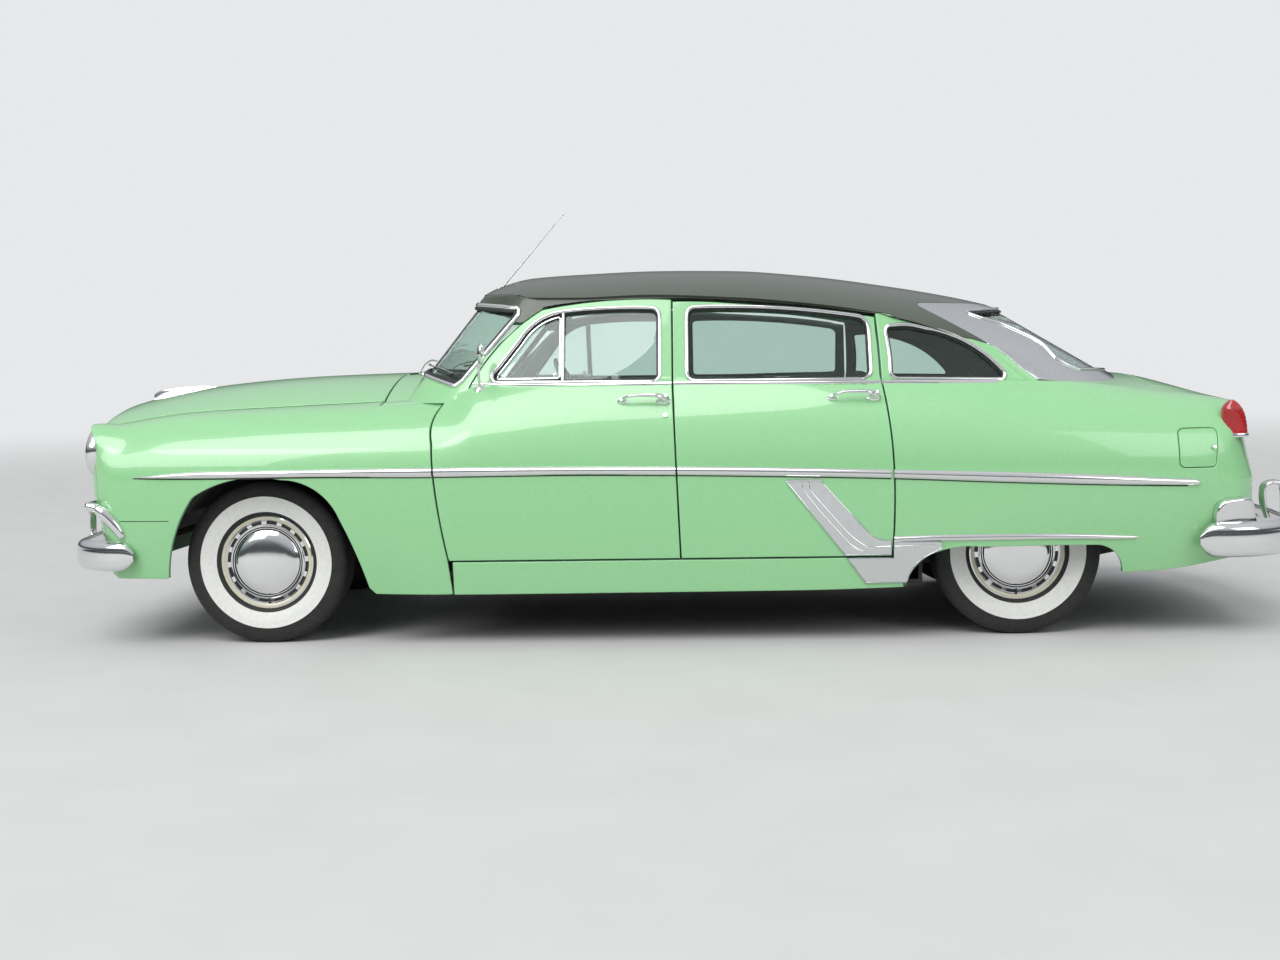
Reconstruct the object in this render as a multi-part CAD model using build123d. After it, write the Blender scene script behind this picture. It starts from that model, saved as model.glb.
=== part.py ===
"""Full-size four-door step-down sedan of the early 1950s, in millimetres.

Frame: +X to the rear, -Y the car's left side, +Z up, origin on the ground under the
middle of the car. The seam between the left doors is the datum X = 0.
"""
from build123d import *
from copy import deepcopy
import os
from math import atan2, cos, sin, sqrt

# Running gear
front_axle_to_datum = 1733.0
rear_axle_to_datum = 1417.0
front_track = 1486.0
rear_track = 1410.0
tyre_radius = 345.0
tyre_width = 185.0
rim_radius = 192.0
rim_width = 140.0
hub_radius = 60.0
spindle_radius = 20.0
spindle_clearance = 1.0
kingpin_inset = 63.0
kingpin_radius = 12.0

# Walls and gaps
door_wall = 90.0
fender_wall = 45.0
roof_wall = 45.0
top_wall = 45.0
door_gap = 6.0
lid_gap = 7.0
swing_relief = 8.0
glass_inset = 14.0
glass_thickness = 6.0
sheet_thickness = 4.0
seam_slant = 0.35

# Lower body
nose_x = -2525.0
tail_x = 2505.0
corner_half_width = 800.0
nose_bow = 55.0
tail_bow = 130.0
lean_start_z = 650.0
nose_lean = 0.2
tail_lean = 0.33
door_bottom_z = 357.0
floor_z = 245.0
floor_thickness = 20.0
hood_half_width = 645.0
hood_lip_z = 880.0
hood_rear_x = -1250.0
lid_half_width = 560.0
lid_front_x = 2012.0
lid_bottom_z = 640.0

# Cabin
belt_z = 1060.0
roof_level_z = 1444.0
front_door_length = 993.0
rear_door_length = 865.0

# Seats and controls
seat_half_width = 660.0
column_y = -390.0
steering_wheel_x = -430.0
steering_wheel_z = 985.0
steering_wheel_radius = 212.0
steering_rim_radius = 12.0
column_slope = 28.0
column_radius = 24.0

# Bumpers and lamps
bumper_reach = 2648.0
bumper_thickness = 42.0
blade_bow = 60.0
blade_half_width = 938.0
front_wing_wrap = 262.0
rear_wing_wrap = 387.0
front_bumper_z = 323.0
front_bumper_height = 128.0
rear_bumper_z = 330.0
rear_bumper_height = 144.0
headlamp_radius = 100.0
headlamp_y = 765.0
headlamp_z = 823.0
headlamp_depth = 84.0
parking_lamp_radius = 36.0
parking_lamp_y = 720.0
parking_lamp_z = 482.0
parking_lamp_x = -2440.0
lamp_brow_stand = 34.0
tail_lamp_inner_y = 768.0
tail_lamp_outer_y = 834.0
bumper_cap_stand = 40.0
fin_width = 16.0
mirror_radius = 50.0
mirror_depth = 22.0
mirror_arm_radius = 7.0

# Number plate
plate_hole_spacing = 177.8
plate_hole_radius = 3.5
plate_bracket_thickness = 4.0
plate_bracket_half_width = 105.0

# Small parts
antenna_radius = 4.0
pipe_radius = 26.0

# Derived places
front_x = -front_axle_to_datum
rear_x = rear_axle_to_datum
axle_z = tyre_radius
front_wheel_y = front_track / 2
rear_wheel_y = rear_track / 2
kingpin_y = front_wheel_y - kingpin_inset
a_seam_x = -door_gap / 2 - front_door_length
c_seam_x = door_gap / 2 + rear_door_length

# Body sections from nose to tail. Columns: place along the car, height on the centre
# line, half-width and height of the hood or deck crease, largest half-width and its
# height, half-width and height of the bottom edge, thickness of the side wall.
BODY_SECTIONS = [
    (front_x - 847, 985, 640, 905, 880, 690, 850, 300, fender_wall),
    (front_x - 675, 1037, 655, 931, 905, 700, 868, 290, fender_wall),
    (front_x - 348, 1090, 655, 975, 940, 700, 890, 285, fender_wall),
    (front_x + 80, 1120, 655, 993, 962, 700, 905, 250, fender_wall),
    (front_x + 493, 1130, 655, 1008, 975, 700, 915, 217, fender_wall),
    (a_seam_x - 4, 1135, 690, 1022, 981, 700, 920, 214, door_wall),
    (a_seam_x + 176, 1120, 800, 1068, 984, 700, 922, 214, door_wall),
    (a_seam_x + 696, 1110, 840, 1078, 984, 700, 925, 215, door_wall),
    (c_seam_x - 368, 1105, 843, 1076, 984, 700, 925, 217, door_wall),
    (rear_x - 267, 1100, 815, 1064, 982, 700, 922, 235, door_wall),
    (rear_x + 183, 1095, 740, 1050, 968, 700, 900, 262, fender_wall),
    (rear_x + 573, 1076, 670, 1008, 932, 695, 870, 275, fender_wall),
    (rear_x + 883, 985, 640, 966, 873, 690, 810, 318, fender_wall),
    (rear_x + 1143, 850, 600, 870, 800, 680, 740, 360, fender_wall),
]

# Cabin outlines in plan at the belt and at the roof's edge. Columns: windshield
# centre; windshield edge x, y; windshield corner x, y; front pillar x, y;
# side middle x, y; rear pillar x, y; backlight corner x, y; backlight edge x, y;
# backlight centre.
CABIN_BELT = [(-1202, 0), (-1110, 640), (-1010, 738), (-879, 790), (250, 838),
              (1450, 735), (1730, 645), (1880, 470), (1985, 0)]
CABIN_ROOF = [(-894, 0), (-822, 540), (-700, 630), (-537, 672), (250, 700),
              (1000, 640), (1170, 570), (1262, 400), (1340, 0)]

# Roof sections. Columns: place along the car, height on the centre line, height at
# the drip edge.
ROOF_SECTIONS = [
    (-1260, 1210, 1190),
    (-930, 1410, 1385),
    (-800, 1514, 1425),
    (-650, 1555, 1432),
    (-400, 1569, 1436),
    (-100, 1577, 1447),
    (250, 1571, 1433),
    (600, 1541, 1396),
    (950, 1490, 1326),
    (1250, 1435, 1228),
    (1500, 1372, 1150),
    (2050, 1180, 980),
]
DRIP_HALF_WIDTH = 700.0


def mirrored(shape):
    """The shape seen in the middle plane of the car."""
    return shape.mirror(Plane.XZ)


def arc_middle(wide, end):
    """Middle of the arc that starts upright at the widest point and meets an end."""
    (yw, zw), (ye, ze) = wide, end
    radius = ((yw - ye) ** 2 + (ze - zw) ** 2) / (2 * (yw - ye))
    half_turn = atan2(ze - zw, ye - (yw - radius)) / 2
    return yw - radius + radius * cos(half_turn), zw + radius * sin(half_turn)


def body_section(x, z_centre, y_crease, z_crease, y_wide, z_wide, y_foot, z_foot):
    """Closed cross-section of the lower body at one place along the car."""
    upper = arc_middle((y_wide, z_wide), (y_crease, z_crease))
    lower = arc_middle((y_wide, z_wide), (y_foot, z_foot))
    side = [(y_crease, z_crease), upper, (y_wide, z_wide), lower, (y_foot, z_foot)]
    right = [(x, y, z) for y, z in side]
    left = [(x, -y, z) for y, z in side]
    return Wire([
        ThreePointArc(left[0], (x, 0, z_centre), right[0]),
        ThreePointArc(*right[0:3]),
        ThreePointArc(*right[2:5]),
        Line(right[4], left[4]),
        ThreePointArc(left[4], left[3], left[2]),
        ThreePointArc(left[2], left[1], left[0]),
    ])


def lower_body(side=0.0, top=0.0, foot=0.0, walls=False):
    """Loft of the lower body, moved in by the wall thicknesses."""
    wires = []
    for x, zc, yv, zv, yw, zw, yf, zf, wall in BODY_SECTIONS:
        inset = wall if walls else side
        wires.append(body_section(x, zc - top, yv - top, zv - top, yw - inset, zw,
                                  yf - inset, zf - foot))
    return Solid.make_loft(wires, True)


def ends_outline(inset, z):
    """Plan outline with the bowed nose and tail at one height.

    The nose leans back below lean_start_z, and the tail's corners lean forward above it.
    """
    front = nose_x + inset + nose_lean * max(0.0, lean_start_z - z)
    rear = tail_x - inset
    lean = tail_lean * max(0.0, z - lean_start_z)
    half = corner_half_width
    nose = [(front + 5 * nose_bow, half + 145), (front + 2 * nose_bow, half + 80),
            (front + nose_bow, half)]
    tail = [(rear - tail_bow - lean, half - 20), (rear - 1.55 * tail_bow - lean, half + 60),
            (rear - 3 * tail_bow - lean, half + 130)]
    nose_right = [(x, y, z) for x, y in nose]
    nose_left = [(x, -y, z) for x, y in nose]
    tail_right = [(x, y, z) for x, y in tail]
    tail_left = [(x, -y, z) for x, y in tail]
    wide = 1200
    return Wire([
        ThreePointArc(nose_left[2], (front, 0, z), nose_right[2]),
        ThreePointArc(nose_right[2], nose_right[1], nose_right[0]),
        Line(nose_right[0], (nose[0][0], wide, z)),
        Line((nose[0][0], wide, z), (tail[2][0], wide, z)),
        Line((tail[2][0], wide, z), tail_right[2]),
        ThreePointArc(tail_right[2], tail_right[1], tail_right[0]),
        ThreePointArc(tail_right[0], (rear, 0, z), tail_left[0]),
        ThreePointArc(tail_left[0], tail_left[1], tail_left[2]),
        Line(tail_left[2], (tail[2][0], -wide, z)),
        Line((tail[2][0], -wide, z), (nose[0][0], -wide, z)),
        Line((nose[0][0], -wide, z), nose_left[0]),
        ThreePointArc(nose_left[0], nose_left[1], nose_left[2]),
    ])


def plan_tool(inset):
    """Block whose bowed and leaning ends trim the nose and the tail."""
    levels = [ends_outline(inset, z) for z in (100, lean_start_z, 1250)]
    return Solid.make_loft(levels, True)


def plan_outline(points, z):
    """Closed plan outline of the cabin at one height."""
    right = [(x, y, z) for x, y in points]
    left = [(x, -y, z) for x, y in points]
    return Wire([
        ThreePointArc(left[1], right[0], right[1]),
        ThreePointArc(*right[1:4]),
        ThreePointArc(*right[3:6]),
        ThreePointArc(*right[5:8]),
        ThreePointArc(right[7], right[8], left[7]),
        ThreePointArc(left[7], left[6], left[5]),
        ThreePointArc(left[5], left[4], left[3]),
        ThreePointArc(left[3], left[2], left[1]),
    ])


# How far each cabin outline point moves for a unit of inset: along X, along Y.
INSET_WAYS = [(1, 0), (1, -0.3), (0.8, -0.8), (0.4, -1), (0, -1),
              (-0.4, -1), (-0.7, -0.8), (-1, -0.4), (-1, 0)]


def cabin_outline(z, inset):
    """Cabin outline at a height, straight from belt to roof level, moved in."""
    share = (z - belt_z) / (roof_level_z - belt_z)
    points = []
    for (xb, yb), (xr, yr), (wx, wy) in zip(CABIN_BELT, CABIN_ROOF, INSET_WAYS):
        points.append((xb + (xr - xb) * share + wx * inset,
                       yb + (yr - yb) * share + wy * inset))
    return plan_outline(points, z)


def roof_tool(drop):
    """Everything under the roof's outer skin, lowered by a thickness."""
    reach = DRIP_HALF_WIDTH + 120
    wires = []
    for x, z_centre, z_drip in ROOF_SECTIONS:
        fall = z_centre - z_drip
        radius = (DRIP_HALF_WIDTH ** 2 + fall ** 2) / (2 * fall)
        z_edge = z_centre - radius + sqrt(radius ** 2 - reach ** 2) - drop
        low = 700
        wires.append(Wire([
            ThreePointArc((x, -reach, z_edge), (x, 0, z_centre - drop), (x, reach, z_edge)),
            Line((x, reach, z_edge), (x, reach, low)),
            Line((x, reach, low), (x, -reach, low)),
            Line((x, -reach, low), (x, -reach, z_edge)),
        ]))
    return Solid.make_loft(wires, True)


def cabin(inset, drop, z_low=belt_z - 60):
    """Solid of the cabin's outer form, moved in by an inset and under the roof."""
    sides = Solid.make_loft([cabin_outline(z_low, inset), cabin_outline(1640, inset)], True)
    return sides & roof_tool(drop)


def side_prism(face, y_from, y_to):
    """Extrude a side-view face (drawn in X, Z) between two distances from the middle."""
    solid = extrude(face, y_to - y_from, dir=(0, 1, 0))
    return Pos(0, y_from, 0) * solid


def side_face(edges):
    """Face in the XZ plane from edges drawn with (x, z) points.

    Each edge is a list of two points (line) or three points (arc).
    """
    drawn = []
    for edge in edges:
        points = [(x, 0, z) for x, z in edge]
        if len(points) == 2:
            drawn.append(Line(*points))
        else:
            drawn.append(ThreePointArc(*points))
    return Face(Wire(drawn))


def box(x0, x1, y0, y1, z0, z1):
    """Box between two corners."""
    return Pos((x0 + x1) / 2, (y0 + y1) / 2, (z0 + z1) / 2) * Box(x1 - x0, y1 - y0, z1 - z0)


def both_sides(shape):
    """A shape on the right with its mirror image on the left."""
    return Compound([shape, mirrored(shape)])


def save(shape, node):
    """Write one sub-part."""
    os.makedirs("parts", exist_ok=True)
    solids = shape.solids() if hasattr(shape, "solids") else [shape]
    if len(solids) == 1:
        result = solids[0]
    else:
        result = Compound(list(solids))
    export_step(result, f"parts/{node}.step")


# Shells of the body
outer_lower = lower_body() & plan_tool(0)
outer_cabin = cabin(0, 0)
inner_lower = lower_body(top=top_wall, foot=80, walls=True) & plan_tool(fender_wall)
inner_cabin = cabin(roof_wall, roof_wall)
outer_body = outer_lower + outer_cabin
shell = outer_body - inner_lower - inner_cabin


def front_door_face(grow):
    """Side-view outline of the front door, grown by a gap."""
    front = a_seam_x
    rear = -door_gap / 2
    face = side_face([
        [(front + 60, door_bottom_z), (rear + 20, door_bottom_z)],
        [(rear + 20, door_bottom_z), (rear - 6, belt_z + 20)],
        [(rear - 6, belt_z + 20), (rear - 6, 1420)],
        [(rear - 6, 1420), (rear - 320, 1418), (rear - 550, 1388)],
        [(rear - 550, 1388), (front + 300, 1280), (front + 140, belt_z + 6)],
        [(front + 140, belt_z + 6), (front + 18, 985), (front, 844)],
        [(front, 844), (front + 13, 660), (front + 60, door_bottom_z)],
    ])
    return offset(face, grow) if grow else face


def rear_door_face(grow, drop=0.0):
    """Side-view outline of the rear door, grown by a gap, its sloping top lowered."""
    front = door_gap / 2
    rear = c_seam_x
    face = side_face([
        [(front + 20, door_bottom_z), (rear + 10, door_bottom_z)],
        [(rear + 10, door_bottom_z), (rear + 6, 880), (rear - 16, belt_z)],
        [(rear - 16, belt_z), (rear - 30, 1340 - drop)],
        [(rear - 30, 1340 - drop), (front + 520, 1384 - drop), (front + 240, 1408 - drop)],
        [(front + 240, 1408 - drop), (front + 120, 1417 - drop), (front - 6, 1420 - drop)],
        [(front - 6, 1420 - drop), (front - 6, belt_z + 20)],
        [(front - 6, belt_z + 20), (front + 20, door_bottom_z)],
    ])
    return offset(face, grow) if grow else face


def front_window_face():
    """Front door window: upright rear edge, front edge along the pillar."""
    front = a_seam_x
    rear = -door_gap / 2
    return side_face([
        [(front + 250, 1090), (rear - 90, 1085)],
        [(rear - 90, 1085), (rear - 68, 1092), (rear - 60, 1115)],
        [(rear - 60, 1115), (rear - 60, 1350)],
        [(rear - 60, 1350), (rear - 68, 1372), (rear - 90, 1382)],
        [(rear - 90, 1382), (rear - 300, 1384), (rear - 480, 1372)],
        [(rear - 480, 1372), (rear - 560, 1342), (front + 350, 1258)],
        [(front + 350, 1258), (front + 250, 1130)],
        [(front + 250, 1130), (front + 238, 1104), (front + 250, 1090)],
    ])


def rear_window_face():
    """Rear door window."""
    front = door_gap / 2
    rear = c_seam_x
    return side_face([
        [(front + 85, 1085), (rear - 95, 1080)],
        [(rear - 95, 1080), (rear - 68, 1090), (rear - 58, 1120)],
        [(rear - 58, 1120), (rear - 60, 1280)],
        [(rear - 60, 1280), (rear - 74, 1318), (rear - 110, 1334)],
        [(rear - 110, 1334), (front + 480, 1368), (front + 90, 1382)],
        [(front + 90, 1382), (front + 66, 1374), (front + 56, 1350)],
        [(front + 56, 1350), (front + 56, 1115)],
        [(front + 56, 1115), (front + 64, 1093), (front + 85, 1085)],
    ])


def quarter_window_face():
    """Fixed window behind the rear door."""
    front = c_seam_x + 15
    return side_face([
        [(front + 40, 1078), (front + 460, 1068)],
        [(front + 460, 1068), (front + 484, 1076), (front + 478, 1100)],
        [(front + 478, 1100), (front + 350, 1210), (front + 160, 1278)],
        [(front + 160, 1278), (front + 75, 1293), (front + 30, 1290)],
        [(front + 30, 1290), (front + 8, 1284), (front + 4, 1266)],
        [(front + 4, 1266), (front + 16, 1110)],
        [(front + 16, 1110), (front + 22, 1088), (front + 40, 1078)],
    ])


side_windows = {
    "front_door": front_window_face(),
    "rear_door": rear_window_face(),
    "quarter": quarter_window_face(),
}


def end_opening(x0, x1, z0, z1, half_low, half_high, bow):
    """Rounded opening for the windshield or the backlight, cut along the car."""
    lift = 0.6 * bow
    outline = Wire([
        ThreePointArc((0, -half_low, z0), (0, 0, z0 + bow), (0, half_low, z0)),
        ThreePointArc((0, half_low, z0), (0, half_low + 12, z0 + 16), (0, half_low + 8, z0 + 50)),
        Line((0, half_low + 8, z0 + 50), (0, half_high + 14, z1 - 90)),
        ThreePointArc((0, half_high + 14, z1 - 90), (0, half_high - 4, z1 - 50),
                      (0, half_high - 50, z1 - 30)),
        ThreePointArc((0, half_high - 50, z1 - 30), (0, 0, z1 - 30 + lift + 20),
                      (0, 50 - half_high, z1 - 30)),
        ThreePointArc((0, 50 - half_high, z1 - 30), (0, 4 - half_high, z1 - 50),
                      (0, -half_high - 14, z1 - 90)),
        Line((0, -half_high - 14, z1 - 90), (0, -half_low - 8, z0 + 50)),
        ThreePointArc((0, -half_low - 8, z0 + 50), (0, -half_low - 12, z0 + 16),
                      (0, -half_low, z0)),
    ])
    return Pos(x0, 0, 0) * extrude(Face(outline), x1 - x0, dir=(1, 0, 0))


windshield_front_tool = end_opening(-1400, -560, 1108, 1418, 690, 650, 34)
windshield_side_face = side_face([
    [(-1000, 1112), (-905, 1084)],
    [(-905, 1084), (-892, 1086), (-888, 1106)],
    [(-888, 1106), (-689, 1340)],
    [(-689, 1340), (-681, 1368), (-704, 1388)],
    [(-704, 1388), (-790, 1402)],
    [(-790, 1402), (-830, 1350)],
    [(-830, 1350), (-1000, 1112)],
])
windshield_tool = windshield_front_tool
for corner_tool in both_sides(side_prism(windshield_side_face, 560, 900)).solids():
    windshield_tool += corner_tool
backlight_tool = end_opening(1150, 2100, 1100, 1384, 610, 470, -6)

# Fixed panels
front_door_cut = side_prism(front_door_face(door_gap), 300, 1200)
rear_door_cut = side_prism(rear_door_face(door_gap), 300, 1200)
door_cuts = both_sides(front_door_cut).solids() + both_sides(rear_door_cut).solids()

fixed_shell = shell
for cut in door_cuts:
    fixed_shell = fixed_shell - cut

sill_front_x = a_seam_x + 70
sill_rear_x = c_seam_x + 60
hood_room = box(nose_x - 100, hood_rear_x, -hood_half_width, hood_half_width, hood_lip_z, 1400)
lid_room = box(lid_front_x, tail_x + 100, -lid_half_width, lid_half_width, lid_bottom_z, 1400)


def arch_face(points):
    """Wheel arch in side view from arcs through a list of points, closed below."""
    edges = []
    for start, middle, end in zip(points[0:-2:2], points[1:-1:2], points[2::2]):
        edges.append([start, middle, end])
    edges.append([points[-1], (points[-1][0], 0)])
    edges.append([(points[-1][0], 0), (points[0][0], 0)])
    edges.append([(points[0][0], 0), points[0]])
    return side_face(edges)


# Arch outlines. Columns: place behind the axle, height.
FRONT_ARCH = [(-398, 290), (-361, 460), (-270, 632), (-90, 704), (110, 702), (283, 632),
              (345, 540), (405, 400), (467, 200)]
REAR_ARCH = [(-486, 200), (-450, 300), (-384, 357), (-300, 384), (-180, 388), (60, 389),
             (299, 387), (360, 362), (404, 270)]
front_arch = side_prism(arch_face([(front_x + dx, z) for dx, z in FRONT_ARCH]), 300, 1200)
rear_arch = side_prism(arch_face([(rear_x + dx, z) for dx, z in REAR_ARCH]), 300, 1200)

# Front fenders, apron and cowl
grille_opening = Pos(nose_x, 0, 700) * Box(500, 1180, 300)
headlamp_seat = Pos(nose_x, headlamp_y, headlamp_z) * Rot(0, 90, 0) * Cylinder(headlamp_radius, 400)
parking_seat = Pos(nose_x, parking_lamp_y, parking_lamp_z) * Rot(0, 90, 0) * Cylinder(
    parking_lamp_radius, 400)
fender_region = box(nose_x - 100, -700, hood_half_width, 1200, 200, belt_z + 2)
fender_region -= box(hood_rear_x, -700, 0, 730, 900, 1200)
front_fender = deepcopy(fixed_shell) & fender_region
front_fender = front_fender - front_arch - headlamp_seat - parking_seat
front_fender = front_fender - box(sill_front_x, 0, 0, 1200, 0, door_bottom_z)
front_fender = front_fender - outer_cabin
front_fender = front_fender.solids().sort_by(SortBy.VOLUME)[-1]
save(both_sides(front_fender), "front_fenders")

apron_region = box(nose_x - 100, nose_x + 260, -hood_half_width, hood_half_width,
                   280, hood_lip_z - lid_gap)
front_apron = (deepcopy(fixed_shell) & apron_region) - grille_opening
save(front_apron, "front_apron")

firewall_x = -1130.0
tunnel_half_width = 110.0
tunnel_height = 135.0
tunnel_wall = 15.0
trunk_floor_z = 470.0
kick_up_x = 1000.0
tunnel_room = box(firewall_x - 20, kick_up_x + 30, tunnel_wall - tunnel_half_width,
                  tunnel_half_width - tunnel_wall, 100, floor_z + tunnel_height - tunnel_wall)
cowl_region = box(hood_rear_x + lid_gap, -700, -730, 730, 900, 1300)
cowl = (deepcopy(fixed_shell) & cowl_region) - outer_cabin
cowl = cowl.solids().sort_by(SortBy.VOLUME)[-1]
firewall = box(firewall_x, firewall_x + 20, -1000, 1000, floor_z, 1110)
firewall = firewall & lower_body(side=fender_wall + 75, top=top_wall / 2)
cowl = cowl + (firewall - tunnel_room)
save(cowl, "cowl")

# Roof with the windshield posts, rear body with the rear pillars
quarter_face = side_face([
    [(c_seam_x - 60, 950), (c_seam_x - 60, 1352)],
    [(c_seam_x - 60, 1352), (1040, 1306), (1290, 1214)],
    [(1290, 1214), (1352, 1352)],
    [(1352, 1352), (2150, 1352)],
    [(2150, 1352), (2150, 950)],
    [(2150, 950), (c_seam_x - 60, 950)],
])
quarter_region = side_prism(quarter_face, -1200, 1200)
upper_region = box(-1300, 2150, -1200, 1200, belt_z + 2, 1700)
roof = (deepcopy(fixed_shell) & upper_region) - quarter_region
roof = roof - windshield_tool - backlight_tool - outer_lower
roof = roof.solids().sort_by(SortBy.VOLUME)[-1]
save(roof, "roof")

shelf_z = 1030.0
bulkhead_x = 1296.0
rear_region = box(c_seam_x - 60, tail_x + 100, -1200, 1200, 200, belt_z + 2) + quarter_region
rear_region = rear_region - box(c_seam_x - 100, sill_rear_x, -1200, 1200, 0, door_bottom_z)
rear_body = (deepcopy(fixed_shell) & rear_region) - lid_room - backlight_tool
for arch in both_sides(rear_arch).solids():
    rear_body = rear_body - arch
for cut in both_sides(side_prism(side_windows["quarter"], 400, 1000)).solids():
    rear_body = rear_body - cut
shelf = extrude(Face(cabin_outline(shelf_z, roof_wall - 10)), 14, dir=(0, 0, 1))
shelf = shelf & box(bulkhead_x, 2100, -1000, 1000, 1000, 1100)
bulkhead = box(bulkhead_x, bulkhead_x + 14, -1000, 1000, trunk_floor_z, shelf_z + 14)
bulkhead = bulkhead & lower_body(side=30, top=30)
house_radius = 392.0
house_inner_y = 558.0
for side in (1, -1):
    bulkhead = bulkhead - Pos(rear_x, side * (house_inner_y - 6 + 400), axle_z) * Rot(
        90, 0, 0) * Cylinder(house_radius + 12, 800)
rear_body = rear_body + shelf + bulkhead

# Fuel door in the left rear fender
fuel_door_x = rear_x + 622
fuel_door_length = 165.0
fuel_door_z = 698.0
fuel_door_height = 155.0
fuel_door_thickness = 8.0
fuel_pocket_depth = 60.0
left_outside = -1200.0
fuel_pocket = box(fuel_door_x, fuel_door_x + fuel_door_length, left_outside, -700,
                  fuel_door_z, fuel_door_z + fuel_door_height)
fuel_floor = Pos(0, fuel_pocket_depth / 2, 0) * outer_lower
fuel_door = (outer_lower & fuel_pocket) - Pos(0, fuel_door_thickness, 0) * outer_lower
pocket_cut = box(fuel_door_x - lid_gap, fuel_door_x + fuel_door_length + lid_gap, left_outside, -700,
                 fuel_door_z - lid_gap, fuel_door_z + fuel_door_height + lid_gap)
rear_body = rear_body - (pocket_cut - fuel_floor)
rear_body = rear_body.solids().sort_by(SortBy.VOLUME)[-1]
save(rear_body, "rear_body")
save(fuel_door, "fuel_door")

# Hood and trunk lid
hood_block = box(nose_x - 100, hood_rear_x, lid_gap - hood_half_width, hood_half_width - lid_gap,
                 hood_lip_z, 1400)
lid_block = box(lid_front_x + lid_gap, tail_x + 100, lid_gap - lid_half_width,
                lid_half_width - lid_gap, lid_bottom_z + lid_gap, 1400)
fin_face = make_face(Polyline(
    *[(nose_x + dx, 0, z) for dx, z in
      [(46, 1000), (42, 1053), (60, 1062), (190, 1084), (339, 1083), (339, 1050)]],
    close=True))
hood = (deepcopy(shell) & hood_block) + side_prism(fin_face, -fin_width / 2, fin_width / 2)
save(hood, "hood")
save(deepcopy(shell) & lid_block, "trunk_lid")


def body_half_width(x, z):
    """Half-width of the lower body's skin, between its sections."""
    for start, end in zip(BODY_SECTIONS, BODY_SECTIONS[1:]):
        if start[0] <= x <= end[0]:
            break
    share = (x - start[0]) / (end[0] - start[0])
    row = [a + (b - a) * share for a, b in zip(start, end)]
    y_end, z_end = (row[2], row[3]) if z > row[5] else (row[6], row[7])
    radius = ((row[4] - y_end) ** 2 + (z_end - row[5]) ** 2) / (2 * (row[4] - y_end))
    return row[4] - radius + sqrt(radius ** 2 - (z - row[5]) ** 2)


def cabin_half_width(z):
    """Half-width of the cabin's side beside the seats at one height."""
    share = (z - belt_z) / (roof_level_z - belt_z)
    return CABIN_BELT[4][1] + (CABIN_ROOF[4][1] - CABIN_BELT[4][1]) * share


def slant_cutter(x_low, x_high):
    """Solid that slants the rear edge of a door whose seam runs between two places."""
    depth = door_wall + 20
    reach = seam_slant * depth
    levels = [(z, body_half_width(x_low, z) - 3) for z in (300, 450, 600, 700, 800, 900, 1000)]
    levels += [(z, cabin_half_width(z) - 6) for z in (1085, 1460)]
    wires = []
    for inward, setback in ((0, 0), (depth, reach)):
        points = []
        for z, y in levels:
            share = (z - levels[0][0]) / (levels[-1][0] - levels[0][0])
            x = x_low + (x_high - x_low) * share
            points.append((x - setback, y - inward, z))
        wires.append(points)
    solids = []
    for (a, b), (c, d) in zip(zip(wires[0], wires[0][1:]), zip(wires[1], wires[1][1:])):
        low = [a, c, (a[0] + 40, c[1], c[2]), (a[0] + 40, a[1], a[2])]
        high = [b, d, (b[0] + 40, d[1], d[2]), (b[0] + 40, b[1], b[2])]
        solids.append(Solid.make_loft([Wire(Polyline(*low, close=True).edges()),
                                       Wire(Polyline(*high, close=True).edges())], True))
    cutter = solids[0]
    for solid in solids[1:]:
        cutter = cutter + solid
    return cutter


# Doors with their windows, hinged at their front edges
right_side = box(-2000, 2000, 300, 1200, 100, 1700)
door_stock = deepcopy(shell) & right_side
door_shapes = {
    "front_door": (front_door_face(0), slant_cutter(17, -9)),
    "rear_door": (rear_door_face(0, swing_relief), slant_cutter(c_seam_x + 10, c_seam_x - 30)),
}
glass_sheet = cabin(glass_inset, 0) - cabin(glass_inset + glass_thickness, 0)

# Round mirror on an arm at the left front door's corner
mirror_foot = Vector(-812, -798, belt_z + 4)
mirror_centre = Vector(-798, -868, 1205)
mirror_way = mirror_centre - mirror_foot
mirror_arm = Plane(origin=mirror_foot, z_dir=mirror_way) * Cylinder(
    mirror_arm_radius, mirror_way.length, align=(Align.CENTER, Align.CENTER, Align.MIN))
mirror_head = Pos(*mirror_centre) * Rot(0, 90, 0) * Cylinder(mirror_radius, mirror_depth)
for name, (face, slant) in door_shapes.items():
    door = (deepcopy(door_stock) & side_prism(face, 300, 1200)) - slant
    door = door - side_prism(side_windows[name], 400, 1000)
    door = door.solids().sort_by(SortBy.VOLUME)[-1]
    glass = glass_sheet & side_prism(side_windows[name], 400, 1000)
    save(door, name + "_right")
    left_door = mirrored(door)
    if name == "front_door":
        left_door += mirror_head + mirror_arm
    save(left_door, name + "_left")
    save(glass, name + "_glass_right")
    save(mirrored(glass), name + "_glass_left")

# Fixed glass
save(glass_sheet & windshield_tool, "windshield")
backlight = glass_sheet & backlight_tool
quarter_glass = glass_sheet & side_prism(side_windows["quarter"], 400, 1000)
save(Compound(backlight.solids() + both_sides(quarter_glass).solids()), "rear_glass")

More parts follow.
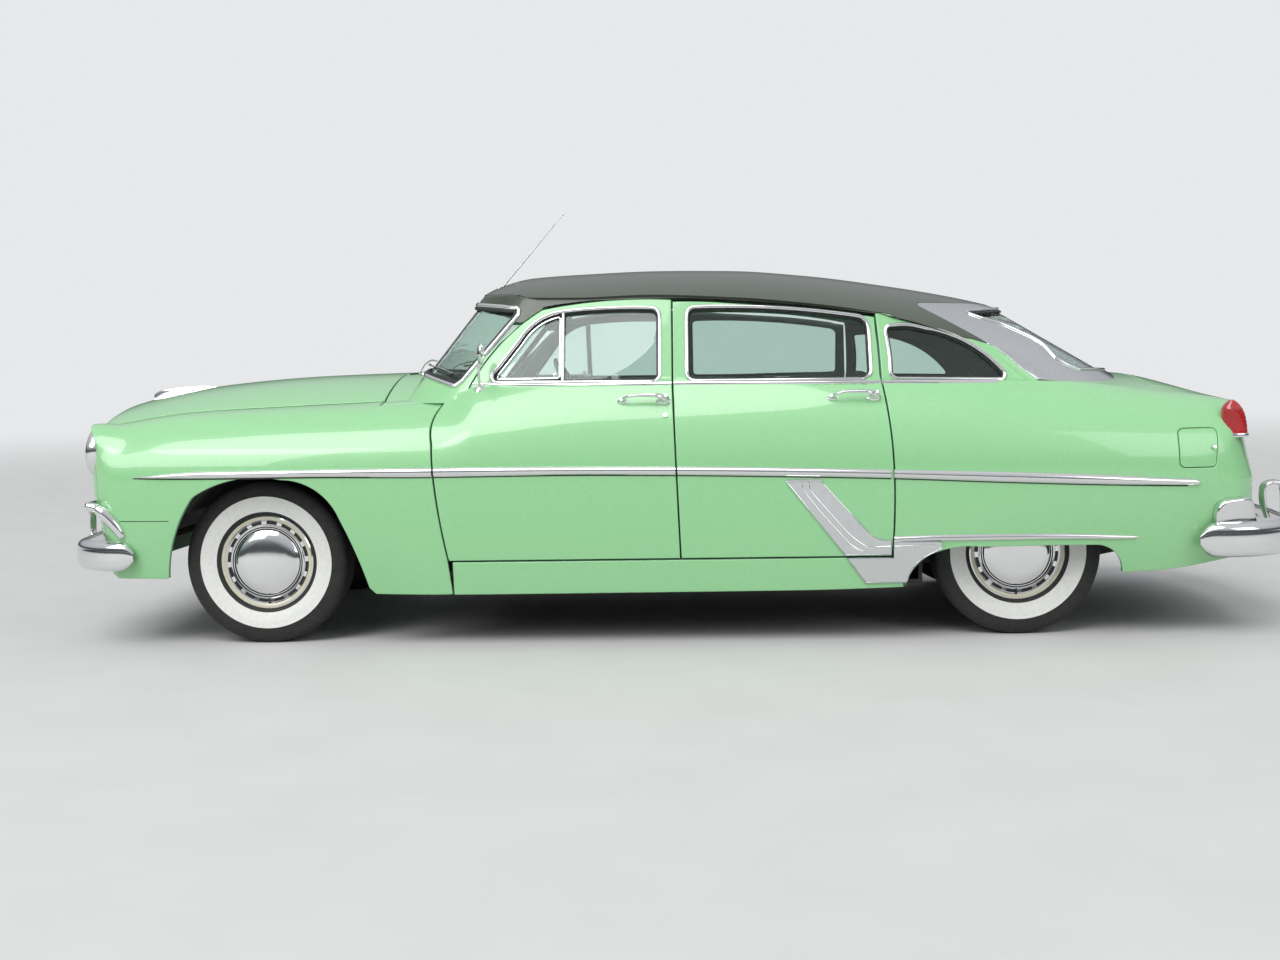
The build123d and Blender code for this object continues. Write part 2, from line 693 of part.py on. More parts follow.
# Floor with its sills
sill_region = box(sill_front_x + 2, sill_rear_x - 2, 600, 1200, 100, door_bottom_z - door_gap)
sill = deepcopy(shell) & sill_region
floor = box(firewall_x + 20, kick_up_x + 10, -840, 840, floor_z - floor_thickness, floor_z)
kick_up = box(kick_up_x, kick_up_x + 16, -840, 840, floor_z - floor_thickness, trunk_floor_z)
trunk_floor = box(kick_up_x, 2300, 3 - house_inner_y, house_inner_y - 3,
                  trunk_floor_z - floor_thickness, trunk_floor_z)
tunnel = box(firewall_x + 20, kick_up_x + 10, -tunnel_half_width, tunnel_half_width,
             floor_z, floor_z + tunnel_height)
floor_pan = (floor + tunnel + kick_up + trunk_floor) - tunnel_room
for side in both_sides(sill).solids():
    floor_pan = floor_pan + side
save(floor_pan, "floor_pan")

# Wheelhouses over the four wheels


def wheelhouse(x, y_inner, y_outer, z_cut):
    """Half drum over one wheel, closed on its inner side."""
    width = y_outer - y_inner
    place = Pos(x, (y_inner + y_outer) / 2, axle_z) * Rot(90, 0, 0)
    drum = place * Cylinder(house_radius + sheet_thickness, width)
    room = Pos(0, sheet_thickness, 0) * place * Cylinder(house_radius, width)
    drum = drum - room
    return drum & box(x - 600, x + 600, 0, 1200, z_cut, 1000)


front_house = wheelhouse(front_x, 458, 870, axle_z + 215)
rear_house = wheelhouse(rear_x, house_inner_y, 880, trunk_floor_z)
save(Compound(both_sides(front_house).solids() + both_sides(rear_house).solids()), "wheelhouses")


def bowed_bar(stations, z, height):
    """Bar of full width from the right half. Columns: outer x, y; inner x, y."""
    outer = [(x, y, z) for x, y, _, _ in stations]
    inner = [(x, y, z) for _, _, x, y in stations]
    flip = [(x, -y, zz) for x, y, zz in outer]
    flip_in = [(x, -y, zz) for x, y, zz in inner]
    edges = [
        ThreePointArc(flip[1], outer[0], outer[1]),
        ThreePointArc(*outer[1:4]),
        Line(outer[3], inner[3]),
        ThreePointArc(inner[3], inner[2], inner[1]),
        ThreePointArc(inner[1], inner[0], flip_in[1]),
        ThreePointArc(*flip_in[1:4]),
        Line(flip_in[3], flip[3]),
        ThreePointArc(flip[3], flip[2], flip[1]),
    ]
    return extrude(Face(Wire(edges)), height, dir=(0, 0, 1))


# Bumpers: a bowed blade with two upright guards and a bracket behind each guard
guard_y = 430.0
guard_width = 70.0
guard_rise = 130.0
guard_depth = 34.0
bracket_height = 60.0


def bumper(tip, bottom, height, corner, wing_x, bracket_end, ahead):
    """Bumper along the front (ahead = 1) or the rear (ahead = -1)."""
    back = tip + ahead * bumper_thickness
    blade = bowed_bar([
        (tip, 0, back, 0),
        (tip + ahead * blade_bow, 700, back + ahead * blade_bow, 690),
        (tip + ahead * corner, 860, back + ahead * (corner - 8), 836),
        (wing_x, blade_half_width, wing_x, blade_half_width - 14),
    ], bottom, height)
    x_guard = tip + ahead * 22
    guard = box(min(x_guard, x_guard + ahead * (bumper_thickness + guard_depth)),
                max(x_guard, x_guard + ahead * (bumper_thickness + guard_depth)),
                guard_y - guard_width / 2, guard_y + guard_width / 2,
                bottom - 6, bottom + height + guard_rise)
    upright = [edge for edge in guard.edges() if abs(edge.tangent_at(0).Z) > 0.9]
    guard = fillet(upright, 12)
    x_bracket = tip + ahead * (60 + bumper_thickness)
    bracket = box(min(x_bracket, bracket_end), max(x_bracket, bracket_end),
                  guard_y - 25, guard_y + 25, bottom + 20, bottom + 20 + bracket_height)
    side = guard + bracket
    return blade + side + mirrored(side)


front_bumper = bumper(-bumper_reach, front_bumper_z, front_bumper_height, 125,
                      nose_x + front_wing_wrap, nose_x + 190, 1)
rear_bumper = bumper(bumper_reach, rear_bumper_z, rear_bumper_height, 150,
                     tail_x - rear_wing_wrap, tail_x - 120, -1)
cap_low_z = rear_bumper_z + rear_bumper_height - 20
cap_face = make_face(Polyline(
    *[(x, 0, z) for x, z in
      [(2183, cap_low_z), (2178, 510), (2190, 550), (2222, 568), (2330, 574), (2352, 560),
       (2389, 499), (2395, cap_low_z)]],
    close=True))
cap_form = Pos(bumper_cap_stand, bumper_cap_stand, 0) * deepcopy(outer_lower)
bumper_cap = side_prism(cap_face, 640, 1000) & cap_form
rear_bumper = rear_bumper + bumper_cap + mirrored(bumper_cap)
front_bumper = front_bumper - outer_lower
rear_bumper = rear_bumper - outer_lower

# Number-plate bracket that stands up from the rear bumper, with its two bolt holes
plate_x = bumper_reach - bumper_thickness + 6
plate_low_z = rear_bumper_z + rear_bumper_height - 20
plate_high_z = rear_bumper_z + rear_bumper_height + 96
plate_hole_z = plate_high_z - 18
plate_bracket = box(plate_x, plate_x + plate_bracket_thickness, -plate_bracket_half_width,
                    plate_bracket_half_width, plate_low_z, plate_high_z)
for side in (1, -1):
    plate_bracket -= Pos(plate_x, side * plate_hole_spacing / 2, plate_hole_z) * Rot(
        0, 90, 0) * Cylinder(plate_hole_radius, 4 * plate_bracket_thickness)
rear_bumper = rear_bumper + plate_bracket
save(front_bumper.solids().sort_by(SortBy.VOLUME)[-1], "front_bumper")
save(rear_bumper.solids().sort_by(SortBy.VOLUME)[-1], "rear_bumper")

# Grille: one heavy bowed bar in the opening, a slim bar below it and the radiator
grille_bar = bowed_bar([
    (nose_x - 6, 0, nose_x + 44, 0),
    (nose_x + 20, 400, nose_x + 70, 400),
    (nose_x + 34, 510, nose_x + 84, 510),
    (nose_x + 52, 586, nose_x + 102, 586),
], 690, 70)
slim_bar = bowed_bar([
    (nose_x + 10, 0, nose_x + 40, 0),
    (nose_x + 30, 400, nose_x + 60, 400),
    (nose_x + 42, 510, nose_x + 72, 510),
    (nose_x + 60, 586, nose_x + 90, 586),
], 590, 26)
radiator = box(nose_x + 205, nose_x + 245, -560, 560, 400, 860)
grille_post = box(nose_x + 30, nose_x + 206, -22, 22, 600, 740)
grille = grille_bar + slim_bar + radiator + grille_post

# Brows over the parking lamps, wrapped round the corners of the nose
brow_face = make_face(Polyline(
    *[(x, 0, z) for x, z in
      [(-2496, 573), (-2486, 598), (-2463, 608), (-2429, 608), (-2402, 583), (-2358, 549),
       (-2326, 509), (-2311, 464), (-2338, 464), (-2370, 521), (-2414, 550), (-2480, 548)]],
    close=True))
brow_form = Pos(-lamp_brow_stand, lamp_brow_stand / 3, 0) * deepcopy(outer_lower)
brow = (side_prism(brow_face, 640, 1000) & brow_form) - deepcopy(outer_lower)
brow = brow.solids().sort_by(SortBy.VOLUME)[-1]
save(Compound(grille.solids() + both_sides(brow).solids()), "grille")

# Headlamps with the parking lamps under them
lamp_back = nose_x + 130
lamp_front = lamp_back - headlamp_depth
headlamp = Pos(lamp_back, headlamp_y, headlamp_z) * Rot(0, -90, 0) * Cylinder(
    headlamp_radius, headlamp_depth, align=(Align.CENTER, Align.CENTER, Align.MIN))
dome_radius = 190.0
dome_rise = dome_radius - sqrt(dome_radius ** 2 - headlamp_radius ** 2)
dome = Pos(lamp_front - dome_rise + dome_radius, headlamp_y, headlamp_z) * Sphere(dome_radius)
dome = dome & box(lamp_front - dome_rise - 5, lamp_front, 500, 1000, 600, 1000)
headlamp = headlamp + dome
parking_lamp = Pos(lamp_back, parking_lamp_y, parking_lamp_z) * Rot(0, -90, 0) * Cylinder(
    parking_lamp_radius, lamp_back - parking_lamp_x, align=(Align.CENTER, Align.CENTER, Align.MIN))
parking_lamp += Pos(parking_lamp_x, parking_lamp_y, parking_lamp_z) * Sphere(parking_lamp_radius)
lamps = both_sides(headlamp).solids() + both_sides(parking_lamp).solids()
save(Compound(lamps), "front_lamps")

# Tail lamps, upright on the ends of the rear fenders
tail_lamp_face = make_face(Polyline(
    *[(rear_x + dx, 0, z) for dx, z in
      [(823, 812), (928, 812), (928, 833), (916, 902), (887, 960), (860, 962), (823, 940)]],
    close=True))
tail_lamp = side_prism(tail_lamp_face, tail_lamp_inner_y, tail_lamp_outer_y)
tail_lamp = tail_lamp - outer_lower
save(Compound(both_sides(tail_lamp.solids().sort_by(SortBy.VOLUME)[-1]).solids()), "tail_lamps")


# Seats, each a bench from one side profile
def bench(profile, half_width, corner):
    """Bench seat from a side profile with rounded corners."""
    face = make_face(Polyline(*[(x, 0, z) for x, z in profile], close=True))
    face = fillet(face.vertices(), corner)
    return side_prism(face, -half_width, half_width)


front_seat = bench([(-360, 330), (200, 330), (345, 960), (245, 1000), (120, 580), (-370, 610)],
                   seat_half_width, 35)
rear_seat = bench([(560, 330), (980, 330), (985, 480), (1120, 480), (1270, 1010), (1160, 1015),
                   (1010, 590), (550, 620)], seat_half_width, 30)
seat_tunnel = box(-500, 1100, -tunnel_half_width - 5, tunnel_half_width + 5, 300,
                  floor_z + tunnel_height + 5)
front_seat = front_seat - seat_tunnel
rear_seat = rear_seat - seat_tunnel
for side in (1, -1):
    rear_seat = rear_seat - Pos(rear_x, side * (558 + 400), axle_z) * Rot(90, 0, 0) * Cylinder(
        house_radius + 12, 800)
save(front_seat, "front_seat")
save(rear_seat, "rear_seat")

# Dashboard with the steering column
dash_half_width = 614.0
dash_profile = [(-1060, 900), (-960, 820), (-900, 800), (-850, 860), (-840, 1000), (-900, 1050),
                (-1040, 1055)]
dash_face = make_face(Polyline(*[(x, 0, z) for x, z in dash_profile], close=True))
dash = side_prism(dash_face, -dash_half_width, dash_half_width)
column_place = Pos(steering_wheel_x, column_y, steering_wheel_z) * Rot(0, -90 - column_slope, 0)
hub_gap = 6.0
hub_depth = 50.0
column_length = 640.0
column = column_place * Pos(0, 0, hub_depth / 2 + hub_gap) * Cylinder(
    column_radius, column_length, align=(Align.CENTER, Align.CENTER, Align.MIN))
column_bracket = box(-940, -870, column_y - 30, column_y + 30, 700, 830)
dash = dash & (Pos(0, 0, -8) * inner_lower)
dashboard = dash + column + column_bracket
save(dashboard, "dashboard")
ring = Torus(steering_wheel_radius, steering_rim_radius)
hub = Cylinder(38, hub_depth)
spokes = Box(2 * steering_wheel_radius, 22, 8)
save(column_place * (ring + hub + spokes), "steering_wheel")

# Engine with its gearbox, one plain block
engine = box(-2210, -1260, -240, 240, 330, 930) + box(-1262, -1140, -170, 170, 300, 620)
engine = engine + box(-1142, -820, -80, 80, 170, 300)
save(engine, "engine")

# Rear axle with leaf springs and propeller shaft
spring_y = 510.0
spring_length = 760.0
axle_radius = 42.0
stub_length = 92.0
rear_axle = Pos(rear_x, 0, axle_z) * Rot(90, 0, 0) * Cylinder(axle_radius, 2 * (rear_wheel_y - 85))
rear_axle += Pos(rear_x, 0, axle_z) * Sphere(95)
shaft_front = Vector(-815, 0, 235)
shaft_rear = Vector(rear_x - 60, 0, axle_z)
shaft_path = shaft_rear - shaft_front
shaft = Plane(origin=shaft_front, z_dir=shaft_path) * Cylinder(
    30, shaft_path.length, align=(Align.CENTER, Align.CENTER, Align.MIN))
rear_axle += shaft
for side in (1, -1):
    spring = box(rear_x - spring_length / 2, rear_x + spring_length / 2, side * spring_y - 30,
                 side * spring_y + 30, axle_z - axle_radius - 30, axle_z - axle_radius + 8)
    rear_axle += spring
    drum = Pos(rear_x, side * (rear_wheel_y - 62), axle_z) * Rot(90, 0, 0) * Cylinder(140, 46)
    stub = Pos(rear_x, side * (rear_wheel_y - 20), axle_z) * Rot(90, 0, 0) * Cylinder(
        spindle_radius, stub_length)
    rear_axle += drum + stub
save(rear_axle, "rear_axle")

# Front suspension: cross-member and the arms that hold the kingpins
arm_gap = 6.0
upright_half = 95.0
front_suspension = box(front_x - 70, front_x + 70, -330, 330, 190, 320)
for side in (1, -1):
    for z_arm in (axle_z - upright_half - arm_gap - 24, axle_z + upright_half + arm_gap):
        arm = box(front_x - 30, front_x + 30, min(side * 300, side * kingpin_y),
                  max(side * 300, side * kingpin_y), z_arm, z_arm + 24)
        arm += Pos(front_x, side * kingpin_y, z_arm + 12) * Cylinder(30, 24)
        arm -= Pos(front_x, side * kingpin_y, z_arm + 12) * Cylinder(kingpin_radius + 1, 30)
        front_suspension += arm
    front_suspension += box(front_x - 40, front_x + 40, min(side * 290, side * 330),
                            max(side * 290, side * 330), 200, axle_z + upright_half + arm_gap + 24)
save(front_suspension, "front_suspension")

# Steering knuckles: an upright with its kingpin, spindle and brake plate
kingpin_half = upright_half + arm_gap + 24
for side, name in ((1, "right"), (-1, "left")):
    knuckle = box(front_x - 28, front_x + 28, side * kingpin_y - 26, side * kingpin_y + 26,
                  axle_z - upright_half, axle_z + upright_half)
    knuckle += Pos(front_x, side * kingpin_y, axle_z) * Cylinder(kingpin_radius, 2 * kingpin_half)
    spindle_start = kingpin_y + 20
    spindle_end = front_wheel_y + 26
    knuckle += Pos(front_x, side * (spindle_start + spindle_end) / 2, axle_z) * Rot(
        90, 0, 0) * Cylinder(spindle_radius, spindle_end - spindle_start)
    save(knuckle, "knuckle_" + name)


def turned(profile):
    """Revolve a half section given as (radius, distance along Y) about the Y axis."""
    face = make_face(Polyline(*[(r, y, 0) for r, y in profile], close=True))
    return revolve(face, Axis.Y)


def tyre():
    """Tyre with its outer side towards +Y."""
    half = tyre_width / 2
    crown = 68.0
    bead = rim_width / 2 - 4
    edges = [
        Line((tyre_radius - 2, -crown, 0), (tyre_radius, 0, 0)),
        Line((tyre_radius, 0, 0), (tyre_radius - 2, crown, 0)),
        ThreePointArc((tyre_radius - 2, crown, 0), (tyre_radius - 14, crown + 14, 0),
                      (tyre_radius - 40, half - 4, 0)),
        ThreePointArc((tyre_radius - 40, half - 4, 0), (tyre_radius - 82, half, 0),
                      (rim_radius, bead, 0)),
        Line((rim_radius, bead, 0), (rim_radius, -bead, 0)),
        ThreePointArc((rim_radius, -bead, 0), (tyre_radius - 82, -half, 0),
                      (tyre_radius - 40, 4 - half, 0)),
        ThreePointArc((tyre_radius - 40, 4 - half, 0), (tyre_radius - 14, -crown - 14, 0),
                      (tyre_radius - 2, -crown, 0)),
    ]
    return revolve(Face(Wire(edges)), Axis.Y)


def wheel():
    """Rim, dished disc, hub bore and domed cap, outer side towards +Y."""
    half = rim_width / 2
    bore = spindle_radius + spindle_clearance
    return turned([
        (bore, -24), (hub_radius, -24), (hub_radius, 10), (150, 16), (rim_radius - 22, -10),
        (rim_radius - 14, -half), (rim_radius, -half), (rim_radius, half),
        (rim_radius - 12, half + 6), (rim_radius - 34, half - 12), (130, half - 16),
        (105, half + 8), (50, half + 20), (0, half + 22), (0, 46), (bore, 46),
    ])


wheel_places = {
    "front_right": (front_x, front_wheel_y, 1), "front_left": (front_x, -front_wheel_y, -1),
    "rear_right": (rear_x, rear_wheel_y, 1), "rear_left": (rear_x, -rear_wheel_y, -1),
}
tyre_shape = tyre()
wheel_shape = wheel()
for name, (x, y, side) in wheel_places.items():
    turn = Rot(0, 0, 0) if side > 0 else Rot(0, 0, 180)
    save(Pos(x, y, axle_z) * turn * tyre_shape, "tyre_" + name)
    save(Pos(x, y, axle_z) * turn * wheel_shape, "wheel_" + name)

# Exhaust with its silencer, fuel tank and antenna
exhaust_path = FilletPolyline((-1560, 300, 420), (-1250, 300, 188), (1900, 300, 188),
                              (2420, 300, 290), radius=120)
exhaust = sweep(Plane(origin=exhaust_path @ 0, z_dir=exhaust_path % 0) * Circle(pipe_radius),
                path=exhaust_path)
exhaust += box(-100, 500, 230, 370, 140, 218)
save(exhaust, "exhaust")
fuel_tank = box(rear_x + 400, rear_x + 800, -460, -20, 300, 446)
save(fuel_tank, "fuel_tank")
antenna_foot = Vector(-829, 0, 1500)
antenna_tip = Vector(-515, 0, 1858)
antenna_line = antenna_tip - antenna_foot
antenna = Plane(origin=antenna_foot, z_dir=antenna_line) * Cylinder(
    antenna_radius, antenna_line.length, align=(Align.CENTER, Align.CENTER, Align.MIN))
antenna += Pos(-829, 0, 1504) * Sphere(18)
antenna = antenna - outer_cabin
save(antenna.solids().sort_by(SortBy.VOLUME)[-1], "antenna")
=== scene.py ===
"""Looks and studio for a full-size four-door sedan of the early 1950s.

Frame: +X to the rear, -Y the car's left side, +Z up. Tables are in millimetres and
meshes in metres.
"""
import bpy
import logging
from bisect import bisect_right
from dataclasses import dataclass, field
from enum import Enum
from math import acos, asin, atan2, ceil, cos, hypot, pi, radians, sin, sqrt
from mathutils import Matrix, Vector, geometry, kdtree
from typing import Callable, Iterable, Optional, Protocol, Sequence


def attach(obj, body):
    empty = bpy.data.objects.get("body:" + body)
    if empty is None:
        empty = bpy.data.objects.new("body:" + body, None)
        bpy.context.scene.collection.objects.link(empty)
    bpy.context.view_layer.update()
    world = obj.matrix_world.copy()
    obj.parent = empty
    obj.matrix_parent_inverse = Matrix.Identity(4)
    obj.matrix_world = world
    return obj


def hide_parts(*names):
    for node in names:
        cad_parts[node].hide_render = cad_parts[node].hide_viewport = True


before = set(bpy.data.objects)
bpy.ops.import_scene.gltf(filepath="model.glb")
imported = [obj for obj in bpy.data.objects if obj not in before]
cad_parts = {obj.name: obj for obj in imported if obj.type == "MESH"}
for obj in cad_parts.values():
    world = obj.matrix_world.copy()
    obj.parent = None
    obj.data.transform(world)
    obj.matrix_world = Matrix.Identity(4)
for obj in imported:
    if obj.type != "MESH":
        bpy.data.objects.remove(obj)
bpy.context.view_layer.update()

log = logging.getLogger("sedan")
MM = 0.001
ARC_PIECES = 16
CORNER_TURN = radians(24)
Point2 = tuple[float, float]
Loop = list[Point2]
Triple = tuple[float, float, float]


# Small geometry helpers


class Curve:
    """Monotone cubic curve through a table of points."""

    def __init__(self, points: Sequence[Point2]) -> None:
        """Prepare the slopes.

        Args:
            points: pairs of place and value, in rising order of place.
        """
        self.xs = [p[0] for p in points]
        self.ys = [p[1] for p in points]
        steps = [(y1 - y0) / (x1 - x0) for x0, x1, y0, y1 in
                 zip(self.xs, self.xs[1:], self.ys, self.ys[1:])]
        self.slopes = [steps[0]]
        for before, after in zip(steps, steps[1:]):
            same_way = before * after > 0
            self.slopes.append(2 * before * after / (before + after) if same_way else 0.0)
        self.slopes.append(steps[-1])

    def __call__(self, x: float) -> float:
        """Value at a place, level or straight on beyond the ends.

        Args:
            x: place.
        Returns:
            The interpolated value.
        """
        i = min(max(bisect_right(self.xs, x) - 1, 0), len(self.xs) - 2)
        span = self.xs[i + 1] - self.xs[i]
        s = (x - self.xs[i]) / span
        if s < 0:
            return self.ys[0] + self.slopes[0] * (x - self.xs[0])
        if s > 1:
            return self.ys[-1] + self.slopes[-1] * (x - self.xs[-1])
        h0 = (1 + 2 * s) * (1 - s) ** 2
        h1 = s * (1 - s) ** 2
        h2 = s * s * (3 - 2 * s)
        h3 = s * s * (s - 1)
        return (h0 * self.ys[i] + h1 * span * self.slopes[i]
                + h2 * self.ys[i + 1] + h3 * span * self.slopes[i + 1])


def soft_max(a: float, b: float, width: float) -> float:
    """The larger of two values with a rounded change-over of a width."""
    h = max(width - abs(a - b), 0.0) / width
    return max(a, b) + h * h * width / 4


def ramp(x: float, low: float, high: float) -> float:
    """Smooth step from 0 at low to 1 at high; the ends may be given in either order."""
    s = min(max((x - low) / (high - low), 0.0), 1.0)
    return s * s * (3 - 2 * s)


def centre_of(a: Point2, b: Point2, c: Point2) -> Optional[Point2]:
    """Centre of the circle through three points.

    Args:
        a, b, c: the points.
    Returns:
        The centre, or None for points on a line.
    """
    ax, ay, bx, by, cx, cy = *a, *b, *c
    d = 2 * (ax * (by - cy) + bx * (cy - ay) + cx * (ay - by))
    if abs(d) < 1e-6:
        return None
    sa, sb, sc = ax * ax + ay * ay, bx * bx + by * by, cx * cx + cy * cy
    return ((sa * (by - cy) + sb * (cy - ay) + sc * (ay - by)) / d,
            (sa * (cx - bx) + sb * (ax - cx) + sc * (bx - ax)) / d)


def arc3(a: Point2, b: Point2, c: Point2, count: int) -> Loop:
    """Points on the arc through three points, both ends included.

    Args:
        a: first point.
        b: middle point.
        c: last point.
        count: number of pieces.
    Returns:
        The points.
    """
    centre = centre_of(a, b, c)
    if centre is None:
        return [(a[0] + (c[0] - a[0]) * i / count, a[1] + (c[1] - a[1]) * i / count)
                for i in range(count + 1)]
    ux, uy = centre
    r = hypot(a[0] - ux, a[1] - uy)
    t0, t1, t2 = (atan2(y - uy, x - ux) for x, y in (a, b, c))
    turn = (t2 - t0) % (2 * pi)
    if (t1 - t0) % (2 * pi) > turn:
        turn -= 2 * pi
    return [(ux + r * cos(t0 + turn * i / count), uy + r * sin(t0 + turn * i / count))
            for i in range(count + 1)]


def path2(*edges: Sequence[Point2]) -> Loop:
    """Join edges of two points (line) or three points (arc) into one polyline.

    Args:
        edges: lines and arcs, each from the last one's end.
    Returns:
        The polyline.
    """
    points: Loop = []
    for edge in edges:
        part = list(edge) if len(edge) != 3 else arc3(*edge, ARC_PIECES)
        points += part if not points else part[1:]
    return points


def smooth_path(points: Sequence[Point2], count: int) -> Loop:
    """Rounded curve through points, spaced evenly by number between them.

    Args:
        points: the points.
        count: pieces between two points.
    Returns:
        The points.
    """
    result: Loop = []
    padded = [points[0], *points, points[-1]]
    for i in range(1, len(padded) - 2):
        p0, p1, p2, p3 = padded[i - 1:i + 3]
        for k in range(count):
            s = k / count
            result.append(tuple(
                0.5 * (2 * b + (c - a) * s + (2 * a - 5 * b + 4 * c - d) * s * s
                       + (3 * b - a - 3 * c + d) * s ** 3)
                for a, b, c, d in zip(p0, p1, p2, p3)))
    result.append(tuple(points[-1]))
    return result


def resample(points: Sequence[Point2], step: float, closed: bool = True) -> Loop:
    """Points spaced by about a step, keeping every corner sharper than CORNER_TURN.

    Args:
        points: the points.
        step: spacing along the line.
        closed: whether the line is a loop.
    Returns:
        The points.
    """
    count = len(points)
    corners = []
    for i in range(count):
        before, here, after = points[i - 1], points[i], points[(i + 1) % count]
        first = atan2(here[1] - before[1], here[0] - before[0])
        second = atan2(after[1] - here[1], after[0] - here[0])
        turn = abs((second - first + pi) % (2 * pi) - pi)
        if turn > CORNER_TURN or (not closed and i in (0, count - 1)):
            corners.append(i)
    if not corners:
        corners = [0]
    result: Loop = []
    ends = corners[1:] + ([corners[0] + count] if closed else [])
    for start, end in zip(corners, ends):
        run = [points[k % count] for k in range(start, end + 1)]
        lengths = [0.0]
        for p, q in zip(run, run[1:]):
            lengths.append(lengths[-1] + hypot(q[0] - p[0], q[1] - p[1]))
        pieces = max(1, round(lengths[-1] / step))
        k = 0
        for n in range(pieces):
            goal = lengths[-1] * n / pieces
            while lengths[k + 1] < goal:
                k += 1
            s = (goal - lengths[k]) / max(lengths[k + 1] - lengths[k], 1e-9)
            result.append((run[k][0] + (run[k + 1][0] - run[k][0]) * s,
                           run[k][1] + (run[k + 1][1] - run[k][1]) * s))
    if not closed:
        result.append(tuple(points[-1]))
    return result


def area2(points: Sequence[Point2]) -> float:
    """Signed area of a closed loop."""
    return 0.5 * sum(p[0] * q[1] - q[0] * p[1] for p, q in zip(points, [*points[1:], points[0]]))


def inset_loop(points: Sequence[Point2], distance: float) -> Loop:
    """Loop moved to its left side by a distance.

    Args:
        points: the points.
        distance: how far it moves.
    Returns:
        The moved loop.
    """
    result: Loop = []
    count = len(points)
    for i in range(count):
        (x0, y0), (x1, y1), (x2, y2) = points[i - 1], points[i], points[(i + 1) % count]
        l1, l2 = hypot(x1 - x0, y1 - y0) or 1.0, hypot(x2 - x1, y2 - y1) or 1.0
        n1 = ((y0 - y1) / l1, (x1 - x0) / l1)
        n2 = ((y1 - y2) / l2, (x2 - x1) / l2)
        scale = distance / max(0.35, 1 + n1[0] * n2[0] + n1[1] * n2[1])
        result.append((x1 + (n1[0] + n2[0]) * scale, y1 + (n1[1] + n2[1]) * scale))
    return result


def rounded(points: Sequence[Point2], radius: float) -> Loop:
    """Closed loop of straight edges with its corners rounded.

    Args:
        points: the points.
        radius: radius of the corners.
    Returns:
        The rounded loop.
    """
    result: Loop = []
    for before, here, after in zip([points[-1], *points], points, [*points[1:], points[0]]):
        l1, l2 = hypot(before[0] - here[0], before[1] - here[1]), hypot(
            after[0] - here[0], after[1] - here[1])
        cut = min(radius, 0.45 * l1, 0.45 * l2)
        p = [here[i] + (before[i] - here[i]) * cut / l1 for i in (0, 1)]
        q = [here[i] + (after[i] - here[i]) * cut / l2 for i in (0, 1)]
        for k in range(7):
            s = k / 6
            result.append(tuple(p[i] * (1 - s) ** 2 + here[i] * 2 * s * (1 - s) + q[i] * s * s
                                for i in (0, 1)))
    return result


def run_of(loop: Sequence[Point2], keep: Callable[[Point2], bool]) -> Loop:
    """Connected part of a closed loop whose points pass a test, from low to high u.

    Args:
        loop: closed loop of points.
        keep: test of a point.
    Returns:
        The points of that part.
    """
    start = next(i for i in range(len(loop)) if keep(loop[i]) and not keep(loop[i - 1]))
    part: Loop = []
    for k in range(len(loop)):
        point = loop[(start + k) % len(loop)]
        if not keep(point):
            break
        part.append(point)
    return part if part[0][0] < part[-1][0] else part[::-1]


def circle(x: float, y: float, r: float, count: int) -> Loop:
    """Even points on a circle."""
    return [(x + r * cos(a), y + r * sin(a)) for a in (2 * pi * k / count for k in range(count))]


def halved(low: float, high: float, above: Callable[[float], bool], steps: int) -> Point2:
    """Close in on the place where a test changes.

    Args:
        low, high: ends of the interval.
        above: whether the place lies above a middle.
        steps: number of halvings.
    Returns:
        Ends of the last interval.
    """
    for _ in range(steps):
        middle = (low + high) / 2
        if above(middle):
            low = middle
        else:
            high = middle
    return low, high


def inside(point: Point2, loop: Sequence[Point2]) -> bool:
    """Whether a point lies in a closed loop.

    Args:
        point: the point.
        loop: closed loop of points.
    Returns:
        Whether it lies inside.
    """
    x, y = point
    hit = False
    for (x0, y0), (x1, y1) in zip(loop, [*loop[1:], loop[0]]):
        if (y0 > y) != (y1 > y) and x < x0 + (x1 - x0) * (y - y0) / (y1 - y0):
            hit = not hit
    return hit


# Forms of the car. Each gives a point in millimetres for two surface coordinates that
# run at about true length.


class Surface(Protocol):
    """A surface with two coordinates."""

    def point(self, u: float, v: float) -> Vector:
        """Point at two surface coordinates."""


def normal_at(surface: Surface, u: float, v: float, outward: float) -> Vector:
    """Unit normal by differences.

    Args:
        surface: the surface.
        u, v: surface coordinates.
        outward: 1 or -1, whichever makes the normal point away from the car.
    Returns:
        The unit normal.
    """
    h = 1.5
    du = surface.point(u + h, v) - surface.point(u - h, v)
    dv = surface.point(u, v + h) - surface.point(u, v - h)
    n = du.cross(dv) * outward
    return n.normalized() if n.length > 1e-9 else Vector((0, 0, 1))


FRONT_X, REAR_X, AXLE_Z = -1733.0, 1417.0, 345.0
FRONT_Y, REAR_Y = 743.0, 705.0
NOSE_X, TAIL_X = -2525.0, 2505.0
NOSE_LEAN, TAIL_LEAN, LEAN_Z, END_BLEND = 0.2, 0.33, 650.0, 40.0
HEADLAMP = (765.0, 823.0)

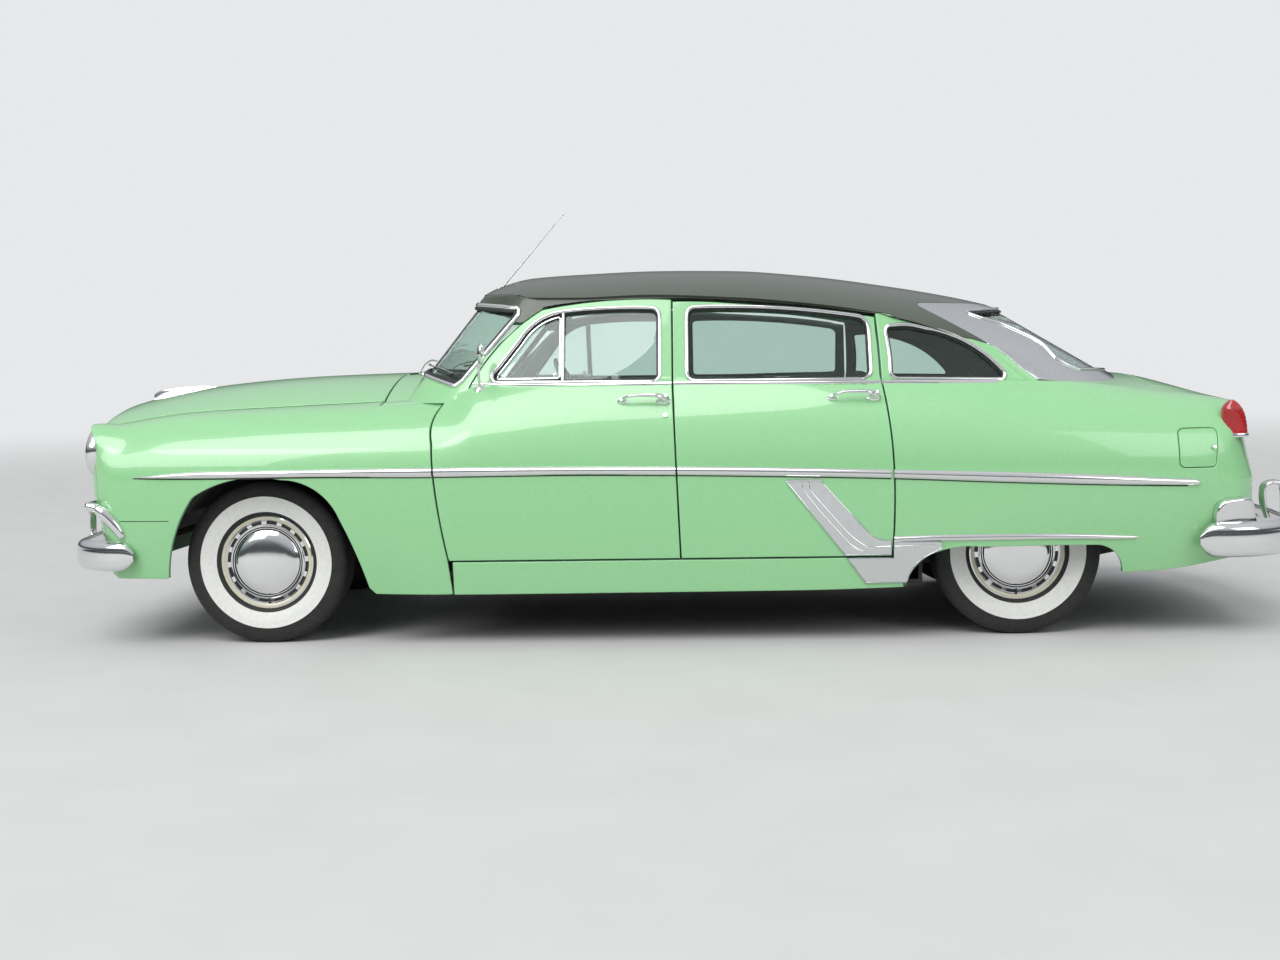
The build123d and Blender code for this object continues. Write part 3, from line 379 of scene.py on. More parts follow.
# Body sections from nose to tail. Columns: place along the car, height on the centre
# line, half-width and height of the hood or deck crease, largest half-width and its
# height, half-width and height of the bottom edge.
BODY_SECTIONS = [
    (-2580, 985, 640, 905, 880, 690, 850, 300),
    (-2408, 1037, 655, 931, 905, 700, 868, 290),
    (-2081, 1090, 655, 975, 940, 700, 890, 285),
    (-1653, 1120, 655, 993, 962, 700, 905, 250),
    (-1240, 1130, 655, 1008, 966, 700, 915, 217),
    (-1000, 1135, 690, 1022, 969, 700, 930, 214),
    (-820, 1120, 800, 1068, 970, 700, 933, 214),
    (-300, 1110, 840, 1078, 970, 700, 935, 215),
    (500, 1105, 843, 1076, 970, 700, 935, 217),
    (1150, 1100, 815, 1064, 970, 700, 930, 235),
    (1600, 1095, 740, 1050, 960, 700, 900, 262),
    (1990, 1076, 670, 1008, 932, 695, 870, 275),
    (2300, 985, 640, 966, 873, 690, 810, 318),
    (2560, 850, 600, 870, 800, 680, 740, 360),
]
CREASE, WIDEST, FOOT = 650.0, 1080.0, 1500.0


def crown_radius(zc: float, yv: float, zv: float) -> float:
    """Radius of a section's top, from the centre line's height to the crease."""
    return (yv * yv + (zc - zv) ** 2) / (2 * (zc - zv))


def side_arc(yw: float, zw: float, y: float, z: float) -> Point2:
    """Radius of the arc that stands upright at the widest point, and another point's angle."""
    r = ((yw - y) ** 2 + (z - zw) ** 2) / (2 * (yw - y))
    return r, atan2(z - zw, y - yw + r)


class LowerBody:
    """Lower body: u runs along the car, v around it from the centre line outwards."""

    nose_radius = 26.0
    tail_radius = 40.0
    plan_bow = Curve([(0, 0), (400, 14), (800, 55), (880, 110), (945, 250)])
    tail_plan = Curve([(0, 0), (400, 34), (780, 130), (860, 201), (930, 390)])
    tail_lean_y = 780
    centre_run = 40
    nacelle_radius, nacelle_blend = 113, 60
    nacelle_rear, nacelle_front, nacelle_end = -2120, -2470, -2100

    def __init__(self) -> None:
        """Make one curve for each column of the section table."""
        places = [row[0] for row in BODY_SECTIONS]
        self.columns = [Curve(list(zip(places, column))) for column in zip(*BODY_SECTIONS)][1:]
        self.rows: dict[float, tuple[float, ...]] = {}

    def row(self, x: float) -> tuple[float, ...]:
        """Section values at one place along the car.

        Args:
            x: place along the car.
        Returns:
            The values.
        """
        key = round(x, 2)
        if key not in self.rows:
            self.rows[key] = tuple(column(x) for column in self.columns)
        return self.rows[key]

    def section(self, x: float, v: float) -> tuple[float, float, float, float]:
        """Point and normal of a cross-section.

        Args:
            x: place along the car.
            v: distance code around the section, from 0 on the centre line.
        Returns:
            Y and Z of the point, then Y and Z of its outward normal.
        """
        zc, yv, zv, yw, zw, yf, zf = self.row(x)
        if v <= CREASE:
            r = crown_radius(zc, yv, zv)
            angle = asin(yv / r) * v / CREASE
            return r * sin(angle), zc - r + r * cos(angle), sin(angle), cos(angle)
        if v <= WIDEST:
            r, top = side_arc(yw, zw, yv, zv)
            angle = top * (WIDEST - v) / (WIDEST - CREASE)
        else:
            r, low = side_arc(yw, zw, yf, zf)
            angle = low * (v - WIDEST) / (FOOT - WIDEST)
        return yw - r + r * cos(angle), zw + r * sin(angle), cos(angle), sin(angle)

    def point(self, u: float, v: float) -> Vector:
        """Point of the skin; a negative v is on the car's left side.

        Args:
            u: coordinate along it.
            v: coordinate across it.
        Returns:
            The point.
        """
        side = 1.0 if v >= 0 else -1.0
        x, inset = u, 0.0
        for end, r, way in ((NOSE_X, self.nose_radius, 1), (TAIL_X, self.tail_radius, -1)):
            run = way * (end - u) + r
            if run > 0:
                turn = min(run / r, pi / 2)
                x = end + way * r * (1 - sin(turn))
                inset = r * (1 - cos(turn)) + max(0.0, run - r * pi / 2)
        y, z, ny, nz = self.section(x, abs(v))
        if abs(v) < self.centre_run:
            ny *= abs(v) / self.centre_run
        y, z = y - ny * inset, z - nz * inset
        nacelle = (self.nacelle_radius - inset) * ramp(x, self.nacelle_rear, self.nacelle_front)
        if nacelle > 0 and x < self.nacelle_end:
            dy, dz = y - HEADLAMP[0], z - HEADLAMP[1]
            away = hypot(dy, dz) or 1.0
            reach = soft_max(away, nacelle, self.nacelle_blend)
            y, z = HEADLAMP[0] + dy * reach / away, HEADLAMP[1] + dz * reach / away
        x = soft_max(x, self.nose_limit(y, z), END_BLEND)
        x = -soft_max(-x, -self.tail_limit(y, z), END_BLEND)
        return Vector((x, side * y, z))

    def nose_limit(self, y: float, z: float) -> float:
        """Foremost place at a half-width and a height."""
        return NOSE_X + self.plan_bow(y) + NOSE_LEAN * max(0.0, LEAN_Z - z)

    def tail_limit(self, y: float, z: float) -> float:
        """Rearmost place at a half-width and a height."""
        lean = TAIL_LEAN * max(0.0, z - LEAN_Z) * min(1.0, (y / self.tail_lean_y) ** 2)
        return TAIL_X - self.tail_plan(y) - lean

    def v_at_z(self, x: float, z: float) -> float:
        """Section coordinate on the side at a height.

        Args:
            x: place along the car.
            z: height.
        Returns:
            The coordinate.
        """
        _, yv, zv, yw, zw, yf, zf = self.row(x)
        if z >= zw:
            r, top = side_arc(yw, zw, yv, zv)
            angle = asin(min(1.0, (z - zw) / r)) if top <= pi / 2 or z < zv else top
            return WIDEST - (WIDEST - CREASE) * min(angle / top, 1.0)
        r, low = side_arc(yw, zw, yf, zf)
        return WIDEST + (FOOT - WIDEST) * min(asin(max(-1.0, (z - zw) / r)) / low, 1.0)

    def v_at_y(self, x: float, y: float) -> float:
        """Section coordinate on the top at a distance from the centre line.

        Args:
            x: place along the car.
            y: distance from the middle plane.
        Returns:
            The coordinate.
        """
        zc, yv, zv, yw, zw, _, _ = self.row(x)
        r = crown_radius(zc, yv, zv)
        if abs(y) <= yv:
            return CREASE * asin(y / r) / asin(yv / r)
        r, top = side_arc(yw, zw, yv, zv)
        angle = acos(min(1.0, (abs(y) - yw + r) / r))
        v = WIDEST - (WIDEST - CREASE) * min(angle / top, 1.0)
        return v if y > 0 else -v

    def side_y(self, x: float, z: float) -> float:
        """Half-width of the side at a height, falling away fast above the crease.

        Args:
            x: place along the car.
            z: height.
        Returns:
            The half-width.
        """
        zv = self.row(x)[2]
        y = self.section(x, self.v_at_z(x, min(z, zv)))[0]
        return y - 4 * max(0.0, z - zv)


# Cabin outlines in plan at the belt and at the roof's edge, from the windshield's centre
# round the right side to the backlight's centre.
CABIN_BELT = [(-1202, 0), (-1110, 640), (-1010, 738), (-879, 790), (250, 838),
              (1450, 735), (1730, 645), (1880, 470), (1985, 0)]
CABIN_ROOF = [(-894, 0), (-822, 540), (-700, 630), (-537, 672), (250, 700),
              (1000, 640), (1170, 570), (1262, 400), (1340, 0)]
BELT_Z, ROOF_Z = 1060.0, 1444.0

# Roof sections. Columns: place along the car, height on the centre line, height at the
# drip edge.
ROOF_SECTIONS = [
    (-1260, 1210, 1190), (-930, 1410, 1385), (-800, 1514, 1425), (-650, 1555, 1432),
    (-400, 1569, 1436), (-100, 1577, 1447), (250, 1571, 1433), (600, 1541, 1396),
    (950, 1490, 1326), (1250, 1435, 1228), (1500, 1372, 1150), (2050, 1180, 980),
]
DRIP_HALF_WIDTH = 700.0


class Cabin:
    """Sides and ends of the cabin: u runs round the plan outline, v is the height."""

    breaks = (0.0, 650.0, 960.0, 3300.0, 3830.0, 4320.0)
    triples = ((-1, 0, 1), (1, 2, 3), (3, 4, 5), (5, 6, 7), (7, 8, -7))

    def __init__(self, inset: float = 0.0) -> None:
        """Keep the inset.

        Args:
            inset: how far the form is moved in.
        """
        self.inset = inset
        self.arcs: dict[float, list[tuple[float, ...]]] = {}

    def outline(self, z: float) -> list[tuple[float, ...]]:
        """Arcs of the plan outline at a height, as centre, radius, start and turn.

        Args:
            z: height.
        Returns:
            Centre, radius, start and turn of each arc.
        """
        key = round(z, 1)
        if key not in self.arcs:
            share = (z - BELT_Z) / (ROOF_Z - BELT_Z)
            points = [(xb + (xr - xb) * share, yb + (yr - yb) * share)
                      for (xb, yb), (xr, yr) in zip(CABIN_BELT, CABIN_ROOF)]
            arcs = []
            for triple in self.triples:
                a, b, c = (points[i] if i >= 0 else (points[-i][0], -points[-i][1])
                           for i in triple)
                ux, uy = centre_of(a, b, c)
                start = atan2(a[1] - uy, a[0] - ux) % (2 * pi)
                turn = -((start - atan2(c[1] - uy, c[0] - ux)) % (2 * pi))
                arcs.append((ux, uy, hypot(a[0] - ux, a[1] - uy), start, turn))
            self.arcs[key] = arcs
        return self.arcs[key]

    def plan(self, u: float, z: float) -> Point2:
        """Point of the outline at a height, before the inset.

        Args:
            u: outline coordinate.
            z: height.
        Returns:
            The point.
        """
        side, u = (1.0, u) if u >= 0 else (-1.0, -u)
        if u > self.breaks[-1]:
            side, u = -side, 2 * self.breaks[-1] - u
        i = min(max(bisect_right(self.breaks, u) - 1, 0), 4)
        s = (u - self.breaks[i]) / (self.breaks[i + 1] - self.breaks[i])
        if i == 0:
            s = 0.5 + s / 2
        elif i == 4:
            s = s / 2
        ux, uy, r, start, turn = self.outline(z)[i]
        angle = start + turn * s
        return ux + r * cos(angle), side * (uy + r * sin(angle))

    def point(self, u: float, v: float) -> Vector:
        """Point of the cabin's skin; a negative u is on the car's left side.

        Args:
            u: coordinate along it.
            v: coordinate across it.
        Returns:
            The point.
        """
        x, y = self.plan(u, v)
        if self.inset:
            x0, y0 = self.plan(u - 2, v)
            x1, y1 = self.plan(u + 2, v)
            length = hypot(x1 - x0, y1 - y0)
            x, y = x + self.inset * (y1 - y0) / length, y - self.inset * (x1 - x0) / length
        return Vector((x, y, v))

    def u_at_x(self, x: float, z: float) -> float:
        """Outline coordinate of the right side at a place along the car."""
        low, high = halved(0.0, self.breaks[-1], lambda u: self.plan(u, z)[0] < x, 34)
        return (low + high) / 2

    def u_at_y(self, y: float, z: float, rear: bool) -> float:
        """Outline coordinate at a distance from the middle, at the front or the rear.

        Args:
            y: distance from the middle plane.
            z: height.
            rear: the rear end instead of the front.
        Returns:
            The coordinate.
        """
        ends = (self.breaks[3], self.breaks[-1]) if rear else (0.0, 1000.0)
        low = halved(*ends, lambda u: (self.plan(u, z)[1] > abs(y)) == rear, 30)[0]
        return low if y >= 0 else -low

    def side_y(self, x: float, z: float) -> float:
        """Half-width of the cabin at a place along the car and a height.

        Args:
            x: place along the car.
            z: height.
        Returns:
            The half-width.
        """
        for ux, uy, r, start, turn in self.outline(z)[1:4]:
            x_end = ux + r * cos(start + turn)
            if x <= x_end or turn is self.outline(z)[3][4]:
                return uy + sqrt(max(r * r - (x - ux) ** 2, 0.0))
        return 0.0


class Roof:
    """Roof skin over the plan: u along the car, v across it."""

    centre = Curve([(row[0], row[1]) for row in ROOF_SECTIONS])
    drip = Curve([(row[0], row[2]) for row in ROOF_SECTIONS])
    places: dict[tuple[float, float, bool], float] = {}

    def height(self, x: float, y: float) -> float:
        """Height of the skin over a place in plan.

        Args:
            x: place along the car.
            y: distance from the middle plane.
        Returns:
            The height.
        """
        zc = self.centre(x)
        fall = zc - self.drip(x)
        r = (DRIP_HALF_WIDTH ** 2 + fall ** 2) / (2 * fall)
        return zc - r + sqrt(r * r - y * y)

    def place(self, y: float, z: float, rear: bool) -> float:
        """Place along the car where the front or rear slope has a height.

        Args:
            y: distance from the middle plane.
            z: height.
            rear: the rear end instead of the front.
        Returns:
            The place.
        """
        key = (round(y, 1), round(z, 1), rear)
        if key not in self.places:
            ends = (250.0, ROOF_SECTIONS[-1][0]) if rear else (ROOF_SECTIONS[0][0], 0.0)
            self.places[key] = halved(*ends, lambda x: (self.height(x, y) > z) == rear, 24)[0]
        return self.places[key]

    def point(self, u: float, v: float) -> Vector:
        """Point of the skin."""
        return Vector((u, v, self.height(u, v)))


class Crown:
    """Cabin with the roof's front and rear slopes: u round the plan, v the height."""

    front_end, blend = 1300, 12

    def point(self, u: float, v: float) -> Vector:
        """Point of the skin; a negative u is on the car's left side.

        Args:
            u: coordinate along it.
            v: coordinate across it.
        Returns:
            The point.
        """
        p = CABIN.point(u, v)
        if abs(u) < self.front_end:
            p.x = soft_max(p.x, ROOF.place(p.y, v, False), self.blend)
        else:
            p.x = -soft_max(-p.x, -ROOF.place(p.y, v, True), self.blend)
        return p


class Side:
    """Side of the car from the sill to the roof: u along the car, v the height."""

    cabin_low, blend = 940, 14

    def __init__(self, lower: LowerBody, cabin: Cabin) -> None:
        """Join the lower body and the cabin.

        Args:
            lower: form below the belt.
            cabin: form above the belt.
        """
        self.lower, self.cabin = lower, cabin

    def point(self, u: float, v: float) -> Vector:
        """Point of the right side.

        Args:
            u: coordinate along it.
            v: coordinate across it.
        Returns:
            The point.
        """
        low = self.lower.side_y(u, v)
        high = self.cabin.side_y(u, v) if v > self.cabin_low else -1e3
        return Vector((u, soft_max(low, high, self.blend), v))


class End:
    """Face of the nose or of the tail: u across the car, v the height."""

    def __init__(self, rear: bool) -> None:
        """Choose the end."""
        self.rear = rear

    def point(self, u: float, v: float) -> Vector:
        """Point of the face.

        Args:
            u: coordinate along it.
            v: coordinate across it.
        Returns:
            The point.
        """
        if self.rear:
            return Vector((-soft_max(-TAIL_X, -LOWER.tail_limit(abs(u), v), END_BLEND), u, v))
        return Vector((soft_max(NOSE_X, LOWER.nose_limit(abs(u), v), END_BLEND), u, v))


LOWER = LowerBody()
FRONT, TAIL = End(False), End(True)
CABIN = Cabin()
ROOF = Roof()
SIDE = Side(LOWER, CABIN)
CROWN = Crown()


def roof_edge(u: float) -> float:
    """Height where the roof meets the cabin's side at an outline coordinate."""
    low, high = halved(1080.0, 1640.0, lambda z: ROOF.height(*CABIN.plan(u, z)) > z, 30)
    return (low + high) / 2


# Finishes. The second colour is mixed in by noise SHADE_SPREAD times as coarse as the fine
# detail, over the middle of its range; without one it is the first colour, a bit darker.

PLAIN_SHADE, SHADE_SPREAD, SHADE_SPAN, BUMP_DEPTH = 0.94, 12, (0.35, 0.65), 0.002


def shader_node(tree: bpy.types.NodeTree, kind: str, *sources: bpy.types.NodeSocket,
                **settings: str) -> bpy.types.Node:
    """Node with its first inputs linked.

    Args:
        tree: node tree of the material or world.
        kind: node type after "ShaderNode".
        sources: sockets that feed its inputs in order.
        settings: attributes of the node.
    Returns:
        The node.
    """
    node = tree.nodes.new("ShaderNode" + kind)
    for name, value in settings.items():
        setattr(node, name, value)
    for source, target in zip(sources, node.inputs):
        tree.links.new(source, target)
    return node


class Pattern(Enum):
    """Fine surface detail of a finish."""

    SMOOTH = "smooth"
    ORANGE_PEEL = "orange peel"
    GRAIN = "grain"
    WEAVE = "weave"
    CAST = "cast"
    BRUSHED = "brushed"


@dataclass(frozen=True)
class Finish:
    """One material with its procedural detail.

    Attributes:
        name: material name.
        color: linear base colour.
        shade: second colour that slow noise mixes in.
        roughness, metallic, coat, coat_roughness, transmission, sheen: shader values.
        ior: index of refraction.
        pattern: fine surface detail.
        relief: strength of the bump.
        scale: detail size in repeats per metre.
        alpha: opacity.
    """

    name: str
    color: Triple
    shade: Optional[Triple] = None
    roughness: float = 0.4
    metallic: float = 0.0
    coat: float = 0.0
    coat_roughness: float = 0.03
    transmission: float = 0.0
    sheen: float = 0.0
    ior: float = 1.5
    pattern: Pattern = Pattern.SMOOTH
    relief: float = 0.1
    scale: float = 60.0
    alpha: float = 1.0

    def material(self) -> bpy.types.Material:
        """The material, made once.

        Returns:
            The Blender material.
        """
        found = bpy.data.materials.get(self.name)
        if found:
            return found
        material = bpy.data.materials.new(self.name)
        material.use_nodes = True
        tree = material.node_tree
        shader, links = tree.nodes["Principled BSDF"], tree.links
        values = {"Metallic": self.metallic, "Coat Weight": self.coat,
                  "Coat Roughness": self.coat_roughness, "IOR": self.ior,
                  "Transmission Weight": self.transmission, "Sheen Weight": self.sheen,
                  "Alpha": self.alpha, "Roughness": self.roughness}
        for socket, value in values.items():
            shader.inputs[socket].default_value = value
        place = shader_node(tree, "TexCoord").outputs["Object"]
        noise = shader_node(tree, "TexNoise", place)
        noise.inputs["Scale"].default_value = max(2.0, self.scale / SHADE_SPREAD)
        noise.inputs["Detail"].default_value = 6.0
        mix = shader_node(tree, "Mix", data_type="RGBA")
        low = self.shade or tuple(c * PLAIN_SHADE for c in self.color)
        mix.inputs["A"].default_value = (*low, 1)
        mix.inputs["B"].default_value = (*self.color, 1)
        span = shader_node(tree, "MapRange", noise.outputs["Fac"])
        span.inputs["From Min"].default_value, span.inputs["From Max"].default_value = SHADE_SPAN
        links.new(span.outputs["Result"], mix.inputs["Factor"])
        links.new(mix.outputs["Result"], shader.inputs["Base Color"])
        height = self.height(tree, place)
        if height is not None:
            bump = shader_node(tree, "Bump")
            bump.inputs["Strength"].default_value = self.relief
            bump.inputs["Distance"].default_value = BUMP_DEPTH
            links.new(height, bump.inputs["Height"])
            links.new(bump.outputs["Normal"], shader.inputs["Normal"])
        return material

    def height(self, tree: bpy.types.NodeTree,
               place: bpy.types.NodeSocket) -> Optional[bpy.types.NodeSocket]:
        """Height signal of the fine detail.

        Args:
            tree: the material's node tree.
            place: object coordinates.
        Returns:
            A height socket, or None for a smooth finish.
        """
        if self.pattern is Pattern.SMOOTH:
            return None
        if self.pattern is Pattern.WEAVE:
            waves = [shader_node(tree, "TexWave", place, bands_direction=way)
                     for way in ("X", "DIAGONAL")]
            for wave in waves:
                wave.inputs["Scale"].default_value = self.scale
                wave.inputs["Distortion"].default_value = 0.6
            return shader_node(tree, "Math", *(wave.outputs["Fac"] for wave in waves),
                               operation="MULTIPLY").outputs[0]
        stretch = shader_node(tree, "Mapping", place)
        if self.pattern is Pattern.BRUSHED:
            stretch.inputs["Scale"].default_value = (0.05, 1.0, 1.0)
        kind = "TexVoronoi" if self.pattern is Pattern.GRAIN else "TexNoise"
        texture = shader_node(tree, kind, stretch.outputs["Vector"])
        texture.inputs["Scale"].default_value = self.scale
        return texture.outputs[0]


PAINT = Finish("mint_paint", (0.29, 0.62, 0.295), (0.278, 0.60, 0.282), 0.3, coat=0.8,
               pattern=Pattern.ORANGE_PEEL, relief=0.015, scale=700)
ROOF_PAINT = Finish("olive_paint", (0.034, 0.050, 0.026), (0.030, 0.045, 0.023), 0.34, coat=0.5,
                    pattern=Pattern.ORANGE_PEEL, relief=0.015, scale=700)
FRAME_PAINT = Finish("inner_paint", (0.20, 0.42, 0.27), None, 0.5,
                     pattern=Pattern.ORANGE_PEEL, relief=0.05, scale=300)
CHROME = Finish("chrome", (0.78, 0.79, 0.80), (0.74, 0.75, 0.77), 0.06, 1.0,
                pattern=Pattern.ORANGE_PEEL, relief=0.006, scale=40)
STAINLESS = Finish("stainless", (0.72, 0.73, 0.74), (0.69, 0.70, 0.71), 0.09, 1.0,
                   pattern=Pattern.BRUSHED, relief=0.008, scale=600)
GLASS = Finish("tinted_glass", (0.72, 0.86, 0.80), None, 0.0, transmission=1.0, ior=1.45,
               pattern=Pattern.ORANGE_PEEL, relief=0.004, scale=8)
LAMP_GLASS = Finish("clear_lens", (0.95, 0.96, 0.96), None, 0.03, transmission=1.0, ior=1.45,
                    pattern=Pattern.GRAIN, relief=0.35, scale=90)
RED_LENS = Finish("red_lens", (0.62, 0.012, 0.015), (0.50, 0.01, 0.012), 0.12, coat=1.0,
                  transmission=0.35, pattern=Pattern.GRAIN, relief=0.3, scale=160)
AMBER_LENS = Finish("parking_lens", (0.92, 0.90, 0.86), None, 0.06, transmission=0.7,
                    pattern=Pattern.GRAIN, relief=0.4, scale=150)
# Black rubber for seals, gaskets, wiper blades and the valve; the same dark finish also paints the
# shadow strip under the side moulding.
RUBBER_AND_PAINTED_SHADOW = Finish("black_rubber_and_painted_shadow", (0.018, 0.018, 0.019), (0.03, 0.03, 0.03), 0.62,
                pattern=Pattern.GRAIN, relief=0.25, scale=900)
TYRE = Finish("tyre_rubber", (0.014, 0.014, 0.015), (0.024, 0.023, 0.022), 0.68,
              pattern=Pattern.GRAIN, relief=0.3, scale=700)
WHITEWALL = Finish("white_sidewall", (0.80, 0.80, 0.77), (0.74, 0.74, 0.70), 0.55,
                   pattern=Pattern.GRAIN, relief=0.12, scale=900)
CREAM = Finish("cream_enamel", (0.60, 0.57, 0.44), None, 0.3, coat=0.6,
               pattern=Pattern.ORANGE_PEEL, relief=0.02, scale=500)
DARK_INLAY = Finish("dark_inlay", (0.012, 0.012, 0.013), None, 0.35,
                    pattern=Pattern.GRAIN, relief=0.05, scale=900)
UNDERCOAT = Finish("undercoat", (0.022, 0.021, 0.020), (0.04, 0.036, 0.032), 0.8,
                   pattern=Pattern.CAST, relief=0.6, scale=260)
IRON = Finish("cast_iron", (0.05, 0.05, 0.052), (0.085, 0.075, 0.065), 0.55, 0.6,
              pattern=Pattern.CAST, relief=0.5, scale=220)
ENGINE_PAINT = Finish("engine_enamel", (0.22, 0.03, 0.02), (0.16, 0.025, 0.018), 0.42,
                      pattern=Pattern.CAST, relief=0.35, scale=200)
EXHAUST_STEEL = Finish("exhaust_steel", (0.16, 0.13, 0.11), (0.26, 0.15, 0.09), 0.5, 0.8,
                       pattern=Pattern.CAST, relief=0.4, scale=160)
SEAT_CLOTH = Finish("seat_cloth", (0.13, 0.17, 0.13), (0.10, 0.135, 0.10), 0.85, sheen=0.35,
                    pattern=Pattern.WEAVE, relief=0.5, scale=420)
SEAT_VINYL = Finish("seat_vinyl", (0.24, 0.36, 0.27), None, 0.45,
                    pattern=Pattern.GRAIN, relief=0.25, scale=700)
CARPET = Finish("carpet", (0.035, 0.05, 0.04), (0.055, 0.07, 0.055), 0.95, sheen=0.4,
                pattern=Pattern.CAST, relief=1.0, scale=900)
HEADLINER = Finish("headliner", (0.30, 0.31, 0.26), (0.26, 0.27, 0.22), 0.9, sheen=0.3,
                   pattern=Pattern.WEAVE, relief=0.4, scale=500)
DASH_PAINT = Finish("dash_paint", (0.10, 0.19, 0.15), None, 0.35, coat=0.6,
                    pattern=Pattern.ORANGE_PEEL, relief=0.04, scale=400)
DIAL = Finish("dial_face", (0.62, 0.60, 0.50), None, 0.4,
              pattern=Pattern.BRUSHED, relief=0.02, scale=600)
DIAL_GLASS = Finish("mirror_glass", (0.88, 0.9, 0.92), None, 0.02, 1.0,
                    pattern=Pattern.ORANGE_PEEL, relief=0.002, scale=20)
WHEEL_RIM = Finish("steering_plastic", (0.06, 0.20, 0.19), (0.05, 0.17, 0.16), 0.22, coat=0.8,
                   pattern=Pattern.ORANGE_PEEL, relief=0.02, scale=300)
FLOOR = Finish("studio_floor", (0.60, 0.60, 0.59), (0.58, 0.58, 0.57), 0.75,
               pattern=Pattern.CAST, relief=0.04, scale=30)


# Mesh building


class Mesh:
    """Vertices and faces of one piece, in millimetres, with a finish for each face."""

    def __init__(self, name: str) -> None:
        """Start an empty mesh.

        Args:
            name: piece name.
        """
        self.name = name
        self.points: list[Vector] = []
        self.faces: list[tuple[int, ...]] = []
        self.finishes: list[Finish] = []
        self.face_finish: list[int] = []
        self.face_normals: list[Optional[list[Vector]]] = []

    def add(self, points: Iterable[Vector], faces: Sequence[Sequence[int]], finish: Finish,
            normals: Optional[Sequence[Vector]] = None,
            chosen: Optional[Sequence[Finish]] = None) -> None:
        """Add points and faces.

        Args:
            points: new points.
            faces: corner numbers among the new points.
            finish: finish of the faces.
            normals: one normal per new point, or None to find them.
            chosen: one finish per face, in place of the one finish.
        """
        base = len(self.points)
        self.points += [Vector(p) for p in points]
        for face, look in zip(faces, chosen or [finish] * len(faces)):
            if len(set(face)) < 3:
                continue
            if look not in self.finishes:
                self.finishes.append(look)
            self.faces.append(tuple(base + i for i in face))
            self.face_finish.append(self.finishes.index(look))
            self.face_normals.append([normals[i] for i in face] if normals else None)

    def grid(self, rows: Sequence[Sequence[Vector]], finish: Finish, around: bool = False,
             caps: bool = False, flip: bool = False) -> None:
        """Add a sheet of quads over rows of points.

        Args:
            rows: rows of equal length.
            finish: finish of the faces.
            around: join each row's ends.
            caps: close the first and last rows with a face.
            flip: turn the faces over.
        """
        count = len(rows[0])
        points = [p for row in rows for p in row]
        faces = []
        for r in range(len(rows) - 1):
            for c in range(count if around else count - 1):
                d = (c + 1) % count
                quad = (r * count + c, r * count + d, (r + 1) * count + d, (r + 1) * count + c)
                faces.append(quad[::-1] if flip else quad)
        if caps:
            low = tuple(range(count))
            high = tuple(range(len(points) - count, len(points)))
            faces.append(low if flip else low[::-1])
            faces.append(high[::-1] if flip else high)
        self.add(points, faces, finish)

    def join(self, other: "Mesh", place: Optional[Matrix] = None) -> None:
        """Add another mesh, moved by a matrix.

        Args:
            other: the mesh to add.
            place: matrix that moves it, or None.
        """
        mirrored = place is not None and place.determinant() < 0
        turn = place.to_3x3() if place is not None else None
        base = len(self.points)
        self.points += [place @ p if place is not None else p.copy() for p in other.points]
        for face, slot, normals in zip(other.faces, other.face_finish, other.face_normals):
            finish = other.finishes[slot]
            if finish not in self.finishes:
                self.finishes.append(finish)
            face = tuple(base + i for i in face)
            if normals and turn is not None:
                normals = [(turn @ n).normalized() for n in normals]
            if mirrored:
                face = face[::-1]
                normals = normals[::-1] if normals else None
            self.faces.append(face)
            self.face_finish.append(self.finishes.index(finish))
            self.face_normals.append(normals)

    def moved(self, place: Matrix, name: str = "") -> "Mesh":
        """A moved copy.

        Args:
            place: the placement.
            name: name of the copy, or nothing for the same.
        Returns:
            The copy.
        """
        copy = Mesh(name or self.name)
        copy.join(self, place)
        return copy

    def mirrored(self, name: str = "") -> "Mesh":
        """The mesh seen in the car's middle plane."""
        return self.moved(Matrix.Diagonal((1, -1, 1, 1)), name)

    def finish(self, sharp: float = 32.0) -> bpy.types.Object:
        """Make the Blender object.

        Args:
            sharp: angle in degrees from which an edge is drawn sharp.
        Returns:
            The object, at the origin.
        """
        mesh = bpy.data.meshes.new(self.name)
        used = sorted({i for face in self.faces for i in face})
        number = {old: new for new, old in enumerate(used)}
        mesh.from_pydata([self.points[i] * MM for i in used], [],
                         [tuple(number[i] for i in face) for face in self.faces])
        mesh.polygons.foreach_set("material_index", self.face_finish)
        for finish in self.finishes:
            mesh.materials.append(finish.material())
        mesh.shade_smooth()
        mesh.set_sharp_from_angle(angle=radians(sharp))
        if any(self.face_normals):
            loops: list[Vector] = []
            for face, normals in zip(self.faces, self.face_normals):
                loops += normals or [Vector((0, 0, 0))] * len(face)
            mesh.normals_split_custom_set(loops)
        mesh.update()
        piece = bpy.data.objects.new(self.name, mesh)
        bpy.context.scene.collection.objects.link(piece)
        log.info("%s: %d faces", self.name, len(self.faces))
        return piece


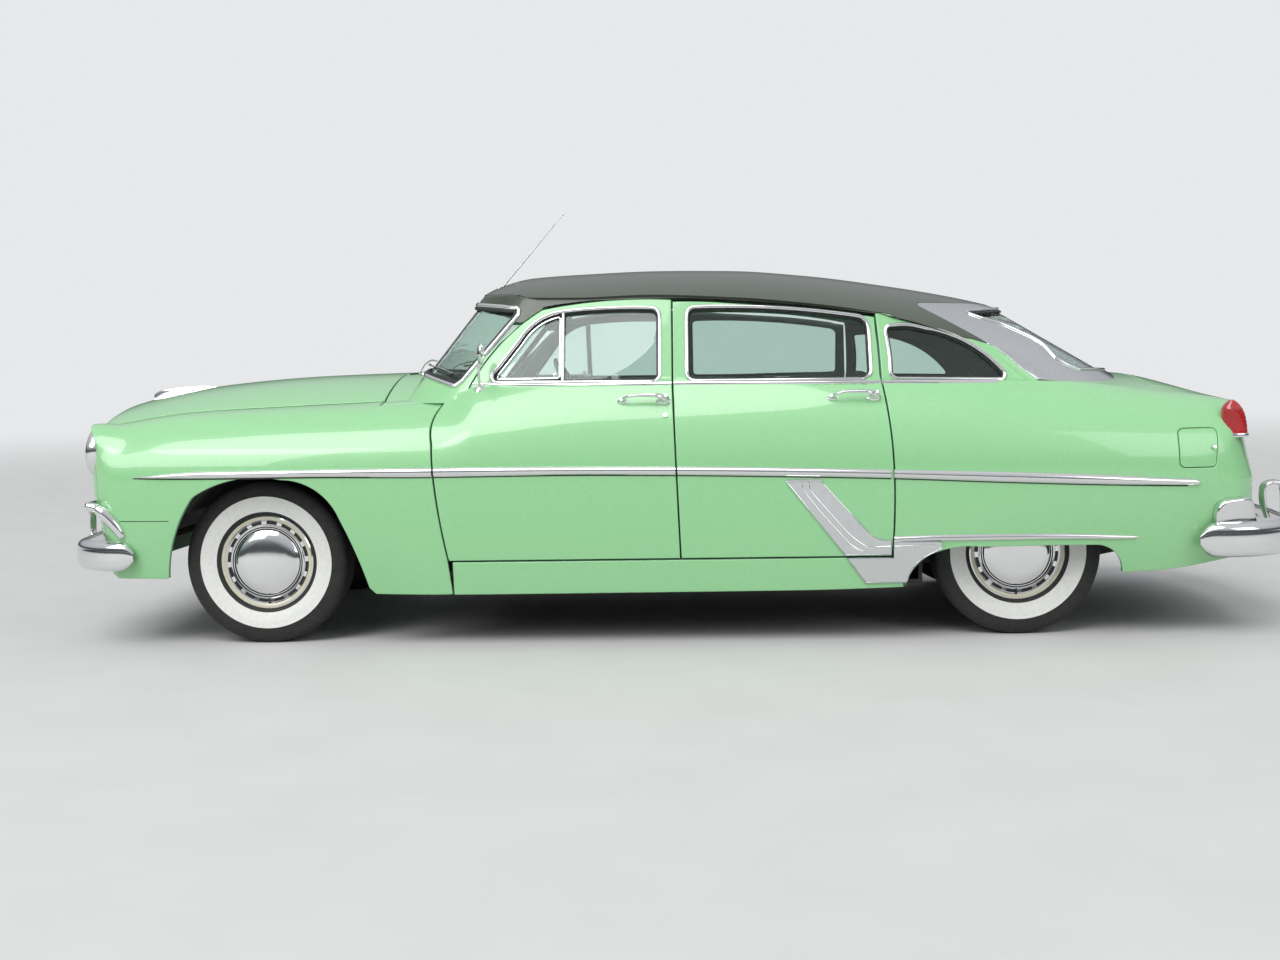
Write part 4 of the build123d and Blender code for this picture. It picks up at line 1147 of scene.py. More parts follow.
@dataclass
class Panel:
    """Sheet panel cut from a surface along loops, with rounded edges and a thickness.

    Attributes:
        surface: form of the outer skin.
        outer: outer boundary in surface coordinates.
        holes: boundaries of holes.
        outward: 1 or -1, the way of the normal.
        thickness: depth of the edge wall.
        radius: edge rounding.
        step: spacing of points.
        skin, wall, lining: finishes of the outer face, edge wall and inner face.
        edge_share, row_share, clear_share: spacing along edges, spacing of rows and distance
            kept from edges, as shares of the step.
    """

    surface: Surface
    outer: Loop
    holes: list[Loop] = field(default_factory=list)
    outward: float = 1.0
    thickness: float = 20.0
    radius: float = 3.0
    step: float = 22.0
    skin: Finish = PAINT
    wall: Finish = FRAME_PAINT
    lining: Finish = FRAME_PAINT
    edge_share, row_share, clear_share = 0.7, 0.87, 0.55

    def normal(self, p: Point2) -> Vector:
        """Outward unit normal at a boundary or inner point."""
        return normal_at(self.surface, p[0], p[1], self.outward)

    def build(self, mesh: Mesh) -> None:
        """Add the panel to a mesh.

        Args:
            mesh: the mesh that receives it.
        """
        loops = [resample(loop, self.step * self.edge_share)
                 for loop in [self.outer, *self.holes]]
        for i, loop in enumerate(loops):
            if (area2(loop) > 0) != (i == 0):
                loop.reverse()
        inner = [inset_loop(loop, self.radius) for loop in loops]
        flat = [p for loop in inner for p in loop]
        edges, start = [], 0
        for loop in inner:
            edges += [(start + i, start + (i + 1) % len(loop)) for i in range(len(loop))]
            start += len(loop)
        flat += self.fill(inner)
        verts, _, faces, *_ = geometry.delaunay_2d_cdt(
            [Vector(p) for p in flat], edges, [], 1, 1e-4)
        kept = []
        for face in faces:
            middle = sum((verts[i] for i in face), Vector((0, 0))) / len(face)
            if inside(tuple(middle), inner[0]) and not any(
                    inside(tuple(middle), hole) for hole in inner[1:]):
                kept.append(tuple(face))
        turned = self.outward > 0
        normals = [self.normal(tuple(v)) for v in verts]
        skin = [self.surface.point(*v) for v in verts]
        up = kept if turned else [face[::-1] for face in kept]
        mesh.add(skin, up, self.skin, normals)
        if self.thickness <= 0:
            return
        depth = self.thickness
        back = [p - n * depth for p, n in zip(skin, normals)]
        mesh.add(back, [face[::-1] for face in up], self.lining, [-n for n in normals])
        for loop, rim in zip(loops, inner):
            self.edge(mesh, loop, rim, turned)

    def edge(self, mesh: Mesh, loop: Loop, rim: Loop, turned: bool) -> None:
        """Add the rounded edge and the wall along one boundary.

        Args:
            mesh: the mesh that receives it.
            loop: boundary of the panel.
            rim: the same boundary moved in by the edge rounding.
            turned: whether the surface's own direction is outward.
        """
        count = len(loop)
        frames = []
        for p, q in zip(loop, rim):
            n = self.normal(p)
            out = self.surface.point(*p) - self.surface.point(*q)
            out = (out - n * out.dot(n)).normalized()
            frames.append((p, q, n, out))
        rings, ring_normals = [], []
        for phi in (0, pi / 6, pi / 3, pi / 2):
            row, row_normals = [], []
            for p, q, n, out in frames:
                s = sin(phi)
                u, v = q[0] + (p[0] - q[0]) * s, q[1] + (p[1] - q[1]) * s
                row.append(self.surface.point(u, v) - n * self.radius * (1 - cos(phi)))
                row_normals.append((n * cos(phi) + out * s).normalized())
            rings.append(row)
            ring_normals.append(row_normals)
        faces = []
        for r in range(3):
            for c in range(count):
                d = (c + 1) % count
                quad = (r * count + c, (r + 1) * count + c, (r + 1) * count + d, r * count + d)
                faces.append(quad if turned else quad[::-1])
        mesh.add([p for row in rings for p in row], faces, self.skin,
                 [n for row in ring_normals for n in row])
        depth = self.thickness
        wall = rings[-1] + [self.surface.point(*p) - n * depth for p, q, n, out in frames]
        wall += [self.surface.point(*q) - n * depth for p, q, n, out in frames]
        outs = [out for _, _, _, out in frames]
        backs = [-n for _, _, n, _ in frames]
        for base, finish, normals in ((0, self.wall, outs * 3), (count, self.lining, backs * 3)):
            quads = []
            for c in range(count):
                d = (c + 1) % count
                quad = (base + c, base + count + c, base + count + d, base + d)
                quads.append(quad if turned else quad[::-1])
            mesh.add(wall, quads, finish, normals)

    def fill(self, loops: list[Loop]) -> Loop:
        """Points spread over the inside of the loops.

        Args:
            loops: outer boundary, then holes.
        Returns:
            Points in surface coordinates.
        """
        vs = [v for _, v in loops[0]]
        tree = kdtree.KDTree(sum(len(loop) for loop in loops))
        for i, p in enumerate(p for loop in loops for p in loop):
            tree.insert((*p, 0), i)
        tree.balance()
        points: Loop = []
        rows = max(1, ceil((max(vs) - min(vs)) / (self.step * self.row_share)))
        for r in range(1, rows):
            v = min(vs) + (max(vs) - min(vs)) * r / rows
            crossings = []
            for loop in loops:
                for (u0, v0), (u1, v1) in zip(loop, [*loop[1:], loop[0]]):
                    if (v0 > v) != (v1 > v):
                        crossings.append(u0 + (u1 - u0) * (v - v0) / (v1 - v0))
            crossings.sort()
            shift = (r % 2) * self.step / 2
            for low, high in zip(crossings[::2], crossings[1::2]):
                u = ceil((low - shift) / self.step) * self.step + shift
                while u < high:
                    if tree.find((u, v, 0))[2] > self.step * self.clear_share:
                        points.append((u, v))
                    u += self.step
        return points


def sweep(mesh: Mesh, path: Sequence[Vector], ups: Sequence[Vector],
          profile: Sequence[Point2], finish: Finish, closed: bool = False,
          taper: Optional[Callable[[float], Point2]] = None) -> None:
    """Carry a closed profile along a path.

    Args:
        mesh: the mesh that receives it.
        path: points of the path.
        ups: outward direction at each point.
        profile: closed outline as sideways and outward distances.
        finish: finish of the faces.
        closed: whether the path is a loop.
        taper: scale of the profile, sideways and outward, for a share of the path.
    """
    count = len(path)
    rows = []
    for i, (p, up) in enumerate(zip(path, ups)):
        if closed:
            way = path[(i + 1) % count] - path[i - 1]
        else:
            way = path[min(i + 1, count - 1)] - path[max(i - 1, 0)]
        way = way.normalized()
        up = (up - way * up.dot(way)).normalized()
        aside = way.cross(up)
        ws, hs = taper(i / (count - 1)) if taper else (1.0, 1.0)
        rows.append([p + aside * (w * ws) + up * (h * hs) for w, h in profile])
    if closed:
        rows.append(rows[0])
    mesh.grid(rows, finish, around=True, caps=not closed, flip=area2(profile) > 0)


def lathe(mesh: Mesh, profile: Sequence[Point2], finish: Finish, count: int = 64,
          finishes: Optional[Callable[[int, int], Finish]] = None,
          shift: Optional[Callable[[int, int], float]] = None) -> None:
    """Turn an open profile of radius and distance along Y about the Y axis.

    Args:
        mesh: the mesh that receives it.
        profile: radius and distance along Y; the outline runs so that its left is inside.
        finish: finish of the faces.
        count: pieces round the axis.
        finishes: finish for a profile piece and a turn piece, in place of the one finish.
        shift: move along Y for a profile point and a turn piece.
    """
    points, faces, chosen = [], [], []
    for i, (r, y) in enumerate(profile):
        for k in range(count):
            a = 2 * pi * k / count
            points.append(Vector((r * cos(a), y + (shift(i, k) if shift else 0), r * sin(a))))
    for i in range(len(profile) - 1):
        for k in range(count):
            m = (k + 1) % count
            quad = [i * count + k, (i + 1) * count + k, (i + 1) * count + m, i * count + m]
            if profile[i][0] < 1e-6:
                quad = [i * count, *quad[1:3]]
            elif profile[i + 1][0] < 1e-6:
                quad = [quad[0], (i + 1) * count, quad[3]]
            faces.append(tuple(quad))
            chosen.append(finishes(i, k) if finishes else finish)
    mesh.add(points, faces, finish, chosen=chosen)


def facing(place: Vector, way: Vector) -> Matrix:
    """Placement that turns a lathed part's axis to a direction."""
    turn = Vector((0, 1, 0)).rotation_difference(way).to_matrix().to_4x4()
    return Matrix.Translation(place) @ turn


def turned(mesh: Mesh, place: Matrix, profile: Sequence[Point2], finish: Finish, count: int,
           finishes: Optional[Callable[[int, int], Finish]] = None) -> None:
    """Add a lathed part at a placement.

    Args:
        mesh: the mesh that receives it.
        place: placement of the part's axis.
        profile, finish, count, finishes: as for lathe.
    """
    part = Mesh("part")
    lathe(part, profile, finish, count, finishes)
    mesh.join(part, place)


def rod(mesh: Mesh, path: Sequence[Vector], up: Triple, profile: Sequence[Point2],
        finish: Finish, taper: Optional[Callable[[float], Point2]] = None,
        closed: bool = False) -> None:
    """Carry a profile along a path with one outward direction; see sweep."""
    sweep(mesh, path, [Vector(up)] * len(path), profile, finish, closed, taper)


def rounded_bar(width: float, height: float, count: int = 10) -> Loop:
    """Half-round profile: flat underside from -width/2 to width/2, crowned on top.

    Args:
        width: full width.
        height: full height.
        count: number of pieces.
    Returns:
        The profile.
    """
    arch = [(width / 2 * cos(pi * i / count), height * sin(pi * i / count) ** 0.8 if 0 < i < count
             else 0.0) for i in range(count + 1)]
    return [*arch, (-width / 2, -3), (width / 2, -3)]


def oval(width: float, height: float, count: int = 16, power: float = 1.0) -> Loop:
    """Closed oval profile centred on the path.

    Args:
        width: full width.
        height: full height.
        count: number of pieces.
        power: exponent that squares the oval.
    Returns:
        The profile.
    """
    points = []
    for i in range(count):
        a = 2 * pi * i / count
        c, s = cos(a), sin(a)
        points.append((width / 2 * abs(c) ** power * (1 if c >= 0 else -1),
                       height / 2 * abs(s) ** power * (1 if s >= 0 else -1)))
    return points


def block(mesh: Mesh, low: Triple, high: Triple, finish: Finish, bevel: float = 3.0) -> None:
    """Box with chamfered edges between two corners.

    Args:
        mesh: the mesh that receives it.
        low, high: corners.
        finish: finish of the faces.
        bevel: size of the chamfer.
    """
    centre = [(a + b) / 2 for a, b in zip(low, high)]
    half = [abs(b - a) / 2 for a, b in zip(low, high)]
    b = min(bevel, *(h * 0.45 for h in half))
    rows = []
    levels = ((-half[2], b), (-half[2] + b, 0), (half[2] - b, 0), (half[2], b))
    for z, cut in levels:
        x, y = half[0] - cut, half[1] - cut
        corner = b * 0.6
        ring = [(x, -y + corner), (x, y - corner), (x - corner, y), (-x + corner, y),
                (-x, y - corner), (-x, -y + corner), (-x + corner, -y), (x - corner, -y)]
        rows.append([Vector((centre[0] + px, centre[1] + py, centre[2] + z)) for px, py in ring])
    mesh.grid(rows, finish, around=True, caps=True)


# Outlines of panels in side view, in (x, z)

PARKING_LAMP = (720.0, 482.0)
A_SEAM, C_SEAM, DOOR_LOW = -996.0, 868.0, 357.0
DOOR_GAP, LID_GAP, SWING_RELIEF = 6.0, 7.0, 8.0


def door_outline(rear: bool, drop: float = 0.0) -> Loop:
    """Outline of a door.

    Args:
        rear: the rear door instead of the front one.
        drop: how far the sloping top is lowered.
    Returns:
        Closed outline in (x, z).
    """
    if rear:
        r = C_SEAM
        return path2(
            ((23, DOOR_LOW), (r + 10, DOOR_LOW)),
            ((r + 10, DOOR_LOW), (r + 6, 880), (r - 16, 1060)),
            ((r - 16, 1060), (r - 30, 1340 - drop)),
            ((r - 30, 1340 - drop), (523, 1384 - drop), (243, 1408 - drop)),
            ((243, 1408 - drop), (123, 1417 - drop), (-3, 1420 - drop)),
            ((-3, 1420 - drop), (-3, 1080)),
            ((-3, 1080), (23, DOOR_LOW)))[:-1]
    f, r = A_SEAM, -3.0
    return path2(
        ((f + 60, DOOR_LOW), (r + 20, DOOR_LOW)),
        ((r + 20, DOOR_LOW), (r - 6, 1080)),
        ((r - 6, 1080), (r - 6, 1420)),
        ((r - 6, 1420), (r - 320, 1418), (r - 550, 1388)),
        ((r - 550, 1388), (f + 300, 1280), (f + 140, 1066)),
        ((f + 140, 1066), (f + 18, 985), (f, 844)),
        ((f, 844), (f + 13, 660), (f + 60, DOOR_LOW)))[:-1]


def window_outline(name: str, grow: float = 0.0) -> Loop:
    """Outline of a side window.

    Args:
        name: front, rear or quarter.
        grow: how far the outline is grown.
    Returns:
        Closed outline in (x, z).
    """
    if name == "front":
        f, r = A_SEAM, -3.0
        loop = path2(
            ((f + 250, 1090), (r - 90, 1085)),
            ((r - 90, 1085), (r - 68, 1092), (r - 60, 1115)),
            ((r - 60, 1115), (r - 60, 1350)),
            ((r - 60, 1350), (r - 68, 1372), (r - 90, 1382)),
            ((r - 90, 1382), (r - 300, 1384), (r - 480, 1372)),
            ((r - 480, 1372), (r - 560, 1342), (f + 350, 1258)),
            ((f + 350, 1258), (f + 250, 1130)),
            ((f + 250, 1130), (f + 238, 1104), (f + 250, 1090)))[:-1]
    elif name == "rear":
        f, r = 3.0, C_SEAM
        loop = path2(
            ((f + 85, 1085), (r - 95, 1080)),
            ((r - 95, 1080), (r - 68, 1090), (r - 58, 1120)),
            ((r - 58, 1120), (r - 60, 1280)),
            ((r - 60, 1280), (r - 74, 1318), (r - 110, 1334)),
            ((r - 110, 1334), (f + 480, 1368), (f + 90, 1382)),
            ((f + 90, 1382), (f + 66, 1374), (f + 56, 1350)),
            ((f + 56, 1350), (f + 56, 1115)),
            ((f + 56, 1115), (f + 64, 1093), (f + 85, 1085)))[:-1]
    else:
        f = C_SEAM + 15
        loop = path2(
            ((f + 40, 1078), (f + 460, 1068)),
            ((f + 460, 1068), (f + 484, 1076), (f + 478, 1100)),
            ((f + 478, 1100), (f + 350, 1210), (f + 160, 1278)),
            ((f + 160, 1278), (f + 75, 1293), (f + 30, 1290)),
            ((f + 30, 1290), (f + 8, 1284), (f + 4, 1266)),
            ((f + 4, 1266), (f + 16, 1110)),
            ((f + 16, 1110), (f + 22, 1088), (f + 40, 1078)))[:-1]
    return inset_loop(loop, -grow) if grow else loop


# Arch outlines. Columns: place behind the axle, height.
FRONT_ARCH = [(-398, 290), (-361, 460), (-270, 632), (-90, 704), (110, 702), (283, 632),
              (345, 540), (405, 400), (467, 200)]
REAR_ARCH = [(-486, 200), (-450, 300), (-384, 357), (-300, 384), (-180, 388), (60, 389),
             (299, 387), (360, 362), (404, 270)]


def arch_path(table: Sequence[Point2], axle_x: float) -> Loop:
    """Wheel arch as a polyline in (x, z), from front to rear."""
    points = [(axle_x + dx, z) for dx, z in table]
    return path2(*zip(points[0:-2:2], points[1:-1:2], points[2::2]))


def to_lower(points: Sequence[Point2]) -> Loop:
    """Side-view points as coordinates of the lower body's right side."""
    return [(x, LOWER.v_at_z(x, z)) for x, z in points]


def to_cabin(points: Sequence[Point2]) -> Loop:
    """Side-view points as coordinates of the cabin's right side."""
    return [(CABIN.u_at_x(x, z), z) for x, z in points]


def straight(a: Point2, b: Point2, count: int = 12) -> Loop:
    """Evenly spaced points on a line, without the last one."""
    return [(a[0] + (b[0] - a[0]) * i / count, a[1] + (b[1] - a[1]) * i / count)
            for i in range(count)]


def skin(x: float, z: float) -> tuple[Vector, Vector]:
    """Point and outward normal on the car's right side at a place in side view.

    Args:
        x: place along the car.
        z: height.
    Returns:
        The point and its normal.
    """
    if z < 1030:
        v = LOWER.v_at_z(x, z)
        return LOWER.point(x, v), normal_at(LOWER, x, v, 1.0)
    return SIDE.point(x, z), normal_at(SIDE, x, z, -1.0)


def end_opening(rear: bool, grow: float = 0.0) -> Loop:
    """Opening of the windshield or the backlight in cabin coordinates.

    Args:
        rear: the backlight instead of the windshield.
        grow: how far the opening is grown.
    Returns:
        Closed loop in cabin coordinates.
    """
    if not rear:
        half = smooth_path([(0, 1142), (300, 1138), (600, 1130), (745, 1112), (850, 1092)], 8)
        half += path2(((880, 1086), (899, 1086), (904, 1104)), ((904, 1104), (899, 1340)),
                      ((899, 1340), (890, 1378), (850, 1389)))
        half += smooth_path([(800, 1396), (650, 1408), (400, 1419), (0, 1426)], 8)
        loop = [*half, *[(-u, z) for u, z in reversed(half[1:-1])]]
        return inset_loop(resample(loop, 18), -grow) if grow else loop
    low, high, z0, z1, bow = 610, 470, 1100, 1384, -6
    outline = path2(
        ((-low, z0), (0, z0 + bow), (low, z0)),
        ((low, z0), (low + 12, z0 + 16), (low + 8, z0 + 50)),
        ((low + 8, z0 + 50), (high + 14, z1 - 90)),
        ((high + 14, z1 - 90), (high - 4, z1 - 50), (high - 50, z1 - 30)),
        ((high - 50, z1 - 30), (0, z1 - 10 + 0.6 * bow), (50 - high, z1 - 30)),
        ((50 - high, z1 - 30), (4 - high, z1 - 50), (-high - 14, z1 - 90)),
        ((-high - 14, z1 - 90), (-low - 8, z0 + 50)),
        ((-low - 8, z0 + 50), (-low - 12, z0 + 16), (-low, z0)))[:-1]
    if grow:
        outline = inset_loop(resample(outline, 25), -grow)
    loop = [(CABIN.u_at_y(y, z, rear), z) for y, z in resample(outline, 18)]
    return [(u if u > 0 else u + 2 * CABIN.breaks[-1], z) for u, z in loop]


@dataclass
class Fenders:
    """Front fenders with the wheel arches and lamp nacelles."""

    seam_y: float = 648.0
    cowl_y: float = 734.0
    nose_run: float = 40.8
    thickness: float = 18.0

    def loop(self) -> Loop:
        """Boundary of the right fender in lower-body coordinates.

        Returns:
            The boundary.
        """
        nose = NOSE_X + LOWER.nose_radius - self.nose_run
        hood_rear = -1250.0
        top = [(x, LOWER.v_at_y(max(x, NOSE_X), self.seam_y)) for x in
               (nose + (hood_rear - nose) * i / 40 for i in range(41))]
        step_out = [(hood_rear, LOWER.v_at_y(hood_rear, self.cowl_y)),
                    (-1040, LOWER.v_at_y(-1040, self.cowl_y))]
        corner = [(x, LOWER.v_at_z(x, z)) for x, z in ((-960, 1040), (-905, 1046))]
        seam = path2(((A_SEAM + 140, 1066), (A_SEAM + 18, 985), (A_SEAM, 844)),
                     ((A_SEAM, 844), (A_SEAM + 13, 660), (A_SEAM + 60, DOOR_LOW)),
                     ((A_SEAM + 60, DOOR_LOW), (A_SEAM + 76, 216)))
        seam = [(x - DOOR_GAP, z) for x, z in seam if z < 1040]
        arch = [p for p in reversed(arch_path(FRONT_ARCH, FRONT_X)) if p[1] > 285]
        arch_low = [p for p in reversed(arch_path(FRONT_ARCH, FRONT_X))
                    if p[1] <= 285 and p[0] > FRONT_X and p[1] > 236]
        foot_front = [(x, FOOT) for x in (FRONT_X - 410, FRONT_X - 500, -2330, -2420, nose)]
        front = [(nose, v) for v in (1400, 1300, 1200, 1080, 960, 840, 740)]
        rear_foot = [(x, FOOT) for x in (A_SEAM + 60, -1060, -1150, -1250)]
        return [*top, *step_out, *corner, *to_lower(seam), *rear_foot,
                *to_lower(arch_low), *to_lower(arch), *foot_front, *front]

    def build(self) -> bpy.types.Object:
        """Both fenders.

        Returns:
            The fender piece.
        """
        mesh = Mesh("front_fenders_skin")
        Panel(LOWER, self.loop(), thickness=self.thickness, radius=4).build(mesh)
        nose = NOSE_X + LOWER.nose_radius - self.nose_run
        rim = [LOWER.point(nose, v) for v in range(690, 1501, 18)]
        face = [(644, 872), *[(p.y, p.z) for p in rim if p.y > 644], (644, 304)]
        holes = [circle(*HEADLAMP, 84, 36), circle(*PARKING_LAMP, 38, 36)]
        Panel(FRONT, face, holes, outward=-1.0, thickness=self.thickness, radius=1).build(mesh)
        mesh.join(mesh.mirrored())
        return mesh.finish()


@dataclass
class Apron:
    """Front panel round the grille's opening."""

    half_width: float = 638.0
    low_z: float = 292.0
    top_z: float = 873.0
    opening: tuple[float, float, float] = (590.0, 550.0, 850.0)

    def opening_loop(self, grow: float = 0.0) -> Loop:
        """Outline of the grille's opening, grown by a distance.

        Args:
            grow: how far the outline is grown.
        Returns:
            The outline.
        """
        half, low, high = self.opening
        half, low, high = half + grow, low - grow, high + grow
        return rounded([(-half, low), (half, low), (half - 20, high), (20 - half, high)],
                       70 + grow)

    def build(self) -> bpy.types.Object:
        """Panel with the opening.

        Returns:
            The panel piece.
        """
        mesh = Mesh("front_apron_skin")
        half = self.half_width
        outer = [(-half, self.low_z), (half, self.low_z), (half, self.top_z), (-half, self.top_z)]
        Panel(FRONT, rounded(outer, 10), [self.opening_loop()], outward=-1.0, thickness=18,
              radius=4).build(mesh)
        return mesh.finish()


@dataclass
class Cowl:
    """Top panel between the hood and the windshield, with its air inlet."""

    front_x: int = -1243
    half_width: float = 727.0

    def build(self) -> bpy.types.Object:
        """Cowl sheet.

        Returns:
            The cowl piece.
        """
        mesh = Mesh("cowl_skin")
        right = [(x, LOWER.v_at_y(x, self.half_width)) for x in range(self.front_x, -1020, 20)]
        base = []
        for u in range(880, -1, -40):
            p = CABIN.point(u, 1110)
            base.append((p.x + 26, LOWER.v_at_y(p.x + 26, max(p.y - 16, 1.0))))
        half = [*right, *base]
        left = [(u, -v) for u, v in reversed(half)]
        inlet = rounded([(-1225, -190), (-1225, 190), (-1185, 170), (-1185, -170)], 12)
        Panel(LOWER, [*half, *left[1:]], [inlet], thickness=14, radius=4).build(mesh)
        for k in range(14):
            block(mesh, (-1226, 12 + 26 * (k - 7), 1118), (-1184, 16 + 26 * (k - 7), 1127),
                  DARK_INLAY, 1)
        return mesh.finish()


@dataclass
class Sills:
    """Painted sills under the doors."""

    front_x: int = -920
    rear_x: int = 926
    step: int = 71
    top_z: float = 351.0
    stand: float = 3.5

    def build(self) -> bpy.types.Object:
        """Both sills.

        Returns:
            The sill piece.
        """
        mesh = Mesh("sill_skins")
        front, rear, step = self.front_x, self.rear_x, self.step
        loop = [*to_lower([(x, self.top_z) for x in range(front, rear + 1, step)]),
                *[(x, FOOT) for x in range(rear, front - 1, -step)]]
        Panel(Inset(LOWER, -self.stand, 1.0), loop, thickness=30, radius=4).build(mesh)
        mesh.join(mesh.mirrored())
        return mesh.finish()


@dataclass
class Door:
    """One door's sheet with its window opening."""

    rear: bool
    thickness: float = 58.0

    @property
    def name(self) -> str:
        """Start of the node names."""
        return "rear_door" if self.rear else "front_door"

    def build(self) -> Mesh:
        """Sheet of the right door.

        Returns:
            The door's mesh.
        """
        mesh = Mesh(self.name + "_right_skin")
        window = window_outline("rear" if self.rear else "front")
        drop = SWING_RELIEF if self.rear else 0.0
        Panel(SIDE, door_outline(self.rear, drop), [window], outward=-1.0,
              thickness=self.thickness, radius=4, lining=SEAT_VINYL).build(mesh)
        return mesh


@dataclass
class Hood:
    """Front-hinged hood with its rolled nose."""

    half_width: float = 638.0
    rear_x: float = -1250.0
    lip_z: float = 880.0
    thickness: float = 14.0

    def nose_u(self, v: float) -> float:
        """Lengthwise coordinate at which the rolled nose reaches the lip's height.

        Args:
            v: section coordinate.
        Returns:
            The coordinate.
        """
        r = LOWER.nose_radius
        z = LOWER.section(NOSE_X, abs(v))[1]
        drop = max(z - self.lip_z, r * 0.3)
        if drop <= r:
            return NOSE_X + r - r * acos(1 - drop / r)
        return NOSE_X + r - r * pi / 2 - (drop - r)

    def loop(self) -> Loop:
        """Boundary in lower-body coordinates.

        Returns:
            The boundary.
        """
        right = []
        for i in range(41):
            x = NOSE_X + (self.rear_x - NOSE_X) * i / 40
            right.append((x, LOWER.v_at_y(x, self.half_width)))
        edge_v = right[0][1]
        nose = [(self.nose_u(v), v) for v in (edge_v * k / 20 for k in range(-20, 21))]
        right = [p for p in right if p[0] > nose[-1][0] + 6]
        left = [(u, -v) for u, v in right]
        return [*nose, *right, *straight(right[-1], left[-1], 30)[1:], *reversed(left)]

    def build(self) -> Mesh:
        """Hood sheet.

        Returns:
            The hood's mesh.
        """
        mesh = Mesh("hood_skin")
        Panel(LOWER, self.loop(), thickness=self.thickness, radius=4).build(mesh)
        return mesh


@dataclass
class TrunkLid:
    """Trunk lid over the deck and down the tail."""

    half_width: float = 553.0
    front_x: float = 2019.0
    low_z: float = 647.0
    thickness: float = 14.0

    def tail_u(self, v: float, grow: float = 0.0) -> float:
        """Lengthwise coordinate at which the rolled tail reaches the lid's lower edge.

        Args:
            v: section coordinate.
            grow: how far the outline is grown.
        Returns:
            The coordinate.
        """
        r = LOWER.tail_radius
        z = LOWER.section(TAIL_X, abs(v))[1]
        drop = z - self.low_z + grow
        return TAIL_X - r + r * pi / 2 + (drop - r)

    def loop(self, grow: float = 0.0) -> Loop:
        """Boundary in lower-body coordinates, grown by a gap.

        Args:
            grow: how far the outline is grown.
        Returns:
            The boundary.
        """
        half, front = self.half_width + grow, self.front_x - grow
        corner_v = LOWER.v_at_y(TAIL_X, half)
        end = self.tail_u(corner_v, grow)
        right = [(front + (end - front) * i / 40, 0.0) for i in range(41)]
        right = [(u, LOWER.v_at_y(min(u, TAIL_X), half)) for u, _ in right]
        tail = [(self.tail_u(v, grow), v) for v in (corner_v * (1 - k / 20) for k in range(41))]
        left = [(u, -v) for u, v in reversed(right)]
        front_edge = straight(left[-1], right[0], 30)[1:]
        return [*right[:-1], *tail, *left[1:], *front_edge]

    def build(self) -> Mesh:
        """Lid sheet.

        Returns:
            The lid's mesh.
        """
        mesh = Mesh("trunk_lid_skin")
        Panel(LOWER, self.loop(), thickness=self.thickness, radius=4).build(mesh)
        return mesh


